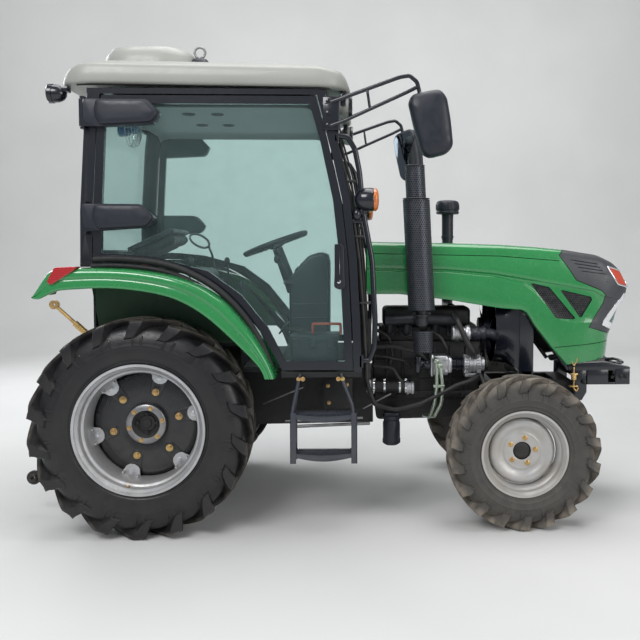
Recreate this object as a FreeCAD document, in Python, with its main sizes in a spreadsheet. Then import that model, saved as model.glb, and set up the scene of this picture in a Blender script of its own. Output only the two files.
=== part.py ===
"""Farm tractor with an enclosed cab and driven front axle, as a parametric document.

Everything is drawn from the rear axle: X runs forward from it, Y to the left, and Z up from the
ground, in millimetres. Each finished sub-part is then shifted along X by the sheet's datum_shift,
so that the frame's origin lies on the ground under the middle of the tractor.
"""

import FreeCAD, Part
import math
import os

import Sketcher
from FreeCAD import Placement, Rotation, Vector

# Driving sizes: alias, value in millimetres, degrees or pieces, meaning
SIZES = (
    ("datum_shift", -972.0, "rear axle's X in the finished frame"),
    ("wheelbase", 1953.0, "rear axle to front axle"),
    ("joint_gap", 0.3, "gap between faces that move past each other"),
    ("pin_gap", 0.05, "radial play of a pin in its eye"),
    ("sheet_wall", 6.0, "thickness of a formed panel with its folds"),
    ("rear_radius", 555.0, "rear tyre to the lugs' tips"),
    ("rear_width", 284.0, "rear tyre's section"),
    ("rear_centre", 640.0, "rear wheel's middle plane from the centre line"),
    ("rear_bead", 305.0, "rear rim's seat radius"),
    ("rear_flange", 327.0, "rear rim's flange radius"),
    ("rear_rim_half", 130.0, "half the rear rim's width over its flanges"),
    ("rear_flare", 18.0, "width of the rear rim's flared flange"),
    ("rear_lugs", 18, "lugs on each side of a rear tyre"),
    ("rear_lug_height", 30.0, "rear lug above the carcass"),
    ("front_radius", 398.0, "front tyre to the lugs' tips"),
    ("front_width", 210.0, "front tyre's section"),
    ("front_centre", 602.0, "front wheel's middle plane from the centre line"),
    ("front_bead", 203.0, "front rim's seat radius"),
    ("front_flange", 223.5, "front rim's flange radius"),
    ("front_rim_half", 78.0, "half the front rim's width over its flanges"),
    ("front_flare", 14.0, "width of the front rim's flared flange"),
    ("front_lugs", 18, "lugs on each side of a front tyre"),
    ("front_lug_height", 22.0, "front lug above the carcass"),
    ("rim_wall", 12.0, "rim and disc thickness"),
    ("rear_disc_in", 170.0, "rear disc's face behind the rim's outer face"),
    ("front_disc_in", 80.0, "front disc's face behind the rim's outer face"),
    ("rear_hub_radius", 102.0, "raised ring round the rear axle's end"),
    ("rear_bore_radius", 68.0, "recess in the rear hub"),
    ("rear_ears", 6, "half-round ears that carry the rear disc"),
    ("rear_ear_radius", 41.0, "ear's rounding"),
    ("rear_ear_circle", 252.0, "ear's bolt from the axle"),
    ("rear_bolt_circle", 172.0, "disc's bolts from the axle"),
    ("front_bore_radius", 47.0, "recess in the front hub"),
    ("axle_case_end", 470.0, "rear axle housing's end from the centre line"),
    ("axle_case_radius", 88.0, "rear axle housing's radius"),
    ("gearbox_half", 150.0, "half the transmission's width"),
    ("gearbox_bottom", 440.0, "transmission's underside"),
    ("gearbox_top", 760.0, "transmission's top under the floor"),
    ("gearbox_front", 1180.0, "transmission's front face, bolted to the engine"),
    ("gearbox_rear", -262.0, "transmission's rear face"),
    ("lift_top", 932.0, "lift housing's top"),
    ("lift_shaft_x", -200.0, "lift shaft behind the rear axle"),
    ("lift_shaft_z", 860.0, "lift shaft's height"),
    ("lift_shaft_radius", 32.0, "lift shaft"),
    ("lift_reach", 330.0, "lift arm's length, and the lift rod's place along the lower link"),
    ("lift_plane", 300.0, "lift rods' middle plane from the centre line"),
    ("link_slope", 15.4, "lower links' slope down to the rear as parked"),
    ("link_pivot_x", -60.0, "lower link's front pin"),
    ("link_pivot_z", 380.0, "lower link's front pin height"),
    ("link_inner", 215.0, "lower link's front end from the centre line"),
    ("link_ball", 362.0, "lower link's rear ball from the centre line"),
    ("link_length", 640.0, "lower link from pin to ball, seen from the side"),
    ("link_thick", 18.0, "lower link's flat bar"),
    ("link_bore", 11.2, "lower link ball's bore radius, for a 22 mm pin"),
    ("top_link_x", -292.0, "top link's pin"),
    ("top_link_z", 770.0, "top link's pin height"),
    ("top_link_length", 530.0, "top link between its pins"),
    ("top_link_rise", 43.0, "top link's angle up to the rear as stored"),
    ("top_link_bore", 9.7, "top link's bore radius, for a 19 mm pin"),
    ("pto_radius", 17.45, "splined power take-off shaft, 34.9 mm"),
    ("pto_height", 600.0, "power take-off above the ground"),
    ("pto_length", 76.0, "power take-off's free length"),
    ("drawbar_height", 330.0, "drawbar's middle"),
    ("drawbar_end", -470.0, "drawbar's rear end"),
    ("drawbar_bore", 11.0, "drawbar's pin hole radius"),
    ("engine_front", "=wheelbase - 153", "engine's front face"),
    ("engine_half", 160.0, "half the block's width"),
    ("engine_top", 1130.0, "rocker cover's top"),
    ("frame_front", "=wheelbase + 377", "front frame's end"),
    ("frame_half", 170.0, "front frame's half width"),
    ("frame_bottom", 560.0, "front frame's underside"),
    ("frame_top", 700.0, "front frame's top"),
    ("front_axle_z", 450.0, "front axle tube's height"),
    ("kingpin_y", 470.0, "kingpin from the centre line"),
    ("kingpin_top", 505.0, "steered case's top"),
    ("kingpin_radius", 58.0, "steered case's radius"),
    ("tie_arm", 170.0, "tie rod's pin behind the kingpin"),
    ("cylinder_arm", 115.0, "steering rod's pin ahead of the kingpin"),
    ("arm_top", 350.0, "steering arms' top face"),
    ("arm_thick", 20.0, "steering arms' plate"),
    ("steering_rod_radius", 12.0, "steering cylinder's rod"),
    ("radiator_x", "=wheelbase + 57", "radiator's rear face"),
    ("radiator_deep", 80.0, "radiator's depth"),
    ("radiator_half", 235.0, "radiator's half width"),
    ("radiator_top", 1400.0, "radiator's top"),
    ("bonnet_half", 285.0, "bonnet's half width"),
    ("bonnet_rear", 1144.0, "bonnet's rear edge"),
    ("nose_tip", 2662.0, "bonnet's foremost point"),
    ("bonnet_hinge_z", 1478.0, "bonnet's hinge height"),
    ("bonnet_hinge_x", 1150.0, "bonnet's hinge"),
    ("bonnet_edge", 70.0, "rounding of the bonnet's top edges"),
    ("stack_x", 1440.0, "exhaust's foot"),
    ("stack_y", -385.0, "exhaust's middle"),
    ("stack_radius", 74.0, "exhaust guard's radius"),
    ("stack_lean", 3.0, "exhaust's lean to the rear"),
    ("tailpipe_radius", 40.0, "exhaust's pipe radius"),
    ("cleaner_x", 1665.0, "pre-cleaner's middle"),
    ("cleaner_y", 366.0, "pre-cleaner beside the bonnet"),
    ("cleaner_radius", 73.0, "pre-cleaner cap"),
    ("cleaner_top", 1765.0, "pre-cleaner's top"),
    ("cab_half", 665.0, "pillars' outer face from the centre line"),
    ("cab_inner", "=cab_half - 65", "pillars' inner face"),
    ("pillar_wide", 40.0, "front pillar seen from the side"),
    ("rear_pillar_wide", 60.0, "rear pillar seen from the side"),
    ("cab_rail_low", 2228.0, "cab's top rail, underside"),
    ("cab_rail_top", 2256.0, "cab's top rail, top"),
    ("floor_top", 828.0, "cab floor"),
    ("floor_thick", 28.0, "cab floor with its ribs"),
    ("deck_top", 960.0, "deck under the seat"),
    ("wall_inner", 470.0, "wheel arch's inner wall from the centre line"),
    ("fender_outer", "=rear_centre + 150", "fender's outer edge from the centre line"),
    ("glass_thick", 6.0, "cab glass"),
    ("door_thick", 30.0, "door's frame"),
    ("door_hinge_x", -265.0, "door's hinge line"),
    ("door_hinge_y", "=cab_half + 35", "door's hinge line from the centre line"),
    ("hinge_pin_radius", 8.0, "door hinge pins"),
    ("window_half", 540.0, "rear window's half width"),
    ("window_hinge_x", -263.0, "rear window's hinge line"),
    ("window_hinge_z", 2238.0, "rear window's hinge height"),
    ("roof_half", "=cab_half + 35", "roof's half width"),
    ("roof_rear", -370.0, "roof's rear edge"),
    ("roof_front", 1052.0, "roof's front edge"),
    ("mirror_y", "=cab_half + 41", "mirror arms' outer bend from the centre line"),
    ("step_y", "=cab_half - 75", "step's inner edge from the centre line"),
    ("step_deep", 100.0, "step's tread depth"),
)

doc = FreeCAD.newDocument("FarmTractor")
sheet = doc.addObject("Spreadsheet::Sheet", "Sizes")
for row, (alias, value, meaning) in enumerate(SIZES, start=1):
    sheet.set(f"A{row}", alias)
    sheet.set(f"B{row}", str(value))
    sheet.set(f"C{row}", meaning)
    sheet.setAlias(f"B{row}", alias)
doc.recompute()


class Size:
    """A number together with the sheet formula it comes from, so that the two stay in step."""

    def __init__(self, number, formula):
        self.number = float(number)
        self.formula = formula

    @staticmethod
    def of(value):
        """Return value as a Size; a plain number becomes its own formula."""
        return value if isinstance(value, Size) else Size(value, f"({float(value)!r})")

    def _with(self, other, sign, number):
        return Size(number, f"({self.formula} {sign} {Size.of(other).formula})")

    def __float__(self):
        return self.number

    def __add__(self, other):
        return self._with(other, "+", self.number + float(other))

    def __sub__(self, other):
        return self._with(other, "-", self.number - float(other))

    def __mul__(self, other):
        return self._with(other, "*", self.number * float(other))

    def __truediv__(self, other):
        return self._with(other, "/", self.number / float(other))

    def __radd__(self, other):
        return Size.of(other) + self

    def __rsub__(self, other):
        return Size.of(other) - self

    def __rmul__(self, other):
        return Size.of(other) * self

    def __neg__(self):
        return Size.of(0) - self


class Sheet:
    """Reads each alias of the spreadsheet as a Size."""

    def __getattr__(self, alias):
        return Size(sheet.get(alias), f"Sizes.{alias}")


s = Sheet()
nodes = {}


def bind(feature, **values):
    """Set properties of a feature and tie each one to its formula."""
    for name, value in values.items():
        feature.setExpression(name, Size.of(value).formula)
    return feature


def place(feature, x=0.0, y=0.0, z=0.0, rotation=None):
    """Place a feature and tie its position to the sheet."""
    feature.Placement = Placement(Vector(float(x), float(y), float(z)), rotation or Rotation())
    for axis, value in (("x", x), ("y", y), ("z", z)):
        if isinstance(value, Size):
            feature.setExpression(f"Placement.Base.{axis}", value.formula)
    return feature


def box(name, x, y, z):
    """Make a box from its (low, high) pair along each axis."""
    feature = doc.addObject("Part::Box", name)
    bind(feature, Length=x[1] - x[0], Width=y[1] - y[0], Height=z[1] - z[0])
    return place(feature, x[0], y[0], z[0])


AXIS_TURN = {
    "x": Rotation(Vector(0, 1, 0), 90),
    "y": Rotation(Vector(1, 0, 0), -90),
    "z": Rotation(),
}


def cylinder(name, axis, start, length, radius):
    """Make a cylinder from its start point along the named axis."""
    feature = doc.addObject("Part::Cylinder", name)
    bind(feature, Radius=radius, Height=length)
    return place(feature, *start, rotation=AXIS_TURN[axis])


def rod(name, start, end, radius):
    """Make a round bar between two points."""
    low = Vector(*map(float, start))
    high = Vector(*map(float, end))
    feature = doc.addObject("Part::Cylinder", name)
    bind(feature, Radius=radius)
    feature.Height = (high - low).Length
    return place(feature, *start, rotation=Rotation(Vector(0, 0, 1), high - low))


# Rotation of a sketch whose plane is square to the named axis
PLANE_TURN = {
    "x": Rotation(Vector(1, 1, 1), 120),
    "y": Rotation(Vector(1, 0, 0), 90),
    "z": Rotation(),
}
PLANE_NORMAL = {"x": Vector(1, 0, 0), "y": Vector(0, 1, 0), "z": Vector(0, 0, 1)}


def corner(before, point, after, radius):
    """Return the tangent points and the middle of a rounded corner."""
    to_before = (before - point).normalize()
    to_after = (after - point).normalize()
    half_turn = to_before.getAngle(to_after) / 2
    reach = radius / math.tan(half_turn)
    centre = point + (to_before + to_after).normalize() * (radius / math.sin(half_turn))
    middle = centre + (point - centre).normalize() * radius
    return point + to_before * reach, middle, point + to_after * reach


def sketch(name, points, axis, level=0.0):
    """Draw a closed outline square to an axis.

    A point is (a, b) for a sharp vertex tied to the sheet, (a, b, radius) for a rounded one, or
    (mid_a, mid_b, a, b) for a vertex that an arc through a middle point leads to.
    """
    drawing = doc.addObject("Sketcher::SketchObject", name)
    base = {"x": (level, 0, 0), "y": (0, level, 0), "z": (0, 0, level)}[axis]
    place(drawing, *base, rotation=PLANE_TURN[axis])
    ends = [Vector(float(p[-2]), float(p[-1]), 0) if len(p) == 4 else
            Vector(float(p[0]), float(p[1]), 0) for p in points]
    rounded = {}
    for index, point in enumerate(points):
        if len(point) == 3:
            after = ends[(index + 1) % len(ends)]
            rounded[index] = corner(ends[index - 1], ends[index], after, float(point[2]))
    tied = []
    count = 0
    constraints = []
    for index, point in enumerate(points):
        following = (index + 1) % len(points)
        start = rounded[index][2] if index in rounded else ends[index]
        finish = rounded[following][0] if following in rounded else ends[following]
        if index in rounded:
            drawing.addGeometry(Part.Arc(*rounded[index]))
            count += 1
        if len(points[following]) == 4:
            middle = Vector(float(points[following][0]), float(points[following][1]), 0)
            drawing.addGeometry(Part.Arc(start, middle, finish))
        else:
            drawing.addGeometry(Part.LineSegment(start, finish))
            straight = len(point) == 2 and following not in rounded
            if straight and any(isinstance(value, Size) for value in point):
                tied.append((count, point))
        count += 1
    for geometry, point in tied:
        for kind, value in (("DistanceX", point[0]), ("DistanceY", point[1])):
            constraints.append(Sketcher.Constraint(kind, -1, 1, geometry, 1, float(value)))
    if tied and len(tied) == len(points):
        links = [Sketcher.Constraint("Coincident", index, 2, (index + 1) % count, 1)
                 for index in range(count)]
        drawing.addConstraint(constraints + links)
        for index, (_, point) in enumerate(tied):
            for offset, value in enumerate(point):
                drawing.setExpression(f"Constraints[{2 * index + offset}]", Size.of(value).formula)
    return drawing


def extruded(name, points, axis, low, high):
    """Extrude an outline along an axis from low to high."""
    drawing = sketch(f"{name}_outline", points, axis, low)
    feature = doc.addObject("Part::Extrusion", name)
    feature.Base = drawing
    feature.DirMode = "Custom"
    feature.Dir = PLANE_NORMAL[axis]
    feature.Solid = True
    return bind(feature, LengthFwd=high - low)


def fused(name, *parts):
    """Join features into one solid."""
    feature = doc.addObject("Part::MultiFuse", name)
    feature.Shapes = list(parts)
    feature.Refine = True
    return feature


def cut(name, base, *tools):
    """Cut tools out of a base feature."""
    feature = doc.addObject("Part::Cut", name)
    feature.Base = base
    feature.Tool = tools[0] if len(tools) == 1 else group(f"{name}_tools", *tools)
    return feature


def common(name, *parts):
    """Keep only what all the features share."""
    feature = doc.addObject("Part::MultiCommon", name)
    feature.Shapes = list(parts)
    return feature


def group(name, *parts):
    """Hold features side by side as one compound."""
    feature = doc.addObject("Part::Compound", name)
    feature.Links = list(parts)
    return feature


def mirrored(name, source):
    """Mirror a feature to the other side of the centre line."""
    feature = doc.addObject("Part::Mirroring", name)
    feature.Source = source
    feature.Normal = Vector(0, 1, 0)
    feature.Base = Vector(0, 0, 0)
    return feature


def both(name, source):
    """Hold a feature and its mirror image as one compound."""
    return group(name, source, mirrored(f"{name}_mirror", source))


def solid(name, shape):
    """Keep a shape made from sheet sizes as a feature."""
    feature = doc.addObject("Part::Feature", name)
    feature.Shape = shape
    return feature


TUBE_SIDES = 10


def tube(name, points, radius, bend):
    """Sweep a round section along straight runs joined by tangent arcs."""
    route = [Vector(*map(float, point)) for point in points]
    edges = []
    start = route[0]
    for before, point, after in zip(route, route[1:], route[2:]):
        enter, middle, leave = corner(before, point, after, float(bend))
        edges.append(Part.makeLine(start, enter))
        edges.append(Part.Arc(enter, middle, leave).toShape())
        start = leave
    edges.append(Part.makeLine(start, route[-1]))
    along = route[1] - route[0]
    side = along.cross(Vector(0.1, 0.2, 1.0)).normalize() * float(radius)
    ends = [route[0] + Rotation(along, 360.0 * step / TUBE_SIDES).multVec(side) for step in range(TUBE_SIDES)]
    section = Part.makePolygon(ends + ends[:1])
    shape = Part.Wire(edges).makePipeShell([section], True, False)
    return solid(name, shape)


def flat_ring(name, radius, wire, sides):
    """Make a many-sided ring of square wire round the Z axis at the origin."""
    turns = [2 * math.pi * index / sides for index in range(sides)]
    outer, inner = ([(reach * math.cos(turn), reach * math.sin(turn)) for turn in turns]
                    for reach in (radius + wire, radius - wire))
    rim = extruded(f"{name}_rim", outer, "z", -wire, wire)
    hole = extruded(f"{name}_hole", inner, "z", -wire, wire)
    return cut(name, rim, hole)


def finish(label, feature):
    """Name a finished sub-part and shift it from the rear axle to the frame's origin."""
    wrapped = feature if feature.Placement.isIdentity() else group(f"{label}_part", feature)
    wrapped.Label = label
    wrapped.setExpression("Placement.Base.x", s.datum_shift.formula)
    nodes[label] = wrapped
    return wrapped


def finish_mirror(label, source):
    """Name the mirror image of a finished left sub-part as its right twin."""
    feature = mirrored(f"{label}_part", source)
    feature.Label = label
    nodes[label] = feature
    return feature


def finish_pair(stem, feature):
    """Finish a left sub-part and its right twin."""
    finish_mirror(f"{stem}_right", finish(f"{stem}_left", feature))


# Tyres

def carcass(sides, profile):
    """Build a ring with flat facets from a closed profile of (radius, offset) points."""
    rings = []
    for radius, offset in profile:
        rings.append([Vector(radius * math.cos(step * math.tau / sides), offset,
                             radius * math.sin(step * math.tau / sides)) for step in range(sides)])
    faces = []
    for ring, following in zip(rings, rings[1:] + rings[:1]):
        for step in range(sides):
            beside = (step + 1) % sides
            corners = [ring[step], ring[beside], following[beside], following[step]]
            faces.append(Part.Face(Part.makePolygon(corners + corners[:1])))
    body = Part.makeSolid(Part.makeShell(faces))
    body.fixTolerance(1e-4)
    return body if body.Volume > 0 else body.reversed()


def lug(radius, carcass_radius, width):
    """Make one tread bar: a trapezoid carried from the centre line back to the shoulder."""
    root = carcass_radius - 0.034 * radius
    sweep = 0.55 * width
    drop = sweep * sweep / (2 * radius) + 0.04 * width
    foot, crest = 0.085 * width, 0.058 * width
    start = -0.03 * width
    corners = [Vector(-foot, start, root), Vector(foot, start, root),
               Vector(crest, start, radius), Vector(-crest, start, radius)]
    face = Part.Face(Part.makePolygon(corners + corners[:1]))
    return face.extrude(Vector(-sweep, 0.52 * width, -drop))


TYRE_SIDES = 32


def tyre(name, radius, width, bead, bead_half, lug_height, lugs):
    """Make a tyre with two staggered rows of bars, its axis along Y through the origin."""
    radius, width, bead = float(radius), float(width), float(bead)
    count = int(float(lugs))
    crown = radius - float(lug_height)
    seat = (bead + float(s.joint_gap)) / math.cos(math.pi / TYRE_SIDES)
    half = [(seat, float(bead_half)), ((bead + crown) / 2, 0.5 * width), (crown, 0.43 * width)]
    profile = [(r, -offset) for r, offset in half] + [(r, offset) for r, offset in reversed(half)]
    bar = lug(radius, crown, width)
    other = bar.mirror(Vector(0, 0, 0), Vector(0, 1, 0))
    bars = []
    for step in range(count):
        for piece, phase in ((bar, 0.0), (other, 0.5)):
            turned = piece.copy()
            turned.rotate(Vector(0, 0, 0), Vector(0, 1, 0), 360.0 * (step + phase) / count)
            bars.append(turned)
    shape = carcass(TYRE_SIDES, profile).multiFuse(bars)
    return solid(name, shape)


def plane_of(body, role):
    """Find one of a body's own origin planes."""
    return next(item for item in body.Origin.OriginFeatures if item.Role == role)


def revolved_body(name, profile):
    """Turn a closed (radius, offset) profile about the body's own Y axis."""
    body = doc.addObject("PartDesign::Body", name)
    drawing = body.newObject("Sketcher::SketchObject", f"{name}_profile")
    drawing.AttachmentSupport = [(plane_of(body, "XY_Plane"), "")]
    drawing.MapMode = "FlatFace"
    ends = [Vector(float(r), float(offset), 0) for r, offset in profile]
    count = len(ends)
    for index in range(count):
        drawing.addGeometry(Part.LineSegment(ends[index], ends[(index + 1) % count]))
    rules = []
    for index, (r, offset) in enumerate(profile):
        rules.append(Sketcher.Constraint("DistanceX", -1, 1, index, 1, float(r)))
        rules.append(Sketcher.Constraint("DistanceY", -1, 1, index, 1, float(offset)))
    rules += [Sketcher.Constraint("Coincident", index, 2, (index + 1) % count, 1)
              for index in range(count)]
    drawing.addConstraint(rules)
    for index, point in enumerate(profile):
        for offset, value in enumerate(point):
            drawing.setExpression(f"Constraints[{2 * index + offset}]", Size.of(value).formula)
    turn = body.newObject("PartDesign::Revolution", f"{name}_turn")
    turn.Profile = drawing
    turn.ReferenceAxis = (drawing, ["V_Axis"])
    turn.Angle = 360.0
    return body


def turned(points, degrees, centre):
    """Turn (a, b) or (mid_a, mid_b, a, b) points about the wheel's axis and move them to its centre."""
    cosine, sine = math.cos(math.radians(degrees)), math.sin(math.radians(degrees))
    result = []
    for point in points:
        values = []
        for a, b in zip(point[::2], point[1::2]):
            values += [a * cosine + b * sine, float(centre) + b * cosine - a * sine]
        result.append(tuple(values))
    return result


def rear_wheel():
    """Rear rim with its inset disc, ears, hub ring and axle flange, and the tyre on it."""
    face = s.rear_rim_half
    inner = s.rear_bead - s.rim_wall
    disc = s.rear_rim_half - s.rear_disc_in
    back = disc - s.rim_wall
    hub_end = s.axle_case_end + s.joint_gap - s.rear_centre
    boss = s.axle_case_radius - 16
    profile = [
        (0, hub_end), (boss, hub_end), (boss, back), (inner, back), (inner, -face),
        (s.rear_flange, -face), (s.rear_bead, s.rear_flare - face),
        (s.rear_bead, face - s.rear_flare),
        (s.rear_flange, face), (inner, face), (inner, disc), (s.rear_hub_radius, disc),
        (s.rear_hub_radius, disc + 26), (s.rear_bore_radius, disc + 26),
        (s.rear_bore_radius, disc - 20), (0, disc - 20),
    ]
    turn = place(revolved_body("rear_rim", profile), 0, s.rear_centre, s.rear_radius)
    round_half, circle, bolt = float(s.rear_ear_radius), float(s.rear_ear_circle), float(s.rear_bolt_circle)
    ear = [(round_half, circle), (0, circle - round_half, -round_half, circle), (-58, 291), (58, 291)]
    pad = [(24, bolt), (0, bolt - 24, -24, bolt), (-36, circle), (36, circle)]
    level = s.rear_centre + disc
    forms = []
    for step in range(int(float(s.rear_ears))):
        angle = 17.0 + 360.0 * step / float(s.rear_ears)
        forms.append(extruded(f"rim_ear_{step}", turned(ear, angle, s.rear_radius), "y", level - 4, level + 14))
        forms.append(extruded(f"disc_pad_{step}", turned(pad, angle, s.rear_radius), "y", level - 4, level + 6))
    finish_pair("rear_rim", fused("rear_rim_joined", turn, *forms))
    rubber = tyre("rear_tyre", s.rear_radius, s.rear_width, s.rear_bead, face - s.rear_flare - 1,
                  s.rear_lug_height, s.rear_lugs)
    place(rubber, 0, s.rear_centre, s.rear_radius)
    finish_pair("rear_tyre", rubber)


def front_wheel():
    """Front rim with its dished disc and hub, and the tyre on it."""
    face = s.front_rim_half
    inner = s.front_bead - s.rim_wall
    disc = s.front_rim_half - s.front_disc_in
    back = disc - s.rim_wall
    hub_end = -13.7
    profile = [
        (0, hub_end), (s.kingpin_radius, hub_end), (s.kingpin_radius, back), (inner, back),
        (inner, -face), (s.front_flange, -face), (s.front_bead, s.front_flare - face),
        (s.front_bead, face - s.front_flare), (s.front_flange, face), (inner, face), (inner - 18, disc + 12),
        (100, disc + 12), (94, disc), (s.front_bore_radius, disc), (s.front_bore_radius, disc - 8),
        (0, disc - 8),
    ]
    rim = place(revolved_body("front_rim", profile), s.wheelbase, s.front_centre, s.front_radius)
    finish_pair("front_rim", rim)
    rubber = tyre("front_tyre", s.front_radius, s.front_width, s.front_bead, face - s.front_flare - 1,
                  s.front_lug_height, s.front_lugs)
    place(rubber, s.wheelbase, s.front_centre, s.front_radius)
    finish_pair("front_tyre", rubber)


# Driveline and front axle

def transmission():
    """Gearbox and rear axle housing with the lift housing on top and the axle trumpets."""
    outline = [
        (s.gearbox_rear, s.gearbox_bottom), (s.gearbox_front, s.gearbox_bottom + 20),
        (s.gearbox_front, s.gearbox_top), (460, s.gearbox_top), (400, s.lift_top),
        (s.gearbox_rear, s.lift_top),
    ]
    case = extruded("gearbox_case", outline, "y", -s.gearbox_half, s.gearbox_half)
    trumpet = cylinder("axle_trumpets", "y", (0, -s.axle_case_end, s.rear_radius),
                       s.axle_case_end * 2, s.axle_case_radius)
    lugs = both("link_brackets", box("link_bracket", (s.link_pivot_x - 40, s.link_pivot_x + 40),
                                     (s.gearbox_half, s.link_inner - s.link_thick / 2 - s.joint_gap),
                                     (s.link_pivot_z - 40, s.gearbox_bottom + 60)))
    pins = both("link_pins", cylinder("link_pin", "y", (s.link_pivot_x, s.gearbox_half, s.link_pivot_z),
                                      s.link_inner + s.link_thick - s.gearbox_half, 12))
    clevis = cut("top_link_clevis", box("top_link_block", (s.top_link_x - 30, s.gearbox_rear),
                                        (-40, 40), (s.top_link_z - 40, s.top_link_z + 40)),
                 box("top_link_slot", (s.top_link_x - 31, s.gearbox_rear), (-18, 18),
                     (s.top_link_z - 50, s.top_link_z + 50)))
    pin = cylinder("top_link_pin", "y", (s.top_link_x, -40, s.top_link_z), 80, 9.5)
    front_mounts = both("cab_mounts_front", box("cab_mount_front", (960, 1040), (70, 130),
                                                (s.gearbox_top, s.floor_top - s.floor_thick)))
    rear_mounts = both("cab_mounts_rear", cylinder("cab_mount_rear", "z", (0, 400, s.rear_radius),
                                                   s.deck_top - 20 - s.rear_radius, 28))
    shaft_bore = cylinder("lift_shaft_bore", "y", (s.lift_shaft_x, -s.gearbox_half, s.lift_shaft_z),
                          s.gearbox_half * 2, s.lift_shaft_radius + s.pin_gap)
    drawbar = cut("drawbar", box("drawbar_bar", (s.drawbar_end, -100), (-32, 32),
                                 (s.drawbar_height - 14, s.drawbar_height + 14)),
                  cylinder("drawbar_hole", "z", (s.drawbar_end + 35, 0, s.drawbar_height - 14), 28,
                           s.drawbar_bore))
    hanger = box("drawbar_hanger", (-220, -100), (-60, 60), (s.drawbar_height - 34, s.gearbox_bottom + 5))
    pto = cylinder("pto", "x", (s.gearbox_rear - s.pto_length, 0, s.pto_height), s.pto_length + 10,
                   s.pto_radius)
    joined = fused("gearbox_joined", case, trumpet, lugs, pins, clevis, pin, hanger, drawbar, pto,
                   front_mounts, rear_mounts)
    finish("transmission", cut("gearbox_bored", joined, shaft_bore))


def engine():
    """Engine as one plain block, with its sump, and the pieces on its right side."""
    outline = [
        (s.gearbox_front, 460), (s.engine_front, 480), (s.engine_front, 980),
        (s.engine_front - 60, s.engine_top), (s.gearbox_front + 90, s.engine_top),
        (s.gearbox_front, 1000),
    ]
    finish("engine", extruded("engine_block", outline, "y", -s.engine_half, s.engine_half))
    side = -s.engine_half
    alternator = cylinder("alternator", "x", (1676, side - 54 - s.joint_gap, 804), 120, 54)
    pump = box("pump_body", (1500, 1620), (side - 130, side), (745, 865))
    pipes = [tube(f"pump_pipe_{index}", [(x, side - 100, 755), (x, side - 100, 670), (x - 20, side - 100, 560),
                                        (x - 20, side, 560)], 9, 30)
             for index, x in enumerate((1525, 1560))]
    finish("hydraulic_pump", fused("pump", pump, *pipes))
    starter = cylinder("starter", "x", (1230, side - 45 - s.joint_gap, 700), 200, 45)
    cooler = cylinder("oil_cooler", "x", (1600, side - 40 - s.joint_gap, 983), 200, 40)
    finish("engine_fittings", group("engine_fitting_set", alternator, starter, cooler))
    canister = cylinder("canister_body", "z", (1280, -300, 365), 130, 48)
    head = box("filter_head", (1240, 1320), (-300, side), (495, 530))
    finish("oil_filter", fused("filter", canister, head))


def front_frame():
    """Front frame with its axle plates and the front bumper."""
    rail = both("rails", box("rail", (s.engine_front, s.frame_front), (110, s.frame_half),
                             (s.frame_bottom, s.frame_top)))
    front = box("frame_nose", (s.frame_front - 90, s.frame_front), (-s.frame_half, s.frame_half),
                (s.frame_bottom, s.frame_top))
    rear = box("frame_back", (s.engine_front, s.engine_front + 60), (-s.frame_half, s.frame_half),
               (s.frame_bottom, s.frame_top))
    plates = [box(f"axle_plate_{index}", (x, x + 24), (-s.frame_half, s.frame_half), (400, s.frame_top))
              for index, x in enumerate((s.wheelbase - 107, s.wheelbase + 83))]
    finish("front_frame", fused("frame_joined", rail, front, rear, *plates))
    beam = box("bumper_beam", (s.frame_front, 2600), (-130, 130), (s.frame_bottom + 30, s.frame_top))
    face = box("bumper_face", (2600, 2650), (-240, 240), (674, 785))
    arms = both("bumper_arms", box("bumper_arm", (s.frame_front - 60, 2600), (s.frame_half, 200), (640, 770)))
    finish("bumper", fused("bumper_joined", beam, face, arms))


def front_axle():
    """Fixed beam with its arms over the steered cases, and the steering cylinder on it."""
    middle = cylinder("axle_middle", "x", (s.wheelbase - 82.7, 0, s.front_axle_z), 165.4, 60)
    beam = cylinder("axle_tube", "y", (s.wheelbase, -380, s.front_axle_z), 760, 52)
    post = box("axle_post", (s.wheelbase - 50, s.wheelbase + 50), (330, 400),
               (s.front_axle_z - 40, 560))
    arm = box("axle_arm", (s.wheelbase - 50, s.wheelbase + 50), (330, 515),
              (s.kingpin_top + s.joint_gap, 560))
    barrel = cylinder("steering_barrel", "y", (s.wheelbase + s.cylinder_arm, -300, 365.3), 360, 26)
    bore = cylinder("steering_bore", "y", (s.wheelbase + s.cylinder_arm, -300, 365.3), 190,
                    s.steering_rod_radius + s.pin_gap)
    bracket = box("steering_bracket", (s.wheelbase + 30, s.wheelbase + s.cylinder_arm),
                  (-120, -80), (350, 385))
    joined = fused("axle_joined", middle, beam, both("axle_posts", post), both("axle_arms", arm),
                   barrel, bracket, box("steering_post", (s.wheelbase - 20, s.wheelbase + 60),
                                        (-120, -80), (350, 430)))
    finish("front_axle", cut("axle_bored", joined, bore))


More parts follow.
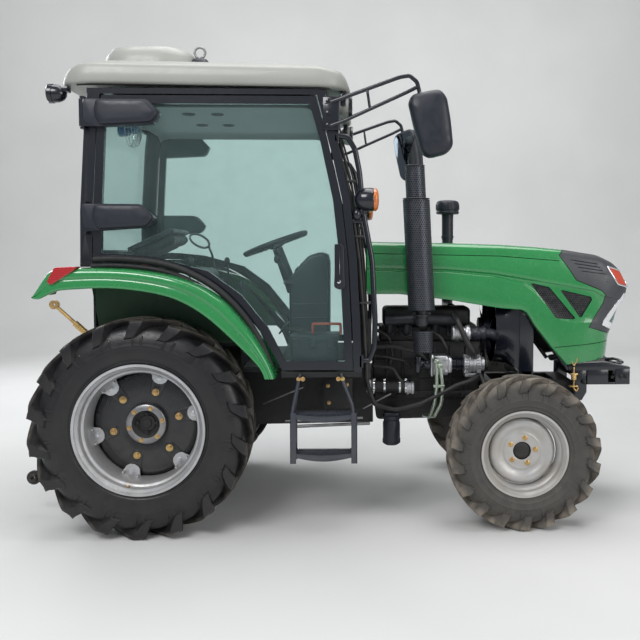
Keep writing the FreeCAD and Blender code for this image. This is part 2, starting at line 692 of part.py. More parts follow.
def knuckles():
    """Steered cases with the wheel hubs, steering arms, tie rod and steering rod."""
    pin = (s.wheelbase, s.kingpin_y)
    case = cylinder("case", "z", (*pin, 300), s.kingpin_top - 300, s.kingpin_radius)
    hub = cylinder("hub", "y", (s.wheelbase, s.kingpin_y, s.front_radius),
                   s.front_centre - 14 - s.kingpin_y, 60)
    low = s.arm_top - s.arm_thick
    rear_arm = box("tie_rod_arm", (s.wheelbase - s.tie_arm - 22, s.wheelbase), (448, 492), (low, s.arm_top))
    left = fused("knuckle_base", case, hub, rear_arm)
    finish("knuckle_left", group("knuckle_l", left))
    front_arm = box("cylinder_arm_plate", (s.wheelbase, s.wheelbase + s.cylinder_arm + 22),
                    (-492, -448), (low, s.arm_top))
    finish("knuckle_right", fused("knuckle_r", mirrored("knuckle_r_base", left), front_arm))
    ball_x = s.wheelbase - s.tie_arm
    seat = s.arm_top + s.joint_gap
    bar = rod("tie_bar", (ball_x, -s.kingpin_y, seat + 16), (ball_x, s.kingpin_y, seat + 16), 13)
    ends = both("tie_ends", cylinder("tie_end", "z", (ball_x, s.kingpin_y, seat), 32, 20))
    finish("tie_rod", fused("tie_rod_joined", bar, ends))
    eye_x = s.wheelbase + s.cylinder_arm
    shaft = rod("steering_shaft", (eye_x, -s.kingpin_y, seat + 15), (eye_x, -220, seat + 15),
                s.steering_rod_radius)
    eye = cylinder("steering_eye", "z", (eye_x, -s.kingpin_y, seat), 30, 20)
    finish("steering_rod", fused("steering_rod_joined", shaft, eye))


# Three-point linkage

def linkage():
    """Lift arms on their shaft, lift rods, lower links and top link."""
    slope = math.radians(float(s.link_slope))
    down = Vector(-math.cos(slope), 0, -math.sin(slope))
    reach = float(s.lift_reach)
    shaft_at = Vector(float(s.lift_shaft_x), 0, float(s.lift_shaft_z))
    tip = shaft_at + down * reach
    pivot = Vector(float(s.link_pivot_x), 0, float(s.link_pivot_z))
    hang = pivot + down * reach
    plane = s.lift_plane
    play = s.joint_gap
    eye_half = 9.0

    shaft = cylinder("lift_shaft", "y", (s.lift_shaft_x, -(plane - eye_half), s.lift_shaft_z),
                     (plane - eye_half) * 2, s.lift_shaft_radius)
    turn = Rotation(Vector(0, 1, 0), float(s.link_slope))

    def lever(name, at, length, root, end, low, high):
        """A tapered bar in a side plane that slopes down to the rear from its pivot."""
        outline = [(root * 0.9, 0, 0, root), (-length, end), (-length - end * 0.9, 0, -length, -end),
                   (0, -root)]
        piece = extruded(name, outline, "y", low, high)
        piece.Base.Placement.Base = Vector(0, float(low), 0)
        holder = group(f"{name}_set", piece)
        holder.Placement = Placement(at, turn.inverted())
        return holder

    arm = lever("lift_lever", shaft_at, reach, 48, 26, plane - eye_half - 22, plane - eye_half)
    arm_pin = cylinder("lift_pin", "y", (tip.x, plane - eye_half - 22, tip.z), 22 + 2 * eye_half + 6, 10)
    finish("lift_arms", fused("lift_arms_joined", shaft, both("levers", arm), both("lever_pins", arm_pin)))

    low = plane - eye_half + play
    wide = (eye_half - 0.3) * 2
    eyes = [cylinder(f"rod_eye_{index}", "y", (point.x, low, point.z), wide, 24)
            for index, point in enumerate((tip, hang))]
    bar = rod("lift_bar", (tip.x, plane, tip.z), (hang.x, plane, hang.z), 14 - 6)
    sleeve = rod("lift_sleeve", tuple(tip * 0.7 + hang * 0.3 + Vector(0, float(plane), 0)),
                 tuple(tip * 0.35 + hang * 0.65 + Vector(0, float(plane), 0)), 17)
    bores = [cylinder(f"rod_bore_{index}", "y", (point.x, low, point.z), wide, s.pin_gap + 10)
             for index, point in enumerate((tip, hang))]
    finish_pair("lift_rod", cut("lift_rod_bored", fused("lift_rod_joined", *eyes, bar, sleeve), *bores))

    inner, outer, half = float(s.link_inner), float(s.link_ball), float(s.link_thick) / 2
    length = float(s.link_length)
    ball = pivot + down * length
    link_y = float(plane) - eye_half - half
    plan = [(0, inner), (-0.25 * length, inner), (-0.42 * length, link_y), (-0.62 * length, link_y),
            (-0.85 * length, outer), (-length, outer)]
    strip = [(x, y + half) for x, y in plan] + [(x, y - half) for x, y in reversed(plan)]
    flat = extruded("link_bar", strip, "z", -32.0, 32.0)
    flat.Base.Placement.Base = Vector(0, 0, -32)
    front_eye = cylinder("link_front_eye", "y", (0, inner - half, 0), 2 * half, 38)
    rear_eye = cylinder("link_rear_eye", "y", (-length, outer - half, 0), 2 * half, 38)
    ball_body = doc.addObject("Part::Sphere", "link_ball_body")
    ball_body.Radius = 27
    place(ball_body, -length, outer, 0)
    pin = cylinder("link_rod_pin", "y", (-reach, link_y, 0), half + 2 * eye_half + 8, 10)
    trim = box("ball_trim", (-length - 40, -length + 40), (outer - 22, outer + 22), (-40, 40))
    ball_flat = common("ball_flat", ball_body, trim)
    joined = fused("link_joined", flat, front_eye, rear_eye, ball_flat, pin)
    bores = [cylinder("link_front_bore", "y", (0, inner - half, 0), 2 * half, s.pin_gap + 12),
             cylinder("link_rear_bore", "y", (-length, outer - 22, 0), 44, s.link_bore)]
    link = cut("link_bored", joined, *bores)
    link.Placement = Placement(pivot, turn.inverted())
    finish_pair("lower_link", link)

    rise = math.radians(float(s.top_link_rise))
    up = Vector(-math.cos(rise), 0, math.sin(rise))
    start = Vector(float(s.top_link_x), 0, float(s.top_link_z))
    end = start + up * float(s.top_link_length)
    eyes = [cylinder(f"top_eye_{index}", "y", (point.x, -17.5, point.z), 35, 26)
            for index, point in enumerate((start, end))]
    screw = rod("top_screw", tuple(start), tuple(end), 11)
    body = rod("top_barrel", tuple(start * 0.75 + end * 0.25), tuple(start * 0.3 + end * 0.7), 19)
    holes = [cylinder("top_bore_front", "y", (start.x, -17.5, start.z), 35, s.pin_gap + 9.5),
             cylinder("top_bore_rear", "y", (end.x, -17.5, end.z), 35, s.top_link_bore)]
    finish("top_link", cut("top_link_bored", fused("top_link_joined", *eyes, screw, body), *holes))


# Bonnet and what stands round it

BONNET_SIDE = [
    (s.bonnet_rear, 1206), (s.bonnet_rear, 1500), (1605, 1489), (1884, 1483), (2254, 1456), (2490, 1424),
    (2612, 1350), (s.nose_tip, 1226), (2590, 979), (2550, 928), (2540, 838), (2268, 806), (2171, 918),
    (2085, 1030), (2028, 1115), (1887, 1126), (1607, 1172), (1327, 1206),
]
NOSE_SIDE = [
    (2221, 1422), (2254, 1600), (2800, 1600), (2800, 955), (2560, 955), (2395, 1018), (2486, 1198),
    (2463, 1224), (2318, 1282), (2266, 1361),
]


def nose_plan(half, inset):
    """Plan outline of the bonnet, rounded towards the nose."""
    tip = float(s.nose_tip) - float(inset)
    half = float(half)
    return [(1000, -half), (2200, -half), (2480, 42 - half, tip, 150 - half), (tip, half - 150),
            (2480, half - 42, 2200, half), (1000, half)]


def bonnet_form(name, inset):
    """Cross the bonnet's side, front and plan outlines, drawn in by an inset."""
    half = s.bonnet_half - inset
    side = extruded(f"{name}_side", BONNET_SIDE, "y", -half, half)
    edge = s.bonnet_edge - inset
    top = 1500 - inset
    front = extruded(f"{name}_front", [(-half, 700), (half, 700), (half - 6, 1300), (half - 14, top, edge),
                                       (14 - half, top, edge), (6 - half, 1300)], "x", 1100, 2700)
    plan = extruded(f"{name}_plan", nose_plan(half, inset), "z", 700, 1700)
    return common(name, side, front, plan)


def bonnet():
    """Bonnet shell with its grilles, nose and head lamps."""
    outer = bonnet_form("bonnet_outer", Size.of(0.0))
    wall = s.sheet_wall
    inner_side = [
        (1100, 700), (1100, 1500 - wall), (s.bonnet_rear, 1500 - wall), (1605, 1489 - wall), (1884, 1483 - wall),
        (2252, 1456 - wall), (2486, 1424 - wall), (2607, 1348 - wall), (s.nose_tip - wall, 1226),
        (2584, 981), (2544, 928), (2534, 700),
    ]
    half = s.bonnet_half - wall
    edge = s.bonnet_edge - wall
    front = extruded("bonnet_inner_front", [(-half, 600), (half, 600), (half - 6, 1300),
                                            (half - 14, 1500 - wall, edge), (14 - half, 1500 - wall, edge),
                                            (6 - half, 1300)], "x", 1000, 2700)
    plan = extruded("bonnet_inner_plan", nose_plan(half, wall), "z", 600, 1700)
    side = extruded("bonnet_inner_side", inner_side, "y", -half, half)
    inner = common("bonnet_inner", side, front, plan)
    shell = cut("bonnet_shell", outer, inner)
    nose_zone = extruded("nose_zone", NOSE_SIDE, "y", -400.0, Size.of(400.0))
    grilles = [
        ("grille_rear", [(2065, 1260), (2172, 1238), (2316, 1062), (2208, 1066)]),
        ("grille_front", [(2235, 1221), (2400, 1178), (2346, 1074)]),
    ]
    zones = [extruded(name, points, "y", -400.0, Size.of(400.0)) for name, points in grilles]
    open_shell = cut("bonnet_open", shell, nose_zone, *zones)
    nose = common("nose_shell", shell, nose_zone)
    thin = [both(f"{name}_mesh", extruded(f"{name}_sheet", points, "y", s.bonnet_half - 12,
                                          s.bonnet_half - 9)) for name, points in grilles]
    lamp = [(2615, 1203), (2484, 1048), (2478, 1026), (2559, 990), (2583, 1000), (2659, 1193)]
    lamp_in, lamp_out = 95.0, Size.of(400.0)
    lamp_zone = both("lamp_zones", extruded("lamp_zone", lamp, "y", lamp_in, lamp_out))
    knuckle = cylinder("bonnet_eye", "y", (s.bonnet_hinge_x, 180 + s.joint_gap, s.bonnet_hinge_z), 36, 14)
    block = box("bonnet_eye_block", (s.bonnet_hinge_x - 6, s.bonnet_hinge_x + 14), (180 + s.joint_gap, 216.3),
                (s.bonnet_hinge_z, 1496))
    bore = cylinder("bonnet_eye_bore", "y", (s.bonnet_hinge_x, 180, s.bonnet_hinge_z), 40, 8 + s.pin_gap)
    eyes = both("bonnet_eyes", cut("bonnet_eye_bored", fused("bonnet_eye_set", knuckle, block), bore))
    finish("bonnet", fused("bonnet_joined", open_shell, eyes))
    finish("nose", cut("nose_open", nose, lamp_zone))
    glass_zone = both("lamp_glass_zones", extruded("lamp_glass_zone", lamp, "y", lamp_in, lamp_out))
    finish("head_lamps", common("lamp_glass", shell, glass_zone))
    finish("side_grilles", group("grille_set", *thin))


def cooling():
    """Radiator and fan shroud ahead of the engine."""
    core = box("radiator_core", (s.radiator_x, s.radiator_x + s.radiator_deep),
               (-s.radiator_half, s.radiator_half), (s.frame_top, s.radiator_top))
    shroud = cylinder("fan_shroud", "x", (s.radiator_x - 80, 0, 1000), 80, 222)
    finish("radiator", fused("radiator_joined", core, shroud))


def exhaust():
    """Exhaust stack with its guards, standing beside the bonnet."""
    foot = Vector(float(s.stack_x), float(s.stack_y), 1129)
    lean = math.radians(float(s.stack_lean))
    up = Vector(-math.sin(lean), 0, math.cos(lean))
    guard = rod("stack_guard", tuple(foot), tuple(foot + up * 592), s.stack_radius)
    tip = rod("stack_tip", tuple(foot + up * 592), tuple(foot + up * 790), 54)
    bore = rod("stack_bore", tuple(foot + up * 600), tuple(foot + up * 800), s.tailpipe_radius)
    low = cylinder("stack_low", "z", (s.stack_x, s.stack_y, 893), 121, 52)
    neck = cylinder("stack_neck", "z", (s.stack_x, s.stack_y, 1000), 140, 32)
    elbow = rod("stack_elbow", (s.stack_x, s.stack_y, 1060), (s.stack_x, -s.engine_half, 1060), 30)
    finish("exhaust", cut("exhaust_open", fused("exhaust_joined", guard, tip, low, neck, elbow), bore))


def pre_cleaner():
    """Air intake with its mushroom cap, on the left of the bonnet."""
    cap = cylinder("cleaner_cap", "z", (s.cleaner_x, s.cleaner_y, s.cleaner_top - 90), 90, s.cleaner_radius)
    stem = tube("cleaner_stem", [(s.cleaner_x, s.cleaner_y, s.cleaner_top - 80), (s.cleaner_x, s.cleaner_y, 1090),
                                 (s.cleaner_x, s.engine_half, 1090)], 34, 60)
    finish("pre_cleaner", fused("cleaner_joined", cap, stem))


# Cab

FRONT_LINE = [(1112, 828), (1102, 1094), (1087, 1399), (1053, 1702), (988, 2002), (928, 2228)]
REAR_LINE = [(-303, 1366), (-298, 1650), (-269, 2096), (-250, 2228)]
FENDER_ARC = [(675, 834), (577, 1026), (454, 1176), (307, 1286), (61, 1351), (-85, 1366), (-419, 1366)]


def shifted(points, dx, dz=0.0):
    """Move a list of outline points."""
    return [(x + dx, z + dz) for x, z in points]


def cab_frame():
    """Pillars, top rail, cowl and rear panel of the cab, in one welded frame."""
    wide = float(s.pillar_wide)
    front = FRONT_LINE + list(reversed(shifted(FRONT_LINE, -wide)))
    rear = list(reversed(REAR_LINE)) + shifted(REAR_LINE, float(s.rear_pillar_wide))
    pillars = both("front_pillars", extruded("front_pillar", front, "y", s.cab_inner, s.cab_half))
    posts = both("rear_pillars", extruded("rear_pillar", rear, "y", s.cab_inner, s.cab_half))
    ring = cut("top_ring", box("top_ring_block", (-254, 932), (-s.cab_half, s.cab_half),
                               (s.cab_rail_low, s.cab_rail_top)),
               box("top_ring_hole", (-190, 880), (-s.cab_inner, s.cab_inner),
                   (s.cab_rail_low - 1, s.cab_rail_top + 1)))
    cowl = box("cowl", (1094, 1106), (-s.cab_inner, s.cab_inner), (s.floor_top, 1230))
    back = box("back_panel", (-303, -291), (-s.wall_inner, s.wall_inner), (s.deck_top, 1366))
    beam = box("back_beam", (-303, -263), (-s.cab_inner, s.cab_inner), (1366, 1398))
    pins = []
    for index, z in enumerate((2052, 2202, 1534, 1686)):
        pins.append(box(f"hinge_tab_{index}", (s.door_hinge_x - 10, s.door_hinge_x + 10),
                        (s.cab_half, s.door_hinge_y + 10), (z - 5, z + 5)))
    for index, z in enumerate((2047, 1529)):
        pins.append(cylinder(f"hinge_pin_{index}", "z", (s.door_hinge_x, s.door_hinge_y, z), 160,
                             s.hinge_pin_radius))
    hinges = both("door_hinges", fused("door_hinge_set", *pins))
    bracket = extruded("bonnet_bracket", [(1106, 1150), (1118, 1150), (1118, 1462), (1150, 1462), (1150, 1479),
                                          (1106, 1479)], "y", 140.0, Size.of(180.0))
    bonnet_pin = cylinder("bonnet_pin", "y", (s.bonnet_hinge_x, 140, s.bonnet_hinge_z), 84, 8)
    bonnet_hinges = both("bonnet_hinges", fused("bonnet_hinge", bracket, bonnet_pin))
    knuckle = box("window_knuckle_block", (s.window_hinge_x - 7, s.window_hinge_x + 9), (300, 340),
                  (s.window_hinge_z - 7, s.window_hinge_z + 7))
    window_pin = cylinder("window_pin", "y", (s.window_hinge_x, 300, s.window_hinge_z), 80, 4)
    window_hinges = both("window_hinges", fused("window_hinge", knuckle, window_pin))
    finish("cab_frame", fused("cab_frame_joined", pillars, posts, ring, cowl, back, beam, hinges,
                              bonnet_hinges, window_hinges))


def platform():
    """Cab floor with the deck under the seat."""
    low = s.floor_top - s.floor_thick
    floor = box("floor_plate", (470, 1112), (-s.wall_inner, s.wall_inner), (low, s.floor_top))
    sides = both("floor_sides", box("floor_side", (700, 1112), (s.wall_inner, s.cab_half), (low, s.floor_top)))
    riser = box("deck_riser", (470, 484), (-s.wall_inner, s.wall_inner), (s.floor_top, s.deck_top))
    deck = box("deck", (-303, 484), (-s.wall_inner, s.wall_inner), (s.deck_top - 20, s.deck_top))
    finish("platform", fused("platform_joined", floor, sides, riser, deck))


def fenders():
    """Rear fenders: top skin, outer lip and inner arch wall."""
    wall = float(s.sheet_wall)
    inner_line = [(669, 834), (572, 1021), (450, 1170), (305, 1280), (60, 1345), (-85, 1360), (-419, 1360)]
    skin = extruded("fender_skin", FENDER_ARC + list(reversed(inner_line)), "y", s.wall_inner, s.fender_outer)
    lip_low = [(-505, 1218), (-471, 1203), (-382, 1252), (-186, 1262), (59, 1242), (305, 1152), (502, 976),
               (625, 834)]
    lip = extruded("fender_lip", FENDER_ARC + lip_low, "y", s.fender_outer - wall, s.fender_outer)
    tail = extruded("fender_tail", [(-419, 1366), (-505, 1218), (-499, 1214), (-413, 1360)], "y",
                    s.wall_inner, s.fender_outer)
    arch = [(675, 834), (577, 1026), (454, 1176), (307, 1286), (61, 1351), (-85, 1366), (-303, 1366),
            (-303, 940), (470, 940), (470, 800), (675, 800)]
    inner = extruded("fender_inner", arch, "y", s.wall_inner, s.wall_inner + wall)
    front = extruded("fender_front", [(669, 800), (675, 800), (675, 834), (669, 834)], "y", s.wall_inner,
                     s.cab_half)
    finish_pair("fender", fused("fender_joined", skin, lip, tail, inner, front))


def roof():
    """Roof shell with its raised hump."""
    # Roof sections: drawn in from the skirt, height, corner radius
    sections = ((12, 2256, 110), (0, 2275, 120), (0, 2335, 120), (60, 2385, 130), (220, 2425, 160))
    outlines = []
    for index, (inset, height, radius) in enumerate(sections):
        x0, x1 = s.roof_rear + inset, s.roof_front - inset
        half = s.roof_half - inset
        outlines.append(sketch(f"roof_section_{index}", [(x0, -half, radius), (x1, -half, radius),
                                                         (x1, half, radius), (x0, half, radius)], "z", height))
    shell = doc.addObject("Part::Loft", "roof_shell")
    shell.Sections = outlines
    shell.Solid = True
    shell.Ruled = True
    humps = []
    for index, (inset, height) in enumerate(((0, 2420), (20, 2500), (110, 2545))):
        x0, x1 = -250 + inset, 190 - inset
        half = 430 - inset
        humps.append(sketch(f"hump_section_{index}", [(x0, -half, 90), (x1, -half, 90), (x1, half, 90),
                                                      (x0, half, 90)], "z", height))
    hump = doc.addObject("Part::Loft", "roof_hump")
    hump.Sections = humps
    hump.Solid = True
    hump.Ruled = True
    finish("roof", fused("roof_joined", shell, hump))
    ring = flat_ring("ring_body", 26, 6, 16)
    place(ring, 240, -300, 2470, rotation=AXIS_TURN["y"])
    base = box("ring_base", (205, 275), (-335, -265), (2425, 2445))
    finish("roof_ring", fused("roof_ring_joined", ring, base))


def glazing():
    """Windscreen, following the front pillars' line."""
    thick = float(s.glass_thick)
    line = [(1097, 1230), (1087, 1399), (1053, 1702), (988, 2002), (928, 2228)]
    strip = shifted(line, -14) + list(reversed(shifted(line, -14 - thick)))
    finish("windscreen", extruded("windscreen_pane", strip, "y", -s.cab_inner, s.cab_inner))


def rear_window():
    """Rear window in its frame, hung from the top rail."""
    # Slanted line of the rear opening, from the hinge down
    outer = [(-252, 2220), (-269, 2096), (-298, 1650), (-303, 1406)]
    frame = outer + list(reversed(shifted(outer, 22)))
    slab = extruded("window_slab", frame, "y", -s.window_half, s.window_half)
    hole = box("window_hole", (-330, -200), (-s.window_half + 36, s.window_half - 36), (1450, 2180))
    glass_line = [(-245, 2180), (-260, 2096), (-289, 1650), (-293, 1450)]
    strip = glass_line + list(reversed(shifted(glass_line, float(s.glass_thick))))
    knuckle = cylinder("window_eye", "y", (s.window_hinge_x, 340 + s.joint_gap, s.window_hinge_z), 36, 7)
    tab = extruded("window_tab", [(-269, 2238), (-264, 2238), (-259, 2224), (-246, 2215), (-256, 2212), (-266, 2220)], "y",
                   340 + s.joint_gap, Size.of(376.3))
    bore = cylinder("window_eye_bore", "y", (s.window_hinge_x, 340, s.window_hinge_z), 40, 4 + s.pin_gap)
    eyes = both("window_eyes", cut("window_eye_bored", fused("window_eye_set", knuckle, tab), bore))
    finish("rear_window_frame", fused("window_joined", cut("window_frame", slab, hole), eyes))
    finish("rear_window_glass", extruded("window_glass", strip, "y", -s.window_half + 36,
                                         s.window_half - 36))


DOOR_OUTER = [
    (706, 840), (1066, 840), (1056, 1094), (1041, 1399), (1007, 1702), (942, 2002), (884, 2220),
    (-181, 2220), (-204, 2096), (-232, 1650), (-237, 1392), (-85, 1388), (66, 1373), (318, 1306), (471, 1193),
    (597, 1036),
]
DOOR_INNER = [
    (722, 884), (1024, 884), (1015, 1094), (1000, 1399), (967, 1702), (903, 2002), (852, 2180),
    (-150, 2180), (-164, 2096), (-190, 1650), (-194, 1434), (-82, 1430), (76, 1414), (338, 1343), (503, 1222),
    (634, 1058),
]


def doors():
    """Full-height glazed doors with their frame, hinge covers and handle."""
    low, high = s.cab_half - s.door_thick + 5, s.cab_half + 5
    ring = cut("door_ring", extruded("door_slab", DOOR_OUTER, "y", low, high),
               extruded("door_opening", DOOR_INNER, "y", low - 1, high + 1))
    covers = [
        extruded("upper_cover", [(-279, 2060), (-193, 2060), (87, 2076), (117, 2128), (54, 2194), (-279, 2194)],
                 "y", high, s.door_hinge_y + 12),
        extruded("lower_cover", [(-279, 1542), (-262, 1542), (54, 1565), (85, 1609), (7, 1678), (-279, 1678)],
                 "y", high, s.door_hinge_y + 12),
    ]
    bores = [cylinder(f"cover_bore_{index}", "z", (s.door_hinge_x, s.door_hinge_y, z), 200,
                      s.hinge_pin_radius + s.pin_gap) for index, z in enumerate((2010, 1500))]
    handle = box("door_handle", (975, 1000), (high, high + 40), (1290, 1480))
    joined = fused("door_joined", ring, *covers, handle)
    finish_pair("door", cut("door_bored", joined, *bores))
    middle = s.cab_half - 10
    finish_pair("door_glass", extruded("door_pane", DOOR_INNER, "y", middle - 3, middle + 3))


def interior():
    """Seat with its back folded forward, console and steering wheel."""
    base = box("seat_base", (-120, 190), (-160, 160), (s.deck_top, 1240))
    cushion = box("seat_cushion", (-196, 270), (-235, 235), (1240, 1340))
    back = extruded("seat_back", [(-196, 1340), (-140, 1340), (-140, 1428), (100, 1530), (49, 1576), (-196, 1464)],
                    "y", -215.0, Size.of(215.0))
    finish("seat", fused("seat_joined", cushion, back, base))
    console = extruded("console_block", [(700, 828), (930, 828), (930, 1400), (890, 1433), (820, 1420), (700, 1290)],
                       "y", -170.0, Size.of(170.0))
    tilt = Placement(Vector(612, 0, 1490), Rotation(Vector(0, 1, 0), -20))
    column = cylinder("steering_column", "z", (0, 0, -320), 290, 26)
    column.Placement = tilt * column.Placement
    finish("console", fused("console_joined", console, column))
    ring = flat_ring("steering_ring", 185, 14, 32)
    spoke = cylinder("steering_spokes", "x", (-180, 0, 0), 360, 10)
    hub = cylinder("steering_hub", "z", (0, 0, -30), 45, 34)
    wheel = fused("steering_joined", ring, spoke, hub)
    wheel.Placement = tilt
    finish("steering_wheel", wheel)


def fittings():
    """Mirrors, grab rails with their lamps, work lamps, tail lamps, steps and tank."""
    upper = tube("mirror_arm_upper", [(985, s.cab_half + 12, 2190), (1337, s.mirror_y, 2313),
                                      (1400, s.mirror_y + 20, 2240), (1412, s.mirror_y + 20, 2150)], 10, 30)
    lower = tube("mirror_arm_lower", [(975, s.cab_half + 12, 2085), (1330, s.mirror_y + 4, 2262),
                                      (1392, s.mirror_y + 20, 2170)], 10, 30)
    strut = rod("mirror_strut", (1148, s.mirror_y - 16, 2246), (1148, s.mirror_y - 14, 2172), 7)
    root = box("mirror_root", (930, 1000), (s.cab_half, s.cab_half + 24), (2060, 2210))
    head = extruded("mirror_head", [(1345, 2178, 30), (1500, 2240, 30), (1578, 1950, 30), (1432, 1896, 30)],
                    "y", s.mirror_y + 2, s.mirror_y + 46)
    finish_pair("mirror", fused("mirror_joined", upper, lower, strut, root, head))
    rail_y = s.cab_half - 20
    rail = tube("rail_tube", [(991.1, rail_y, 1990), (1060, rail_y, 2005), (1122, rail_y, 1629),
                              (1165, rail_y, 1398), (1180, rail_y, 1088), (1176, rail_y, 950),
                              (1150, rail_y, 881.5), (1110.5, rail_y, 880)], 14, 20)
    lamp = cylinder("marker_lamp", "x", (1086, rail_y, 1706), 124, 64)
    finish_pair("grab_rail", fused("rail_joined", rail, lamp))
    front_lamp = box("front_lamp", (985, 1066), (500, 600), (2130, s.cab_rail_top))
    rear_lamp = cylinder("rear_lamp", "x", (-470, 610, 2236), 100, 45)
    stalk = box("rear_stalk", (-400, -350), (580, 640), (2240, 2256))
    lamps = group("lamp_set", front_lamp, fused("rear_lamp_set", rear_lamp, stalk))
    finish("work_lamps", both("work_lamp_pairs", lamps))
    tail = extruded("tail_lamp", [(-420, 1300), (-402, 1282), (-300, 1345), (-284, 1362), (-384, 1362)],
                    "y", s.fender_outer, s.fender_outer + 10)
    finish("tail_lamps", both("tail_lamp_pair", tail))
    low, high = s.step_y, s.step_y + s.step_deep
    rear_strap = box("step_rear", (743, 751), (low, high), (358, s.floor_top - s.floor_thick))
    front_strap = extruded("step_front", [(1015, 800), (1025, 800), (1092, 628), (1092, 358), (1084, 358),
                                          (1084, 624)], "y", low, high)
    treads = [box(f"tread_{index}", (751, 1084), (low, high), (z, z + 14)) for index, z in enumerate((404, 602))]
    finish_pair("step", fused("step_joined", rear_strap, front_strap, *treads))
    finish("fuel_tank", box("tank", (640, 1080), (190, 540), (480, s.floor_top - s.floor_thick)))


rear_wheel()
front_wheel()
transmission()
engine()
front_frame()
front_axle()
knuckles()
linkage()
bonnet()
cooling()
exhaust()
pre_cleaner()
cab_frame()
platform()
fenders()
roof()
glazing()
rear_window()
doors()
interior()
fittings()

doc.recompute()
for item in doc.Objects:
    if "Invalid" in item.State or "Error" in item.State:
        raise RuntimeError(f"{item.Name} failed: {item.State}")
for label, item in nodes.items():
    if item.Shape.isNull() or not item.Shape.isValid() or not item.Shape.Solids:
        raise RuntimeError(f"{label} has no valid solid")

os.makedirs("parts", exist_ok=True)
for label, item in nodes.items():
    item.Shape.exportStep(f"parts/{label}.step")
print(len(nodes), "sub-parts")
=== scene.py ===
"""Looks of a farm tractor: its cab, bonnet, wheels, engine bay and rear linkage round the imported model.

Everything is modelled in millimetres from the middle of the rear axle on the ground, with x forward, y to
the left and z up. A piece is scaled and shifted to the shared frame when it becomes an object.
"""

import logging
import math
from dataclasses import dataclass
from enum import Enum
from typing import Callable, Optional, Sequence

import bmesh
import bpy
from mathutils import Matrix, Vector

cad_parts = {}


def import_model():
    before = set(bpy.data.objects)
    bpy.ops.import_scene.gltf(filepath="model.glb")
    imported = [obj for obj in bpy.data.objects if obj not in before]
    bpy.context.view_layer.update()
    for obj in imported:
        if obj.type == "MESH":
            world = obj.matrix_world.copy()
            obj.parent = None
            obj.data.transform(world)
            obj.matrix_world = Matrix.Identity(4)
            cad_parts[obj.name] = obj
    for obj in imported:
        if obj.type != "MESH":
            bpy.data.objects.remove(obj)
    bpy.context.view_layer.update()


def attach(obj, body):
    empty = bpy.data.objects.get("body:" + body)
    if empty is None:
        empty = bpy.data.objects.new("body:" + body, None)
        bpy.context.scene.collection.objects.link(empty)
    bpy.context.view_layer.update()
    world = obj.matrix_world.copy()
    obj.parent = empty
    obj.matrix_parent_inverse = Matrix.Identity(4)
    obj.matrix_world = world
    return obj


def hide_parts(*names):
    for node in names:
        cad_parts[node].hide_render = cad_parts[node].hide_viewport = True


LOG = logging.getLogger("tractor")
MM = 0.001
REAR_AXLE_X = -0.972
TO_FRAME = Matrix.Translation((REAR_AXLE_X, 0, 0)) @ Matrix.Scale(MM, 4)
Point = tuple[float, float, float]
Flat = tuple[float, float]
Colour = tuple[float, float, float]
Outline = Sequence[Flat]
ORIGIN = (0, 0, 0)


class Axis(Enum):
    """The three directions of the frame."""

    X = (1, 0, 0)
    Y = (0, 1, 0)
    Z = (0, 0, 1)

    @property
    def vector(self) -> Vector:
        """Direction as a vector."""
        return Vector(self.value)


class Side(Enum):
    """The two sides of the tractor, with the sign of y."""

    LEFT = 1
    RIGHT = -1

    @property
    def word(self) -> str:
        """Name of the side in lower case."""
        return self.name.lower()


# Shader maths

class Signal:
    """A shader socket that takes part in Python expressions."""

    def __init__(self, tree: "Tree", socket: bpy.types.NodeSocket) -> None:
        """Wrap a socket of a material's tree."""
        self.tree = tree
        self.socket = socket

    def _maths(self, operation: str, *values: "Signal | float") -> "Signal":
        """Add one Math node."""
        return self.tree.add("ShaderNodeMath", {"operation": operation}, dict(enumerate(values)))

    def __add__(self, other: "Signal | float") -> "Signal":
        """Sum."""
        return self._maths("ADD", self, other)

    def __radd__(self, other: float) -> "Signal":
        """Sum with a plain number first."""
        return self._maths("ADD", other, self)

    def __sub__(self, other: "Signal | float") -> "Signal":
        """Difference."""
        return self._maths("SUBTRACT", self, other)

    def __rsub__(self, other: float) -> "Signal":
        """Difference from a plain number."""
        return self._maths("SUBTRACT", other, self)

    def __mul__(self, other: "Signal | float") -> "Signal":
        """Product."""
        return self._maths("MULTIPLY", self, other)

    def __rmul__(self, other: float) -> "Signal":
        """Product with a plain number first."""
        return self._maths("MULTIPLY", other, self)

    def __truediv__(self, other: "Signal | float") -> "Signal":
        """Quotient."""
        return self._maths("DIVIDE", self, other)

    def clamped(self) -> "Signal":
        """Limit to the range from 0 to 1."""
        return self.tree.add("ShaderNodeClamp", {}, {"Value": self})

    def fitted(self, low: float, high: float, to_low: float = 0, to_high: float = 1) -> "Signal":
        """Map a range smoothly onto another and hold the ends."""
        return self.tree.add(
            "ShaderNodeMapRange", {"interpolation_type": "SMOOTHSTEP"},
            {"Value": self, "From Min": low, "From Max": high, "To Min": to_low, "To Max": to_high})

    def wave(self) -> "Signal":
        """Sine."""
        return self._maths("SINE", self)

    def size(self) -> "Signal":
        """Absolute value."""
        return self._maths("ABSOLUTE", self)

    def root(self) -> "Signal":
        """Square root."""
        return self._maths("SQRT", self)

    def whole(self) -> "Signal":
        """Whole part."""
        return self._maths("FLOOR", self)

    def rest(self) -> "Signal":
        """Fractional part."""
        return self._maths("FRACT", self)


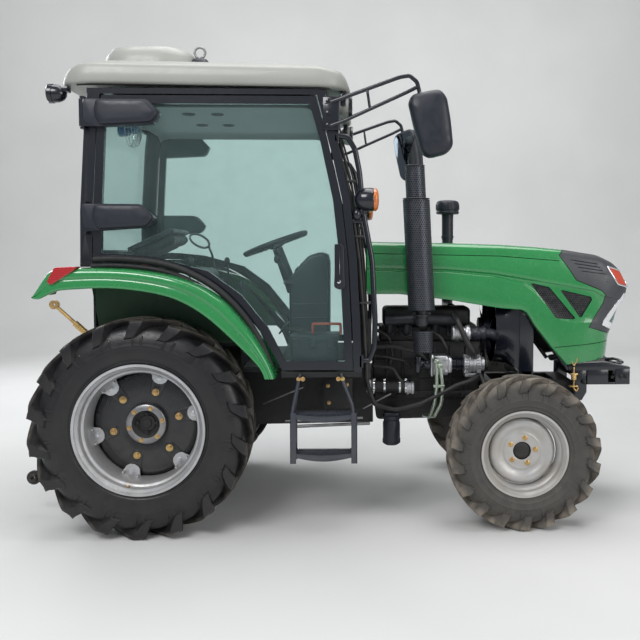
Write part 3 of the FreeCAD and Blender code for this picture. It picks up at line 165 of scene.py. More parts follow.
class Tree:
    """A material's nodes."""

    def __init__(self, name: str) -> None:
        """Start an empty material."""
        self.material = bpy.data.materials.new(name)
        self.material.use_nodes = True
        self.nodes = self.material.node_tree.nodes
        self.links = self.material.node_tree.links
        self.nodes.clear()

    def add(self, kind: str, settings: dict[str, object], values: dict[object, object],
            output: object = 0) -> Signal:
        """Add a node.

        Args:
            kind: the node's type.
            settings: its own properties, set first.
            values: a number, colour or Signal for each input, by name or number.
            output: the output that the Signal stands for.

        Returns:
            The wrapped output.
        """
        node = self.nodes.new(kind)
        for name, value in settings.items():
            setattr(node, name, value)
        for name, value in values.items():
            if isinstance(value, Signal):
                self.links.new(value.socket, node.inputs[name])
            else:
                node.inputs[name].default_value = value
        return Signal(self, node.outputs[output])

    def place(self) -> Signal:
        """Coordinates in the shared frame."""
        return self.add("ShaderNodeTexCoord", {}, {}, "Object")

    def facing(self) -> tuple[Signal, Signal, Signal]:
        """Components of the surface's direction."""
        return self.split(self.add("ShaderNodeTexCoord", {}, {}, "Normal"))

    def split(self, vector: Signal) -> tuple[Signal, Signal, Signal]:
        """Components of a vector."""
        first = self.add("ShaderNodeSeparateXYZ", {}, {"Vector": vector})
        outputs = first.socket.node.outputs
        return first, Signal(self, outputs[1]), Signal(self, outputs[2])

    def noise(self, scale: float, detail: float) -> Signal:
        """Noise over the frame's coordinates, from about 0.3 to 0.7."""
        where = self.place()
        return self.add("ShaderNodeTexNoise", {}, {"Vector": where, "Scale": scale, "Detail": detail})

    def tint(self, share: "Signal | float", first: object, second: object) -> Signal:
        """Mix two colours."""
        return self.add("ShaderNodeMix", {"data_type": "RGBA"},
                        {0: share, 6: self.paint(first), 7: self.paint(second)}, 2)

    @staticmethod
    def paint(colour: object) -> object:
        """Give a plain colour its fourth number."""
        return colour if isinstance(colour, Signal) else (*colour, 1)

    def bump(self, height: Signal, strength: float, distance: float) -> Signal:
        """Turn a height into a surface direction."""
        return self.add(
            "ShaderNodeBump", {}, {"Height": height, "Strength": strength, "Distance": distance})

    def close(self, shader: Signal) -> bpy.types.Material:
        """Join a shader to the output and return the material."""
        node = self.nodes.new("ShaderNodeOutputMaterial")
        self.links.new(shader.socket, node.inputs["Surface"])
        return self.material


# Finishes

class Relief(Enum):
    """Fine surface of a finish."""

    SMOOTH = "smooth"
    ORANGE_PEEL = "orange peel"
    GRAIN = "grain"
    CAST = "cast"
    SIDEWALL = "sidewall"


@dataclass(frozen=True)
class Finish:
    """An opaque finish with its wear and dust.

    Dust gathers under dust_top metres above the ground and, by settle, on faces that look up. On a tyre
    it also lies on the tread: wheel is the axle's place in x and z, and tread the radii it grows between.
    """

    name: str
    slot: str
    colour: Colour
    roughness: float = 0.45
    metallic: float = 0
    coat: float = 0
    mottle: Colour = (0, 0, 0)
    mottle_share: float = 0.15
    mottle_scale: float = 6
    dust: Colour = (0.3, 0.25, 0.19)
    dust_share: float = 0
    dust_top: float = 1
    settle: float = 0
    wheel: Optional[Flat] = None
    tread: Flat = (0, 1)
    relief: Relief = Relief.SMOOTH
    relief_depth: float = 1
    sheen: float = 0
    smear: float = 0.16

    def height(self, tree: Tree) -> Optional[tuple[Signal, float, float]]:
        """Height, strength and depth of the fine surface."""
        match self.relief:
            case Relief.ORANGE_PEEL:
                return tree.noise(420, 1), 0.06 * self.relief_depth, 0.001
            case Relief.GRAIN:
                return tree.noise(900, 2), 0.25 * self.relief_depth, 0.001
            case Relief.CAST:
                fine = tree.noise(260, 4)
                broad = tree.noise(28, 2)
                return fine * 0.6 + broad, 0.5 * self.relief_depth, 0.002
            case Relief.SIDEWALL:
                return tree.noise(130, 5), 0.25 * self.relief_depth, 0.002
            case _:
                return None

    def build(self) -> bpy.types.Material:
        """Make the material."""
        tree = Tree(self.name)
        broad = tree.noise(self.mottle_scale, 5).fitted(0.35, 0.68)
        colour = tree.tint(broad * self.mottle_share, self.colour, self.mottle)
        smear = tree.noise(38, 5).fitted(0.3, 0.75)
        rough = smear * self.smear + (self.roughness - 0.4 * self.smear)
        values: dict[object, object] = {
            "Metallic": self.metallic, "Coat Weight": self.coat, "Coat Roughness": 0.06,
            "Sheen Weight": self.sheen, "Sheen Roughness": 0.5}
        if self.dust_share > 0 or self.settle > 0:
            _, _, high = tree.split(tree.place())
            _, _, up = tree.facing()
            patches = tree.noise(17, 6).fitted(0.32, 0.66)
            low = high.fitted(0, self.dust_top, self.dust_share, 0)
            lying = up.fitted(0.25, 1, 0, self.settle)
            lying_dust = low + lying
            if self.wheel is not None:
                x, _, z = tree.split(tree.place())
                away_x, away_z = x - self.wheel[0], z - self.wheel[1]
                reach = (away_x * away_x + away_z * away_z).root()
                lying_dust = lying_dust + reach.fitted(*self.tread, 0, 0.75)
            share = (lying_dust * (patches * 0.7 + 0.3)).clamped()
            colour = tree.tint(share, colour, self.dust)
            rough = rough + share * (0.9 - self.roughness)
            if self.coat > 0:
                values["Coat Weight"] = (1 - share) * self.coat
        surface = self.height(tree)
        if surface:
            values["Normal"] = tree.bump(*surface)
        values["Base Color"] = colour
        values["Roughness"] = rough.clamped()
        return tree.close(tree.add("ShaderNodeBsdfPrincipled", {}, values))


@dataclass(frozen=True)
class Punched:
    """Steel sheet with staggered round holes, laid out by the piece's own map."""

    name: str
    slot: str
    colour: Colour
    # Near-black colour painted in the holes: painted shade for the dark seen through them.
    hole: Colour = (0.004, 0.004, 0.004)

    def build(self) -> bpy.types.Material:
        """Make the material; a map unit is one hole's pitch."""
        tree = Tree(self.name)
        across, along, _ = tree.split(tree.add("ShaderNodeUVMap", {"uv_map": "holes"}, {}))
        side = (across + (along.whole() * 0.5).rest()).rest() - 0.5
        rise = along.rest() - 0.5
        reach = (side * side + rise * rise).root()
        metal = reach.fitted(0.25, 0.33)
        smear = tree.noise(40, 5).fitted(0.3, 0.75)
        shade = tree.tint(smear * 0.4, self.colour, (0.1, 0.1, 0.1))
        # Inside each hole the sheet takes the near-black hole colour, painted shade where no hole is cut.
        colour = tree.tint(metal, self.hole, shade)
        values = {"Base Color": colour, "Metallic": 0.6, "Roughness": smear * 0.2 + 0.32,
                  "Normal": tree.bump(metal, 0.9, 0.002)}
        return tree.close(tree.add("ShaderNodeBsdfPrincipled", {}, values))


@dataclass(frozen=True)
class Glass:
    """Thin tinted glass that lets the view through."""

    name: str
    slot: str
    colour: Colour
    shine: float = 0.05
    roughness: float = 0.02

    def build(self) -> bpy.types.Material:
        """Mix a clear shader with the glass's reflection."""
        tree = Tree(self.name)
        dust = tree.noise(9, 6).fitted(0.4, 0.8, 0, 0.02)
        clear = tree.add("ShaderNodeBsdfTransparent", {}, {"Color": (*self.colour, 1)})
        shiny = tree.add("ShaderNodeBsdfPrincipled", {}, {"Base Color": (0.35, 0.45, 0.45, 1),
                                                          "Roughness": self.roughness, "Metallic": 0})
        behind = tree.add("ShaderNodeNewGeometry", {}, {}, "Backfacing")
        fresnel = tree.add("ShaderNodeFresnel", {}, {"IOR": behind * (1 / 1.5 - 1.5) + 1.5})
        share = (fresnel * 0.9 + dust + self.shine).clamped()
        return tree.close(tree.add("ShaderNodeMixShader", {}, {0: share, 1: clear, 2: shiny}))


@dataclass(frozen=True)
class Lens:
    """Coloured lamp cover with fine ribs."""

    name: str
    slot: str
    colour: Colour
    ribs: float = 700

    def build(self) -> bpy.types.Material:
        """Make a glossy cover whose ribs catch the light; the colour also darkens and brightens with each
        rib, painted shade and highlight.
        """
        tree = Tree(self.name)
        _, across, along = tree.split(tree.place())
        ribs = (along * self.ribs).wave() * 0.5 + (across * self.ribs).wave() * 0.5
        # Darker tone in each rib's trough and the full colour on its crest: painted shade and highlight.
        painted_rib_shade = tuple(0.45 * part for part in self.colour)
        colour = tree.tint(ribs.fitted(-0.7, 0.7), painted_rib_shade, self.colour)
        values = {"Base Color": colour, "Roughness": 0.12, "Coat Weight": 1, "Coat Roughness": 0.03,
                  "Normal": tree.bump(ribs, 0.35, 0.001)}
        return tree.close(tree.add("ShaderNodeBsdfPrincipled", {}, values))


DUSTY = (0.34, 0.29, 0.22)
GREEN = Finish("green_paint_gloss", "green_paint", (0.014, 0.232, 0.058), 0.22, coat=1,
               mottle=(0.011, 0.19, 0.046), mottle_share=0.4, dust=DUSTY, dust_share=0.03, dust_top=1.1,
               settle=0.03, relief=Relief.ORANGE_PEEL)
# Darker copy of the green paint for the fenders' inner walls: painted shade on the same paint, with real
# dust.
GREEN_PAINTED_SHADE = Finish(
    "green_paint_underside", "green_paint", (0.003, 0.05, 0.014), 0.45, mottle=(0.004, 0.03, 0.01),
    mottle_share=0.4, dust=DUSTY, dust_share=0.1, dust_top=1.3, relief=Relief.CAST, relief_depth=0.3)
NOSE_GREY = Finish("grey_cap_plastic", "grey_plastic", (0.05, 0.053, 0.06), 0.4,
                   mottle=(0.04, 0.042, 0.046), settle=0.08, relief=Relief.GRAIN)
ROOF = Finish("roof_plastic_glossy", "roof_plastic", (0.33, 0.335, 0.31), 0.46, coat=0.15,
              mottle=(0.29, 0.295, 0.27), mottle_share=0.35, mottle_scale=3, settle=0.08,
              relief=Relief.ORANGE_PEEL)
BLACK = Finish("black_enamel", "black_steel", (0.006, 0.008, 0.014), 0.22, coat=0.4,
               mottle=(0.01, 0.012, 0.018), mottle_share=0.2, dust=DUSTY, dust_share=0.03, dust_top=0.7,
               smear=0.04)
STEP_STEEL = Finish(
    "step_enamel", "black_steel", (0.03, 0.036, 0.05), 0.38, coat=0.3, mottle=(0.05, 0.052, 0.06),
    mottle_share=0.3, mottle_scale=16, dust=DUSTY, dust_share=0.08, dust_top=0.9, relief=Relief.ORANGE_PEEL)
SEAL = Finish("rubber_seal", "black_steel", (0.012, 0.012, 0.013), 0.62, mottle=(0.03, 0.03, 0.03),
              relief=Relief.GRAIN)
CAST = Finish("cast_iron_black", "cast_black", (0.0045, 0.005, 0.0065), 0.5, metallic=0, coat=0,
              mottle=(0.014, 0.013, 0.012), mottle_share=0.3, mottle_scale=14, dust=DUSTY, dust_share=0.12,
              dust_top=0.7, settle=0.07, relief=Relief.CAST, relief_depth=0.6)
SILVER = Finish("rim_silver", "rim_steel", (0.52, 0.53, 0.55), 0.34, metallic=0.6,
                mottle=(0.34, 0.34, 0.34), mottle_share=0.5, mottle_scale=9, dust=DUSTY, dust_share=0.35,
                dust_top=0.8, relief=Relief.ORANGE_PEEL, relief_depth=2)
PALE_RIM = Finish("rim_pale_dusty", "rim_steel", (0.5, 0.5, 0.5), 0.34, metallic=0.55,
                  mottle=(0.4, 0.37, 0.32), mottle_share=0.5, mottle_scale=7, dust=(0.36, 0.3, 0.23),
                  dust_share=0.3, dust_top=0.8, relief=Relief.ORANGE_PEEL, relief_depth=2)
DISC = Finish("disc_black", "rim_steel", (0.006, 0.007, 0.01), 0.32, coat=0.3, mottle=(0.022, 0.022, 0.024),
              mottle_share=0.35, mottle_scale=11, dust=DUSTY, dust_share=0.07, dust_top=0.9,
              relief=Relief.ORANGE_PEEL, relief_depth=2.5)
ALLOY = Finish("bare_aluminium", "bare_metal", (0.62, 0.63, 0.65), 0.36, metallic=0.85,
               mottle=(0.38, 0.38, 0.38), mottle_share=0.5, mottle_scale=24, relief=Relief.CAST,
               relief_depth=0.6)
CHROME = Finish("bright_trim", "bare_metal", (0.8, 0.81, 0.83), 0.12, metallic=1, mottle=(0.6, 0.6, 0.62))
STEEL = Finish("worn_steel", "bare_metal", (0.3, 0.3, 0.31), 0.36, metallic=0.85, mottle=(0.16, 0.15, 0.14),
               mottle_share=0.5, mottle_scale=22)
GUARD_STEEL = Finish(
    "exhaust_steel", "black_steel", (0.028, 0.031, 0.038), 0.45, metallic=0.4, mottle=(0.05, 0.046, 0.045),
    mottle_share=0.4, mottle_scale=18, relief=Relief.CAST, relief_depth=0.4)
FAN = Finish("fan_plastic", "black_plastic", (0.03, 0.036, 0.06), 0.3, coat=0.3, mottle=(0.04, 0.045, 0.06))
BLUE_FAN = Finish("fan_blue", "black_plastic", (0.05, 0.16, 0.34), 0.3, coat=0.3, mottle=(0.05, 0.13, 0.28))
ZINC = Finish("zinc_greenish", "bare_metal", (0.46, 0.53, 0.44), 0.32, metallic=0.8,
              mottle=(0.3, 0.36, 0.28), mottle_share=0.5, mottle_scale=20)
GOLD = Finish("zinc_yellow", "zinc_gold", (0.62, 0.43, 0.17), 0.33, metallic=0.85,
              mottle=(0.42, 0.24, 0.13), mottle_share=0.6, mottle_scale=30)
PLASTIC = Finish("black_moulding", "black_plastic", (0.01, 0.013, 0.022), 0.42,
                 mottle=(0.018, 0.021, 0.031), mottle_share=0.3, settle=0.03, relief=Relief.GRAIN)
SILVERED = Finish("mirror_silver", "bare_metal", (0.1, 0.12, 0.14), 0.06, metallic=1,
                  mottle=(0.09, 0.11, 0.13))
HOSE = Finish("rubber_hose", "black_plastic", (0.013, 0.013, 0.014), 0.55, mottle=(0.05, 0.046, 0.04),
              mottle_share=0.4, mottle_scale=20, relief=Relief.GRAIN)
VINYL = Finish("seat_vinyl", "black_fabric", (0.018, 0.019, 0.021), 0.5, mottle=(0.035, 0.035, 0.035),
               sheen=0.15, relief=Relief.GRAIN, relief_depth=1.6)
LINER = Finish("headliner", "roof_plastic", (0.2, 0.21, 0.22), 0.85, mottle=(0.15, 0.155, 0.16), sheen=0.3,
               relief=Relief.GRAIN)
REAR_RUBBER = Finish(
    "rear_tyre_rubber", "rear_rubber", (0.008, 0.008, 0.01), 0.38, mottle=(0.018, 0.017, 0.017),
    mottle_share=0.4, mottle_scale=8, dust=(0.13, 0.115, 0.095), dust_share=0.08, dust_top=1,
    wheel=(-0.972, 0.555), tread=(0.535, 0.556), relief=Relief.SIDEWALL)
FRONT_RUBBER = Finish(
    "front_tyre_rubber", "front_rubber", (0.044, 0.042, 0.04), 0.62, mottle=(0.065, 0.06, 0.052),
    mottle_share=0.5, mottle_scale=14, dust=(0.25, 0.215, 0.175), dust_share=0.12, dust_top=0.8,
    wheel=(0.981, 0.398), tread=(0.335, 0.385), relief=Relief.SIDEWALL)
LAMP_STRIP = Finish("lamp_strip_white", "lamp_glass", (0.85, 0.86, 0.88), 0.16, metallic=0.25, coat=1,
                    mottle=(0.8, 0.81, 0.83))
RED_BRACKET = Finish("orange_red_enamel", "red_lens", (0.55, 0.07, 0.03), 0.4, mottle=(0.4, 0.05, 0.02))
# The punched sheets paint their holes near black, painted shade.
GRILLE = Punched("grille_sheet", "black_mesh", (0.03, 0.031, 0.034))
GUARD = Punched("guard_sheet", "black_steel", (0.06, 0.068, 0.085))
TINT = Glass("cab_glass", "tinted_glass", (0.885, 0.965, 0.955), 0.02)
CLEAR = Glass("lamp_cover", "lamp_glass", (0.86, 0.9, 0.92), 0.18)
RED = Lens("red_lamp", "red_lens", (0.55, 0.012, 0.018))
AMBER = Lens("amber_lamp", "red_lens", (0.85, 0.22, 0.03))
Material = Finish | Punched | Glass | Lens
_materials: dict[str, bpy.types.Material] = {}


def material_of(finish: Material) -> bpy.types.Material:
    """Build a finish once and return its material."""
    if finish.name not in _materials:
        _materials[finish.name] = finish.build()
    return _materials[finish.name]


# Modelling

ALONG = {Axis.X: (1, 2, 0), Axis.Y: (0, 2, 1), Axis.Z: (0, 1, 2)}


def spot(axis: Axis, first: float, second: float, level: float) -> Vector:
    """Place a flat point (first, second) at a level along an axis."""
    point = Vector(ORIGIN)
    for index, value in zip(ALONG[axis], (first, second, level)):
        point[index] = value
    return point


def between(points: Sequence[Flat], value: float) -> float:
    """Read a line of (x, y) points at x, with its ends held."""
    if value <= points[0][0]:
        return points[0][1]
    for (x0, y0), (x1, y1) in zip(points, points[1:]):
        if value <= x1:
            return y0 + (y1 - y0) * (value - x0) / (x1 - x0)
    return points[-1][1]


def mixed(first: Outline, second: Outline, share: float, steps: Sequence[float] = ()) -> list[Flat]:
    """Draw a line between two lines, at given x or else at all of theirs."""
    places = steps or sorted({x for x, _ in (*first, *second)})
    return [(x, between(first, x) * (1 - share) + between(second, x) * share) for x in places]


def smooth_line(points: Sequence[Flat], rounds: int) -> list[Flat]:
    """Cut the corners of an open line, keeping its ends."""
    line = list(points)
    for _ in range(rounds):
        cut = [line[0]]
        for (x0, y0), (x1, y1) in zip(line, line[1:]):
            cut += [(0.75 * x0 + 0.25 * x1, 0.75 * y0 + 0.25 * y1),
                    (0.25 * x0 + 0.75 * x1, 0.25 * y0 + 0.75 * y1)]
        line = [*cut, line[-1]]
    return line


def rounded(points: Sequence[Flat], radius: float, steps: int) -> list[Flat]:
    """Round every corner of a closed outline."""
    outline: list[Flat] = []
    count = len(points)
    for index, corner in enumerate(points):
        here = Vector(corner)
        before = Vector(points[index - 1]) - here
        after = Vector(points[(index + 1) % count]) - here
        reach = min(radius, 0.45 * before.length, 0.45 * after.length)
        start, end = here + before.normalized() * reach, here + after.normalized() * reach
        for step in range(steps + 1):
            share = step / steps
            point = start.lerp(here, share).lerp(here.lerp(end, share), share)
            outline.append((point.x, point.y))
    return outline


class Shape:
    """A mesh being modelled in millimetres."""

    def __init__(self) -> None:
        """Start empty."""
        self.mesh = bmesh.new()

    def add(self, *others: "Shape") -> "Shape":
        """Take in other shapes and return this one."""
        for other in others:
            carrier = bpy.data.meshes.new("carrier")
            other.mesh.to_mesh(carrier)
            self.mesh.from_mesh(carrier)
            bpy.data.meshes.remove(carrier)
        return self

    def copy(self) -> "Shape":
        """Return a copy."""
        return Shape().add(self)

    def moved(self, x: float = 0, y: float = 0, z: float = 0) -> "Shape":
        """Shift and return this shape."""
        bmesh.ops.translate(self.mesh, verts=self.mesh.verts, vec=(x, y, z))
        return self

    def turned(self, degrees: float, axis: Axis, centre: Point = ORIGIN) -> "Shape":
        """Turn about an axis through a point and return this shape."""
        turn = Matrix.Rotation(math.radians(degrees), 3, axis.vector)
        bmesh.ops.rotate(self.mesh, verts=self.mesh.verts, cent=centre, matrix=turn)
        return self

    def scaled(self, x: float, y: float, z: float) -> "Shape":
        """Scale about the origin and return this shape."""
        bmesh.ops.scale(self.mesh, verts=self.mesh.verts, vec=(x, y, z))
        if x * y * z < 0:
            bmesh.ops.reverse_faces(self.mesh, faces=self.mesh.faces)
        return self

    def mirrored(self) -> "Shape":
        """Return the mirror image in y."""
        return self.copy().scaled(1, -1, 1)

    def both(self) -> "Shape":
        """Add the mirror image in y and return this shape."""
        return self.add(self.mirrored())

    def on(self, side: Side) -> "Shape":
        """Return the shape itself for the left side and its mirror image for the right."""
        return self if side is Side.LEFT else self.mirrored()

    def around(self, count: int, axis: Axis, centre: Point = ORIGIN) -> "Shape":
        """Repeat the shape evenly about an axis."""
        bmesh.ops.spin(self.mesh, geom=[*self.mesh.verts, *self.mesh.edges, *self.mesh.faces], cent=centre,
                       axis=axis.vector, angle=2 * math.pi * (count - 1) / count, steps=count - 1,
                       use_duplicate=True)
        return self

    def bevelled(self, width: float, segments: int, sharp: float = 30) -> "Shape":
        """Round the edges that turn by more than an angle."""
        limit = math.radians(sharp)
        edges = [edge for edge in self.mesh.edges if len(edge.link_faces) == 2
                 and edge.calc_face_angle(0) > limit]
        bmesh.ops.bevel(self.mesh, geom=edges, offset=width, offset_type="OFFSET", affect="EDGES",
                        segments=segments, profile=0.5, material=-1, clamp_overlap=True)
        return self

    def welded(self, distance: float = 0.01) -> "Shape":
        """Merge doubles and point the faces outwards."""
        bmesh.ops.remove_doubles(self.mesh, verts=self.mesh.verts, dist=distance)
        bmesh.ops.recalc_face_normals(self.mesh, faces=self.mesh.faces)
        return self

    def walled(self, thickness: float) -> "Shape":
        """Give an open sheet a wall behind its outer face."""
        bmesh.ops.solidify(self.mesh, geom=self.mesh.faces, thickness=thickness)
        return self

    def shaped(self, place: Callable[[Vector], Point]) -> "Shape":
        """Move every vertex to where a rule places it."""
        for vertex in self.mesh.verts:
            vertex.co = place(vertex.co.copy())
        return self

    def piece(self, name: str, finish: Material, body: str = "chassis",
              smooth: float = 40) -> bpy.types.Object:
        """Make the shape an object.

        Args:
            name: the object's name.
            finish: its finish.
            body: the body it rides on.
            smooth: angle in degrees under which neighbouring faces shade as one.

        Returns:
            The new object.
        """
        bmesh.ops.transform(self.mesh, matrix=TO_FRAME, verts=self.mesh.verts)
        for face in self.mesh.faces:
            face.smooth = True
        limit = math.radians(smooth)
        for edge in self.mesh.edges:
            edge.smooth = len(edge.link_faces) == 2 and edge.calc_face_angle(0) < limit
        mesh = bpy.data.meshes.new(name)
        self.mesh.to_mesh(mesh)
        self.mesh.free()
        thing = bpy.data.objects.new(name, mesh)
        bpy.context.scene.collection.objects.link(thing)
        mesh.materials.append(material_of(finish))
        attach(thing, body)
        LOG.info("piece %s on %s: %d faces", name, body, len(mesh.polygons))
        return thing


def prism(outline: Sequence[Flat], axis: Axis, low: float, high: float, bevel: float = 0,
          segments: int = 2) -> Shape:
    """Extrude an outline along an axis and round its edges."""
    shape = Shape()
    verts = [shape.mesh.verts.new(spot(axis, *point, low)) for point in outline]
    face = shape.mesh.faces.new(verts)
    grown = bmesh.ops.extrude_face_region(shape.mesh, geom=[face])
    moved = [item for item in grown["geom"] if isinstance(item, bmesh.types.BMVert)]
    bmesh.ops.translate(shape.mesh, verts=moved, vec=axis.vector * (high - low))
    bmesh.ops.recalc_face_normals(shape.mesh, faces=shape.mesh.faces)
    return shape.bevelled(bevel, segments) if bevel > 0 else shape


def block(x: Flat, y: Flat, z: Flat, bevel: float = 3, segments: int = 2) -> Shape:
    """Make a box with rounded edges from its low and high on each axis."""
    shape = Shape()
    bmesh.ops.create_cube(shape.mesh, size=1)
    shape.scaled(x[1] - x[0], y[1] - y[0], z[1] - z[0])
    shape.moved((x[0] + x[1]) / 2, (y[0] + y[1]) / 2, (z[0] + z[1]) / 2)
    return shape.bevelled(bevel, segments) if bevel > 0 else shape


def boxes(*rows: Sequence[object]) -> Shape:
    """Make several boxes, each from what block takes."""
    return Shape().add(*(block(*row) for row in rows))


def lathe(profile: Sequence[Flat], axis: Axis, centre: Point, steps: int) -> Shape:
    """Turn (radius, offset) points about an axis through a centre."""
    shape = Shape()
    first, _, third = ALONG[axis]
    verts = []
    for radius, offset in profile:
        point = Vector(centre)
        point[first] += radius
        point[third] += offset
        verts.append(shape.mesh.verts.new(point))
    edges = [shape.mesh.edges.new(pair) for pair in zip(verts, verts[1:])]
    bmesh.ops.spin(shape.mesh, geom=[*verts, *edges], cent=centre, axis=axis.vector, angle=2 * math.pi,
                   steps=steps, use_merge=True)
    return shape.welded()


def rod(start: Point, end: Point, radius: float, segments: int = 20, tip: Optional[float] = None,
        bevel: float = 1.5) -> Shape:
    """Make a round bar or a cone between two points."""
    low, high = Vector(start), Vector(end)
    run = high - low
    shape = Shape()
    turn = run.to_track_quat("Z", "Y").to_matrix().to_4x4()
    bmesh.ops.create_cone(
        shape.mesh, cap_ends=True, segments=segments, radius1=radius, radius2=radius if tip is None
        else tip, depth=run.length, matrix=Matrix.Translation((low + high) / 2) @ turn)
    return shape.bevelled(min(bevel, 0.3 * radius), 2, 60) if bevel > 0 else shape


def ball(centre: Point, radius: float, stretch: Point = (1, 1, 1), around: int = 32) -> Shape:
    """Make a ball, stretched about its centre."""
    shape = Shape()
    bmesh.ops.create_uvsphere(shape.mesh, u_segments=around, v_segments=around * 5 // 8, radius=radius)
    return shape.scaled(*stretch).moved(*centre)


def pipe(points: Sequence[Point], radius: float, bend: float, sides: int = 5, steps: int = 6) -> Shape:
    """Run a round tube along straight lengths with smooth bends."""
    route = [Vector(point) for point in points]
    controls = [route[0]]
    for before, here, after in zip(route, route[1:], route[2:]):
        back, ahead = before - here, after - here
        near_back = min(bend, 0.45 * back.length)
        near_ahead = min(bend, 0.45 * ahead.length)
        controls += [here + back.normalized() * near_back, here, here + ahead.normalized() * near_ahead]
    controls.append(route[-1])
    curve = bpy.data.curves.new("pipe", "CURVE")
    curve.dimensions = "3D"
    curve.bevel_depth = radius
    curve.bevel_resolution = sides
    curve.use_fill_caps = True
    curve.resolution_u = steps
    line = curve.splines.new("NURBS")
    line.points.add(len(controls) - 1)
    for point, control in zip(line.points, controls):
        point.co = (*control, 1)
    line.order_u = 3
    line.use_endpoint_u = True
    holder = bpy.data.objects.new("pipe", curve)
    mesh = bpy.data.meshes.new_from_object(holder)
    shape = Shape()
    shape.mesh.from_mesh(mesh)
    bpy.data.objects.remove(holder)
    bpy.data.curves.remove(curve)
    bpy.data.meshes.remove(mesh)
    return shape.welded()


def bolt(centre: Point, axis: Axis, size: float, out: float = 1) -> Shape:
    """Make a hexagon bolt head on its washer; out is the sign of the way it faces."""
    shape = Shape()
    step = axis.vector * out
    base = Vector(centre)
    shape.add(rod(base, base + step * (0.18 * size), 0.72 * size, 24, bevel=0.6))
    head = rod(base + step * (0.1 * size), base + step * (0.62 * size), 0.56 * size, 6, bevel=0)
    shape.add(head.bevelled(0.05 * size, 2))
    shape.add(rod(base + step * (0.5 * size), base + step * (0.8 * size), 0.26 * size, 12, bevel=0.8))
    return shape


def loft(sections: Sequence[Sequence[Point]], closed: bool, caps: bool) -> Shape:
    """Bridge a row of loops or lines that have equal counts of points."""
    shape = Shape()
    rings = []
    for section in sections:
        verts = [shape.mesh.verts.new(point) for point in section]
        pairs = list(zip(verts, verts[1:]))
        if closed:
            pairs.append((verts[-1], verts[0]))
        rings.append([shape.mesh.edges.new(pair) for pair in pairs])
        if caps and closed and section in (sections[0], sections[-1]):
            shape.mesh.faces.new(verts)
    for first, second in zip(rings, rings[1:]):
        bmesh.ops.bridge_loops(shape.mesh, edges=first + second)
    bmesh.ops.recalc_face_normals(shape.mesh, faces=shape.mesh.faces)
    return shape


def sheet(across: int, along: int, place: Callable[[float, float], Point]) -> Shape:
    """Shape a grid whose vertices lie at place(u, v), with u and v from 0 to 1."""
    shape = Shape()
    bmesh.ops.create_grid(shape.mesh, x_segments=across, y_segments=along, size=0.5)
    return shape.shaped(lambda point: place(min(max(point.x + 0.5, 0), 1), min(max(point.y + 0.5, 0), 1)))


def inside(point: Flat, outline: Sequence[Flat]) -> bool:
    """Tell whether a flat point lies in an outline."""
    within = False
    for (x0, y0), (x1, y1) in zip(outline, [*outline[1:], outline[0]]):
        if (y0 > point[1]) != (y1 > point[1]) and point[0] < x0 + (x1 - x0) * (point[1] - y0) / (y1 - y0):
            within = not within
    return within


def taken_out(shape: Shape, outline: Sequence[Flat], low: float = -9999, high: float = 9999) -> Shape:
    """Cut a side-view outline out of a sheet, on faces whose y is in a range.

    Args:
        shape: the sheet, which keeps the rest.
        outline: (x, z) points.
        low: least y of the faces taken.
        high: greatest y of the faces taken.

    Returns:
        The faces inside the outline.
    """
    left, right = min(x for x, _ in outline) - 5, max(x for x, _ in outline) + 5
    floor, top = min(z for _, z in outline) - 5, max(z for _, z in outline) + 5
    for (x0, z0), (x1, z1) in zip(outline, [*outline[1:], outline[0]]):
        near = [face for face in shape.mesh.faces if max(v.co.x for v in face.verts) > left
                and min(v.co.x for v in face.verts) < right and max(v.co.z for v in face.verts) > floor
                and min(v.co.z for v in face.verts) < top]
        parts = {item for face in near for item in (face, *face.edges, *face.verts)}
        bmesh.ops.bisect_plane(shape.mesh, geom=list(parts), plane_co=(x0, 0, z0),
                               plane_no=(z1 - z0, 0, x0 - x1))
    shape.mesh.faces.index_update()
    chosen = [face for face in shape.mesh.faces if low < face.calc_center_median().y < high
              and inside((face.calc_center_median().x, face.calc_center_median().z), outline)]
    part = shape.copy()
    marks = {face.index for face in chosen}
    shape.mesh.faces.ensure_lookup_table()
    part.mesh.faces.ensure_lookup_table()
    spare = [face for face in part.mesh.faces if face.index not in marks]
    bmesh.ops.delete(part.mesh, geom=spare, context="FACES")
    bmesh.ops.delete(shape.mesh, geom=chosen, context="FACES")
    return part


def open_edges(shape: Shape) -> list[list[Point]]:
    """Walk round each open edge of a sheet."""
    shape.mesh.edges.index_update()
    left = [edge for edge in shape.mesh.edges if len(edge.link_faces) == 1]
    marks = {edge.index: edge for edge in left}
    walks = []
    for start in left:
        if start.index not in marks:
            continue
        del marks[start.index]
        here = start.verts[1]
        walk = [tuple(start.verts[0].co), tuple(here.co)]
        following = next((edge for edge in here.link_edges if edge.index in marks), None)
        while following is not None:
            del marks[following.index]
            here = following.other_vert(here)
            walk.append(tuple(here.co))
            following = next((edge for edge in here.link_edges if edge.index in marks), None)
        walks.append(walk[:-1])
    return walks


def with_modifier(thing: bpy.types.Object, kind: str, **settings: object) -> bpy.types.Object:
    """Add a modifier and return the object."""
    modifier = thing.modifiers.new(kind.lower(), kind)
    for name, value in settings.items():
        setattr(modifier, name, value)
    return thing


def thickened(thing: bpy.types.Object, wall: float, offset: float = -1) -> bpy.types.Object:
    """Give an object's sheet a wall in millimetres, inwards unless an offset says otherwise."""
    return with_modifier(thing, "SOLIDIFY", thickness=wall * MM, offset=offset)


def edge_rounded(thing: bpy.types.Object, width: float, segments: int = 2,
                 sharp: float = 30) -> bpy.types.Object:
    """Round an object's sharp edges, with the width in millimetres."""
    return with_modifier(thing, "BEVEL", width=width * MM, segments=segments, limit_method="ANGLE",
                         angle_limit=math.radians(sharp), harden_normals=True, miter_outer="MITER_ARC")


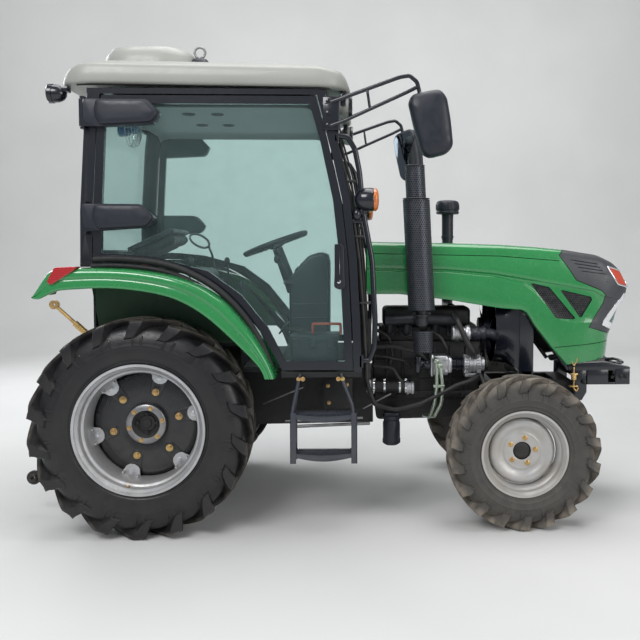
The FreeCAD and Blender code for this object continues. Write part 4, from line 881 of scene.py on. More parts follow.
def dressed(node: str, finish: Material, body: str, bevel: float = 2) -> bpy.types.Object:
    """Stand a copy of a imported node, merged and with rounded edges, in its place."""
    shape = Shape()
    shape.mesh.from_mesh(bpy.data.objects[node].data)
    bmesh.ops.remove_doubles(shape.mesh, verts=shape.mesh.verts, dist=2e-5)
    bmesh.ops.dissolve_limit(shape.mesh, angle_limit=math.radians(0.4), verts=shape.mesh.verts,
                             edges=shape.mesh.edges)
    bmesh.ops.transform(shape.mesh, matrix=TO_FRAME.inverted(), verts=shape.mesh.verts)
    thing = shape.piece(f"{node}_dressed", finish, body, 32)
    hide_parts(node)
    return edge_rounded(thing, bevel) if bevel > 0 else thing


# Wheels

def part_way(line: Sequence[Flat], share: float) -> Flat:
    """Point at a share of a line's length."""
    runs = [math.dist(first, second) for first, second in zip(line, line[1:])]
    left = share * sum(runs)
    for first, second, run in zip(line, line[1:], runs):
        if left <= run:
            point = Vector(first).lerp(Vector(second), left / run)
            return point.x, point.y
        left -= run
    return line[-1]


def cut_bar(direction: int, cuts: int) -> Shape:
    """Make a unit cube whose edges along one direction are cut."""
    bar = Shape()
    bmesh.ops.create_cube(bar.mesh, size=1)
    runs = [edge for edge in bar.mesh.edges if abs((edge.verts[0].co - edge.verts[1].co)[direction]) > 0.5]
    bmesh.ops.subdivide_edges(bar.mesh, edges=runs, cuts=cuts)
    return bar


def wheel_pair(end: str, centre: Point, model: Callable[[], Sequence[tuple[str, Shape, Material]]]) -> None:
    """Make the pieces of both wheels at one end from what a function models about the origin."""
    for side in Side:
        word = side.word
        made = {name: shape.moved(*centre).on(side).piece(f"{end}_{name}_{word}_look", finish,
                                                          f"{end}_wheel_{word}") for name, shape,
                finish in model()}
        for name in ("tyre", "rim"):
            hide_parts(f"{end}_{name}_{word}")


@dataclass
class Tyre:
    """A lugged tyre about the origin, with its axis along y and the outer side at positive y."""

    lugs: int
    lean: float
    carcass: list[Flat]
    crest: list[Flat]
    foot: float
    rings: list[float]
    ribs: tuple[float, float, float]
    edge: float = 3
    top_share: float = 0.22
    shoulder: float = 0.6
    sweep: float = 0.3
    taper: float = 0.42

    def _wrapped(self, point: Vector) -> Point:
        """Wrap a unit bar round the tyre: x runs down the lug, y across it and z up from the carcass."""
        share = min(max(point.x + 0.5, 0), 1)
        low = part_way(self.carcass_run, share)
        place = share * (len(self.crest) - 1)
        index = min(int(place + 1e-6), len(self.crest) - 2)
        top = Vector(self.crest[index]).lerp(Vector(self.crest[index + 1]), place - index)
        rise = point.z + 0.5
        radius = low[0] + (top.x - low[0]) * rise - (1 - rise) * 4
        offset = low[1] + (top.y - low[1]) * rise - (1 - rise) * 2 * share
        before = min(share / self.shoulder, 1)
        after = max(share - self.shoulder, 0) / (1 - self.shoulder)
        angle = math.radians(self.lean) * ((1 - before) ** 1.2 - self.sweep * after ** 1.3)
        wide = self.foot * (1 - self.top_share * rise) * (0.76 + 0.24 * before) * (1 - self.taper * after)
        angle += point.y * wide / radius
        return radius * math.sin(angle), offset, radius * math.cos(angle)

    def lug(self) -> Shape:
        """Make one lug, from the middle of the tread over the shoulder to its block end."""
        return cut_bar(0, len(self.crest) - 2).shaped(self._wrapped).bevelled(self.edge, 2, 32)

    def rib(self, angle: float) -> Shape:
        """Make one of the low ribs under a lug's block end."""
        low, high, width = self.ribs
        across = [(r, y) for r, y in self.carcass if r < high + 60][::-1]

        def place(point: Vector) -> Point:
            """Lay a unit bar on the sidewall."""
            radius = low + (high - low) * (point.z + 0.5)
            offset = between(across, radius) + 9 * (point.y + 0.5) * (0.45 + 0.55 * (point.z + 0.5)) - 3
            turn = math.radians(angle) + point.x * width / radius
            return radius * math.sin(turn), offset, radius * math.cos(turn)

        return cut_bar(2, 4).shaped(place).bevelled(0.5 * self.edge, 1, 32)

    def build(self) -> Shape:
        """Make the whole tyre."""
        run = smooth_line(self.carcass, 2)
        last = self.crest[-1][0] - 8
        self.carcass_run = [(r, y) for r, y in run if r > last]
        body_line = list(run)
        for ring in self.rings:
            index = min(range(len(body_line)), key=lambda item: abs(body_line[item][0] - ring))
            radius, offset = body_line[index]
            body_line[index] = (radius, offset + 2.5)
        profile = [(r, -y) for r, y in reversed(body_line)] + body_line[1:]
        shape = lathe(profile, Axis.Y, ORIGIN, 96)
        lug = self.lug()
        step = math.degrees(0.27 * self.foot / self.ribs[1])
        lug.add(self.rib(-step), self.rib(step))
        outer = lug.copy().around(self.lugs, Axis.Y)
        inner = lug.mirrored().turned(180 / self.lugs, Axis.Y).around(self.lugs, Axis.Y)
        return shape.add(outer, inner)


REAR_TYRE = Tyre(
    18, 17, carcass=[(524, 0), (523, 45), (518, 84), (505, 104), (484, 117), (458, 127), (425, 133),
                     (390, 133), (358, 128), (338, 121), (326, 115), (312, 104)],
    crest=[(554.5, -8), (554.5, 14), (554.3, 36), (554, 58), (553.2, 80), (552.2, 102), (550.5, 122),
           (546, 138), (528, 141.8), (510, 141.8), (494, 141), (478, 138.5), (464, 133)], foot=82,
    rings=[422, 352, 338], ribs=(424, 474, 14))
FRONT_TYRE = Tyre(18, 17, carcass=[(374, 0), (373, 30), (368, 54), (356, 72), (338, 84), (314, 92),
                                   (288, 96), (262, 93), (242, 85), (226, 76), (212, 68)],
                  crest=[(397.5, -6), (397.5, 11), (397.2, 28), (396.6, 45), (395.6, 62), (394, 78),
                         (391.5, 93), (388, 102.5), (374, 104.9), (360, 104.7), (348, 104), (336, 102),
                         (325, 97)], foot=60, rings=[282, 252, 238], ribs=(288, 334, 10), edge=2.2,
                  sweep=0.2, taper=0.3)


@dataclass
class RearWheel:
    """Rear tyre, silver rim, bolted black disc and the hub ring in it."""

    centre: Point = (0, 640, 555)
    disc_face: float = -38
    disc_radius: float = 272
    bolt_circle: float = 172
    clamp_circle: float = 252
    hub_circle: float = 86
    hub_radius: float = 102
    bore: float = 68
    first_angle: float = 17
    bolts: int = 6

    def _spread(self, shape: Shape) -> Shape:
        """Repeat a shape drawn above the axle round the wheel."""
        return shape.turned(self.first_angle, Axis.Y).around(self.bolts, Axis.Y)

    def rim(self) -> Shape:
        """Rolled rim with a flared lip, seats and well, and six welded lugs for the disc."""
        half = [(327.5, 126), (327, 130), (322, 129), (317.5, 120), (308, 114), (304, 104), (303, 84),
                (299, 79), (289, 75), (285, 66), (281, 44), (280, 20)]
        line = half + [(r, -y) for r, y in reversed(half)]
        band = lathe(line, Axis.Y, ORIGIN, 128).walled(-5).welded()
        ears = []
        for step in range(7):
            angle = math.radians(-90 + 30 * step)
            ears.append((41 * math.sin(angle), self.clamp_circle - 34 * math.cos(angle)))
        outline = [*ears, (52, 276), (0, 281), (-52, 276)]
        lug = prism(outline, Axis.Y, self.disc_face + 7, self.disc_face + 17, 3)
        rib = block((-5, 5), (self.disc_face + 15, self.disc_face + 44), (262, 282), 2)
        return band.add(self._spread(lug), self._spread(rib.copy().moved(x=-38)),
                        self._spread(rib.moved(x=38)))

    def disc(self) -> Shape:
        """Pressed black disc with raised pads under its bolts."""
        face = self.disc_face
        line = [(self.bore, face - 4), (self.hub_radius + 8, face - 4), (122, face), (150, face + 2),
                (232, face + 2), (256, face - 2), (267, face - 10), (self.disc_radius, face - 24),
                (self.disc_radius + 11, face - 27)]
        plate = lathe(line, Axis.Y, ORIGIN, 128).walled(6).welded()
        pad = prism(rounded([(-27, 145), (27, 145), (40, 262), (-40, 262)], 24, 6), Axis.Y, face - 2, face
                    + 6, 3, 3)
        valley = prism(rounded([(-16, 156), (16, 156), (20, 205), (-20, 205)], 15, 6), Axis.Y, face + 4,
                       face + 8.5, 2)
        return plate.add(self._spread(pad), self._spread(valley))

    def hub(self) -> Shape:
        """Raised ring round the axle's end, with the recess in it."""
        face = self.disc_face
        line = [(self.bore - 8, face - 26), (self.bore, face + 6), (self.bore + 4, face + 22),
                (self.hub_radius - 5, face + 22), (self.hub_radius, face + 18), (self.hub_radius, face - 4)]
        return lathe(line, Axis.Y, ORIGIN, 96)

    def axle_end(self) -> Shape:
        """Flange and nut seen in the hub's bore."""
        face = self.disc_face
        line = [(0, face - 6), (22, face - 6), (24, face - 12), (40, face - 14), (42, face - 22),
                (66, face - 22)]
        end = lathe(line, Axis.Y, ORIGIN, 64)
        return end.add(bolt((0, face - 8, 50), Axis.Y, 13).around(4, Axis.Y))

    def bolt_sets(self) -> tuple[Shape, Shape]:
        """Yellow disc and hub bolts, and the grey clamp bolts."""
        face = self.disc_face
        yellow = self._spread(bolt((0, face + 7, self.bolt_circle), Axis.Y, 26))
        yellow.add(self._spread(bolt((0, face + 21, self.hub_circle), Axis.Y, 17)))
        grey = self._spread(bolt((0, face + 16, self.clamp_circle), Axis.Y, 22))
        return yellow, grey

    def valve(self) -> Shape:
        """Tyre valve in the rim."""
        return rod((-62, 84, -292), (-62, 112, -284), 6)

    def parts(self) -> Sequence[tuple[str, Shape, Material]]:
        """Name, shape and finish of each piece of a wheel."""
        yellow, grey = self.bolt_sets()
        return (("tyre", REAR_TYRE.build(), REAR_RUBBER), ("rim", self.rim(), SILVER),
                ("disc", self.disc(), DISC), ("hub_ring", self.hub(), STEEL),
                ("axle_end", self.axle_end(), CAST), ("bolts", yellow, GOLD), ("clamp_bolts", grey, ALLOY),
                ("valve", self.valve(), GOLD))

    def build(self) -> None:
        """Make both rear wheels."""
        wheel_pair("rear", self.centre, self.parts)


@dataclass
class FrontWheel:
    """Front tyre and its pale pressed rim and disc."""

    centre: Point = (1953, 602, 398)
    bolt_circle: float = 69.85
    bore: float = 47
    first_angle: float = 12
    bolts: int = 5

    def rim(self) -> Shape:
        """Rolled rim with its well."""
        half = [(223.5, 73), (223, 78), (218, 77), (213, 69), (206.5, 64), (203.5, 56), (202.5, 42),
                (198, 37), (191, 32), (186, 22), (184, 10)]
        line = half + [(r, -y) for r, y in reversed(half)]
        return lathe(line, Axis.Y, ORIGIN, 128).walled(-4).welded()

    def disc(self) -> Shape:
        """Dished disc whose edge stands off the rim in four places, with a flat bolting face."""
        line = [(self.bore, -8), (self.bore, -2), (50, 0), (90, 0), (94.5, 1.5), (98, -0.5), (104, -2.5),
                (116, 1), (132, 10), (148, 13.5), (162, 11), (171, 3), (174.5, -8), (176, -26)]
        return lathe(smooth_line(line, 1), Axis.Y, ORIGIN, 128).walled(4).welded()

    def welds(self) -> Shape:
        """Tabs that join the disc to the rim, with the gaps between them."""
        line = [(-60, 174), (60, 174), (62, 186), (-62, 186)]
        tab = prism(line, Axis.Y, -24, -6, 2)
        return tab.turned(40, Axis.Y).around(4, Axis.Y)

    def cap(self) -> Shape:
        """Dark hub end in the bore."""
        line = [(0, -3), (30, -3.5), (40, -6), (46, -12), (50, -30)]
        return lathe(line, Axis.Y, ORIGIN, 64)

    def bolt_set(self) -> Shape:
        """Five yellow bolts on their cone seats."""
        one = bolt((0, 0, self.bolt_circle), Axis.Y, 17)
        one.add(lathe([(0, 2), (12, 2), (16, -1)], Axis.Y, (0, 0, self.bolt_circle), 24))
        return one.turned(self.first_angle, Axis.Y).around(self.bolts, Axis.Y)

    def parts(self) -> Sequence[tuple[str, Shape, Material]]:
        """Name, shape and finish of each piece of a wheel."""
        return (("tyre", FRONT_TYRE.build(), FRONT_RUBBER), ("rim", self.rim(), PALE_RIM),
                ("disc", self.disc(), PALE_RIM), ("disc_tabs", self.welds(), PALE_RIM),
                ("hub_end", self.cap(), CAST), ("bolts", self.bolt_set(), GOLD))

    def build(self) -> None:
        """Make both front wheels."""
        wheel_pair("front", self.centre, self.parts)


# Bonnet

@dataclass
class Level:
    """One line along the bonnet's side, from its rear edge round the corner to the front."""

    front: float
    width: float
    height: list[Flat]
    square: float = 3
    corner: float = 300


@dataclass
class Bonnet:
    """Tilting bonnet: one skin, cut into green panels, grey nose cap, chin, grilles and lamps."""

    rear: float = 1144
    half: float = 281
    straight_share: float = 0.68
    wall: float = 3
    narrowing: float = 0.035
    narrow_from: float = 1900
    narrow_run: float = 500
    grille_pitch: Flat = (0.0125, 0.011)
    bottom: Outline = ((1144, 1206), (1327, 1206), (1607, 1172), (1887, 1126), (2010, 1116), (2042, 1100),
                       (2085, 1030), (2171, 918), (2268, 806), (2530, 836), (2660, 850))
    crease: Outline = ((1144, 1334), (1583, 1328), (1850, 1302), (2026, 1262), (2090, 1215), (2139, 1162),
                       (2232, 1066), (2290, 1052), (2480, 1050), (2660, 1050))
    swage: Outline = ((1144, 1352), (1583, 1345), (1850, 1322), (2026, 1292), (2240, 1254), (2420, 1222),
                      (2480, 1190), (2660, 1160))
    ridge: Outline = ((1144, 1432), (1327, 1428), (1884, 1417), (2221, 1389), (2400, 1348), (2560, 1298),
                      (2660, 1244))
    top: Outline = ((1144, 1497), (1605, 1489), (1884, 1481), (2100, 1467), (2254, 1452), (2446, 1422),
                    (2545, 1380), (2600, 1340), (2640, 1280), (2662, 1226))
    cap: Outline = ((2254, 1460), (2221, 1422), (2266, 1361), (2318, 1282), (2463, 1224), (2490, 1198),
                    (2481, 1154), (2395, 1016), (2546, 970), (2900, 970), (2900, 1600), (2254, 1600))
    grilles: tuple[list[Flat], ...] = (
        [(2065, 1260), (2076, 1264), (2166, 1243), (2178, 1232), (2318, 1068), (2308, 1060), (2216, 1066),
         (2204, 1072)], [(2233, 1222), (2244, 1226), (2405, 1188), (2415, 1172), (2356, 1074),
                         (2344, 1072)])
    badge: Outline = ((2499, 1359), (2627, 1322), (2646, 1238), (2564, 1258))
    lamp: Outline = ((2615, 1203), (2484, 1048), (2478, 1026), (2559, 990), (2583, 1000), (2659, 1193),
                     (2651, 1207))
    lamp_strip: Outline = ((2615, 1203), (2484, 1048), (2478, 1026), (2559, 990), (2576, 1018),
                           (2524, 1044), (2651, 1206))
    seam: float = 4
    body: str = "bonnet"

    def levels(self) -> list[Level]:
        """List the side's lines from the hem to the centre line."""
        def lifted(line: list[Flat], rise: float) -> list[Flat]:
            """Raise a line."""
            return [(x, z + rise) for x, z in line]

        low, crease, swage = self.bottom, self.crease, self.swage
        return [Level(2500, 0.9, lifted(low, 4)), Level(2540, 0.955, lifted(low, -1)),
                Level(2545, 0.972, lifted(low, 6)), Level(2550, 0.98, mixed(low, crease, 0.2)),
                Level(2560, 0.984, mixed(low, crease, 0.6)), Level(2588, 0.984, lifted(crease, -12)),
                Level(2592, 0.978, lifted(crease, -2)), Level(2596, 0.956, lifted(crease, 5)),
                Level(2610, 0.958, mixed(crease, swage, 0.5)), Level(2638, 0.966, lifted(swage, -6)),
                Level(2646, 0.994, lifted(swage, 3)), Level(2656, 1.002, mixed(swage, self.ridge, 0.35)),
                Level(2662, 0.996, mixed(swage, self.ridge, 0.7)),
                Level(2664, 0.98, lifted(self.ridge, -7)), Level(2660, 0.966, lifted(self.ridge, 7)),
                Level(2648, 0.944, mixed(self.ridge, self.top, 0.62), 2.9),
                Level(2628, 0.87, mixed(self.ridge, self.top, 0.93), 2.8),
                Level(2600, 0.73, lifted(self.top, 1), 2.6), Level(2550, 0.38, lifted(self.top, 2.5), 2.4),
                Level(2490, 0, lifted(self.top, 3), 2.4)]

    def _on_level(self, level: Level, along: float) -> Vector:
        """Point of a level at a share of its run."""
        start = level.front - level.corner
        if along <= self.straight_share:
            x = self.rear + (start - self.rear) * along / self.straight_share
            half = self.half * level.width
        else:
            angle = 0.5 * math.pi * (along - self.straight_share) / (1 - self.straight_share)
            power = 2 / level.square
            x = start + level.corner * math.sin(angle) ** power
            half = self.half * level.width * max(math.cos(angle), 0) ** power
        narrow = 1 - self.narrowing * max(0, (x - self.narrow_from) / self.narrow_run)
        return Vector((x, half * narrow, between(level.height, x)))

    def skin(self, across: int = 108, along: int = 54) -> Shape:
        """Make the left half of the skin through its levels."""
        levels = self.levels()

        def place(u: float, v: float) -> Point:
            """Point through four neighbouring levels."""
            spot_v = v * (len(levels) - 1)
            index = min(int(spot_v), len(levels) - 2)
            share = spot_v - index
            near = [self._on_level(levels[min(max(index + step, 0), len(levels) - 1)], u)
                    for step in (-1, 0, 1, 2)]
            slope_a, slope_b = (near[2] - near[0]) * 0.5, (near[3] - near[1]) * 0.5
            square, cube = share * share, share * share * share
            point = (near[1] * (2 * cube - 3 * square + 1) + slope_a * (cube - 2 * square + share)
                     + near[2] * (3 * square - 2 * cube) + slope_b * (cube - square))
            return point.x, max(point.y, 0), point.z

        return sheet(across, along, place)

    def build(self) -> None:
        """Make every bonnet piece."""
        skin = self.skin()
        skin.both().welded(0.4)
        centre = skin.mesh.faces[len(skin.mesh.faces) // 3]
        if centre.normal.y * centre.calc_center_median().y < 0:
            bmesh.ops.reverse_faces(skin.mesh, faces=skin.mesh.faces)
        openings = [taken_out(skin, outline) for outline in self.grilles]
        for line in self._seams():
            taken_out(skin, self._strip(line)).mesh.free()
        cap = taken_out(skin, self.cap)
        for step in range(4):
            start, end = (2288 + 20 * step, 1396 - 21 * step), (2440 + 16 * step, 1372 - 19 * step)
            taken_out(cap, self._strip([start, end])).mesh.free()
        badges = self._from_sides(cap, self.badge, 60)
        lamps = self._from_sides(cap, self.lamp, 95)
        chin = taken_out(skin, [(2200, 904), (2530, 931), (2700, 931), (2700, 700), (2200, 700)])
        lid = taken_out(skin, [(1100, 1433), (1327, 1428), (1884, 1417), (2232, 1388), (2330, 1600),
                               (1100, 1600)])
        sides = self._panel(skin, "bonnet_sides_look", GREEN)
        self._panel(lid, "bonnet_lid_look", GREEN)
        self._panel(chin, "bonnet_chin_look", GREEN)
        nose = self._panel(cap, "nose_cap_look", NOSE_GREY)
        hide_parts("bonnet")
        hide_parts("nose")
        self._grilles(openings)
        self._badge(badges)
        self._lamps(lamps)
        self._shade_liner()

    def _from_sides(self, cap: Shape, outline: list[Flat], inner: float) -> Shape:
        """Take an outline out of both sides, as far in as a half width."""
        for level in (inner, -inner):
            mesh = cap.mesh
            bmesh.ops.bisect_plane(mesh, geom=[*mesh.verts, *mesh.edges, *mesh.faces],
                                   plane_co=(0, level, 0), plane_no=(0, 1, 0))
        return taken_out(cap, outline, low=inner).add(taken_out(cap, outline, high=-inner))

    def _seams(self) -> list[list[Flat]]:
        """List the lines where two panels meet."""
        return [[(1100, 1433), (1327, 1428), (1884, 1417), (2222, 1390)],
                [(2200, 902), (2530, 931), (2700, 931)], [(2254, 1460), (2221, 1422), (2266, 1361),
                                                          (2318, 1282), (2463, 1224), (2490, 1198),
                                                          (2481, 1154), (2395, 1016), (2546, 970),
                                                          (2700, 970)]]

    def _strip(self, line: list[Flat]) -> list[Flat]:
        """Outline a strip of the seam's width along a line."""
        half = 0.5 * self.seam
        left, right = [], []
        for index, (x, z) in enumerate(line):
            before, after = line[max(index - 1, 0)], line[min(index + 1, len(line) - 1)]
            run = Vector((after[0] - before[0], after[1] - before[1])).normalized()
            left.append((x - run.y * half, z + run.x * half))
            right.append((x + run.y * half, z - run.x * half))
        return left + right[::-1]

    def _panel(self, skin: Shape, name: str, finish: Material) -> bpy.types.Object:
        """Turn part of the skin into a panel with a wall and softened edges."""
        thing = skin.piece(name, finish, self.body, 38)
        thickened(thing, self.wall)
        return edge_rounded(thing, 1.1, 2, 50)

    def _grilles(self, openings: Sequence[Shape]) -> None:
        """Sink a punched sheet in each opening."""
        meshes = Shape()
        for opening in openings:
            meshes.add(opening.shaped(lambda p: (p.x, p.y - math.copysign(9, p.y), p.z)))
        thing = meshes.piece("side_grille_look", GRILLE, self.body)
        layer = thing.data.uv_layers.new(name="holes")
        for loop in thing.data.loops:
            point = thing.data.vertices[loop.vertex_index].co
            layer.data[loop.index].uv = (point.x / self.grille_pitch[0], point.z / self.grille_pitch[1])
        thickened(thing, 2)
        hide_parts("side_grilles")

    def _badge(self, badges: Shape) -> None:
        """Give each side a bright frame round a blank plate."""
        plate = badges.copy().shaped(lambda p: (p.x, p.y - math.copysign(2, p.y), p.z))
        plate_thing = plate.piece("badge_plate_look", RED_BRACKET, self.body)
        thickened(plate_thing, 2)
        frame = Shape()
        for line in open_edges(badges):
            walk = resampled(line, 48)
            frame.add(pipe([*walk, walk[0]], 5.5, 10, 3, 2))
        frame.piece("badge_frame_look", CHROME, self.body)

    def _lamps(self, lamps: Shape) -> None:
        """Give each lamp a bright angled strip, a reflector and a clear cover."""
        sunk = lamps.copy().shaped(lambda p: (p.x - 4, p.y - math.copysign(7, p.y), p.z))
        back = sunk.piece("head_lamp_reflector_look", NOSE_GREY, self.body)
        thickened(back, 2)
        strip = taken_out(lamps, self.lamp_strip)
        bright = strip.piece("head_lamp_strip_look", LAMP_STRIP, self.body)
        thickened(bright, 5, 0.2)
        edge_rounded(bright, 1.2, 2)
        cover = lamps.piece("head_lamp_cover_look", CLEAR, self.body)
        thickened(cover, 2)
        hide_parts("head_lamps")

    def _shade_liner(self) -> None:
        """Dark inner sheet that closes the seams from behind: painted shade for the dark inside the bonnet.
        """
        inner = self.skin(60, 30).both().welded(0.4)
        inner.shaped(lambda p: ((p.x - 1144) * 0.985 + 1150, p.y * 0.965, p.z - 9 if p.z > 1300 else p.z))
        for outline in self.grilles:
            wide = [(x - 12 if x < 2200 else x + 12, z) for x, z in outline]
            taken_out(inner, wide).mesh.free()
        # The sheet is cast-iron black: painted shade behind the seams.
        thing = inner.piece("bonnet_liner_look", CAST, self.body, 60)
        thickened(thing, 1.5)


# Body panels

def ring_of(x: Flat, y: Flat, radius: float, z: Callable[[float], float], count: int = 12) -> list[Point]:
    """Walk a rounded rectangle with a height that follows x."""
    points = []
    corners = ((x[1], y[1], 0), (x[0], y[1], 90), (x[0], y[0], 180), (x[1], y[0], 270))
    for place_x, place_y, start in corners:
        centre_x = place_x - radius if place_x == x[1] else place_x + radius
        centre_y = place_y - radius if place_y == y[1] else place_y + radius
        for step in range(count + 1):
            angle = math.radians(start + 90 * step / count)
            point_x = centre_x + radius * math.cos(angle)
            points.append((point_x, centre_y + radius * math.sin(angle), z(point_x)))
    return filled(points)


def filled(points: list[Point]) -> list[Point]:
    """Split the long steps of a closed walk into even shorter ones."""
    longest = 60
    walk: list[Point] = []
    for first, second in zip(points, [*points[1:], points[0]]):
        start, end = Vector(first), Vector(second)
        parts = max(1, math.ceil((end - start).length / longest))
        walk += [tuple(start.lerp(end, step / parts)) for step in range(parts)]
    return walk


@dataclass
class Roof:
    """Moulded roof with a raised rear dome, a hatch at the front and a lifting ring."""

    x: Flat = (-400, 1054)
    half: float = 700
    edge: Outline = ((-400, 2270), (-200, 2277), (313, 2279), (700, 2272), (905, 2264), (1054, 2254))
    kink: Outline = ((-400, 2333), (-295, 2372), (-100, 2398), (315, 2413), (659, 2388), (900, 2366),
                     (1014, 2350), (1054, 2300))
    crown: Outline = ((-400, 2380), (-200, 2432), (100, 2462), (315, 2466), (700, 2440), (1054, 2386))
    dome: Flat = (-285, 215)
    dome_half: float = 440
    dome_top: float = 2543
    ring_x: float = 240

    def _loop(self, inset: float, line: list[Flat], lift: float, radius: float) -> list[Point]:
        """Loop round the roof at an inset."""
        x = (self.x[0] + inset, self.x[1] - inset)
        half = self.half - inset
        return ring_of(x, (-half, half), radius, lambda place: between(line, place) + lift)

    def shell(self) -> Shape:
        """Roof from its underside lip over the rim to the crown."""
        def domed_line(share: float) -> list[Flat]:
            """Height line between the rim's kink and the crown."""
            return mixed(self.kink, self.crown, share, range(-400, 1060, 20))

        count = len(self._loop(0, self.edge, 0, 150))
        rows = [self._loop(64, self.edge, 4, 110), self._loop(16, self.edge, -1, 140),
                self._loop(5, self.edge, 5, 146), self._loop(0, self.edge, 16, 150),
                self._loop(6, self.kink, -22, 146), self._loop(16, self.kink, -6, 140),
                self._loop(34, self.kink, 1, 130), self._loop(48, self.kink, -1, 122),
                self._loop(64, domed_line(0.22), 0, 110), self._loop(120, domed_line(0.5), 0, 90),
                self._loop(220, domed_line(0.78), 0, 80), self._loop(380, domed_line(0.95), 0, 70),
                self._loop(560, domed_line(1), 0, 60)]
        even = [resampled(row, count) for row in rows]
        return loft(even, True, True)

    def top(self) -> Shape:
        """Raised rear dome with a soft rim."""
        x0, x1 = self.dome
        half = self.dome_half
        rows = []
        steps = ((-6, -60), (0, 0.22), (16, 0.55), (42, 0.82), (90, 0.95), (160, 1))
        for inset, share in steps:
            def level(place: float, part: float = share) -> float:
                """Height between the crown and the dome's top."""
                base = between(self.crown, place)
                return base + part if part < 0 else base + (self.dome_top - base) * part
            rows.append(ring_of((x0 + inset, x1 - inset), (-half + inset, half - inset),
                                max(190 - inset, 30), level))
        count = len(rows[0])
        return loft([resampled(row, count) for row in rows], True, True)

    def hatch(self) -> Shape:
        """Dark low rim of the roof hatch in front of the dome."""
        def level(place: float) -> float:
            """Height of the hatch line."""
            return between(self.crown, place)

        outer = ring_of((330, 760), (-260, 260), 60, lambda place: level(place) - 6)
        top = ring_of((330, 760), (-260, 260), 60, lambda place: level(place) + 12)
        inner = ring_of((344, 746), (-246, 246), 52, lambda place: level(place) + 12)
        low = ring_of((344, 746), (-246, 246), 52, lambda place: level(place) - 2)
        count = len(outer)
        return loft([resampled(row, count) for row in (outer, top, inner, low)], True, True).bevelled(
            2, 2, 50)

    def build(self) -> None:
        """Make the roof's pieces."""
        shell = self.shell().piece("roof_shell_look", ROOF, smooth=50)
        self.top().piece("roof_dome_look", ROOF, smooth=50)
        self.hatch().piece("roof_hatch_look", SEAL)
        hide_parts("roof")
        base = between(self.crown, self.ring_x)
        foot = lathe([(0, 24), (36, 24), (44, 16), (52, 0), (56, -14)], Axis.Z,
                     (self.ring_x, -300, base - 8), 40)
        foot.piece("ring_foot_look", PLASTIC)
        ring = pipe([(self.ring_x + 30 * math.sin(0.25 * math.pi * step), -300, base + 52
                      - 30 * math.cos(0.25 * math.pi * step)) for step in range(9)], 6.5, 14)
        ring.add(rod((self.ring_x, -300, base + 10), (self.ring_x, -300, base + 26), 14))
        eye = ring.piece("roof_ring_look", STEEL)
        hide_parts("roof_ring")
        seam = [(x, -self.half + 30, between(self.edge, x) - 4) for x in range(-300, 1000, 50)]
        strip = pipe(seam, 5, 10, 3, 2)
        strip.both().piece("roof_edge_seal_look", SEAL)


def resampled(points: Sequence[Point], count: int) -> list[Point]:
    """Walk a closed loop in equal steps."""
    loop = [Vector(point) for point in points]
    runs = [(second - first).length for first, second in zip(loop, [*loop[1:], loop[0]])]
    total = sum(runs)
    walk: list[Point] = []
    index, passed = 0, 0
    for step in range(count):
        target = total * step / count
        while passed + runs[index] < target:
            passed += runs[index]
            index += 1
        share = (target - passed) / runs[index] if runs[index] else 0
        walk.append(tuple(loop[index].lerp(loop[(index + 1) % len(loop)], share)))
    return walk


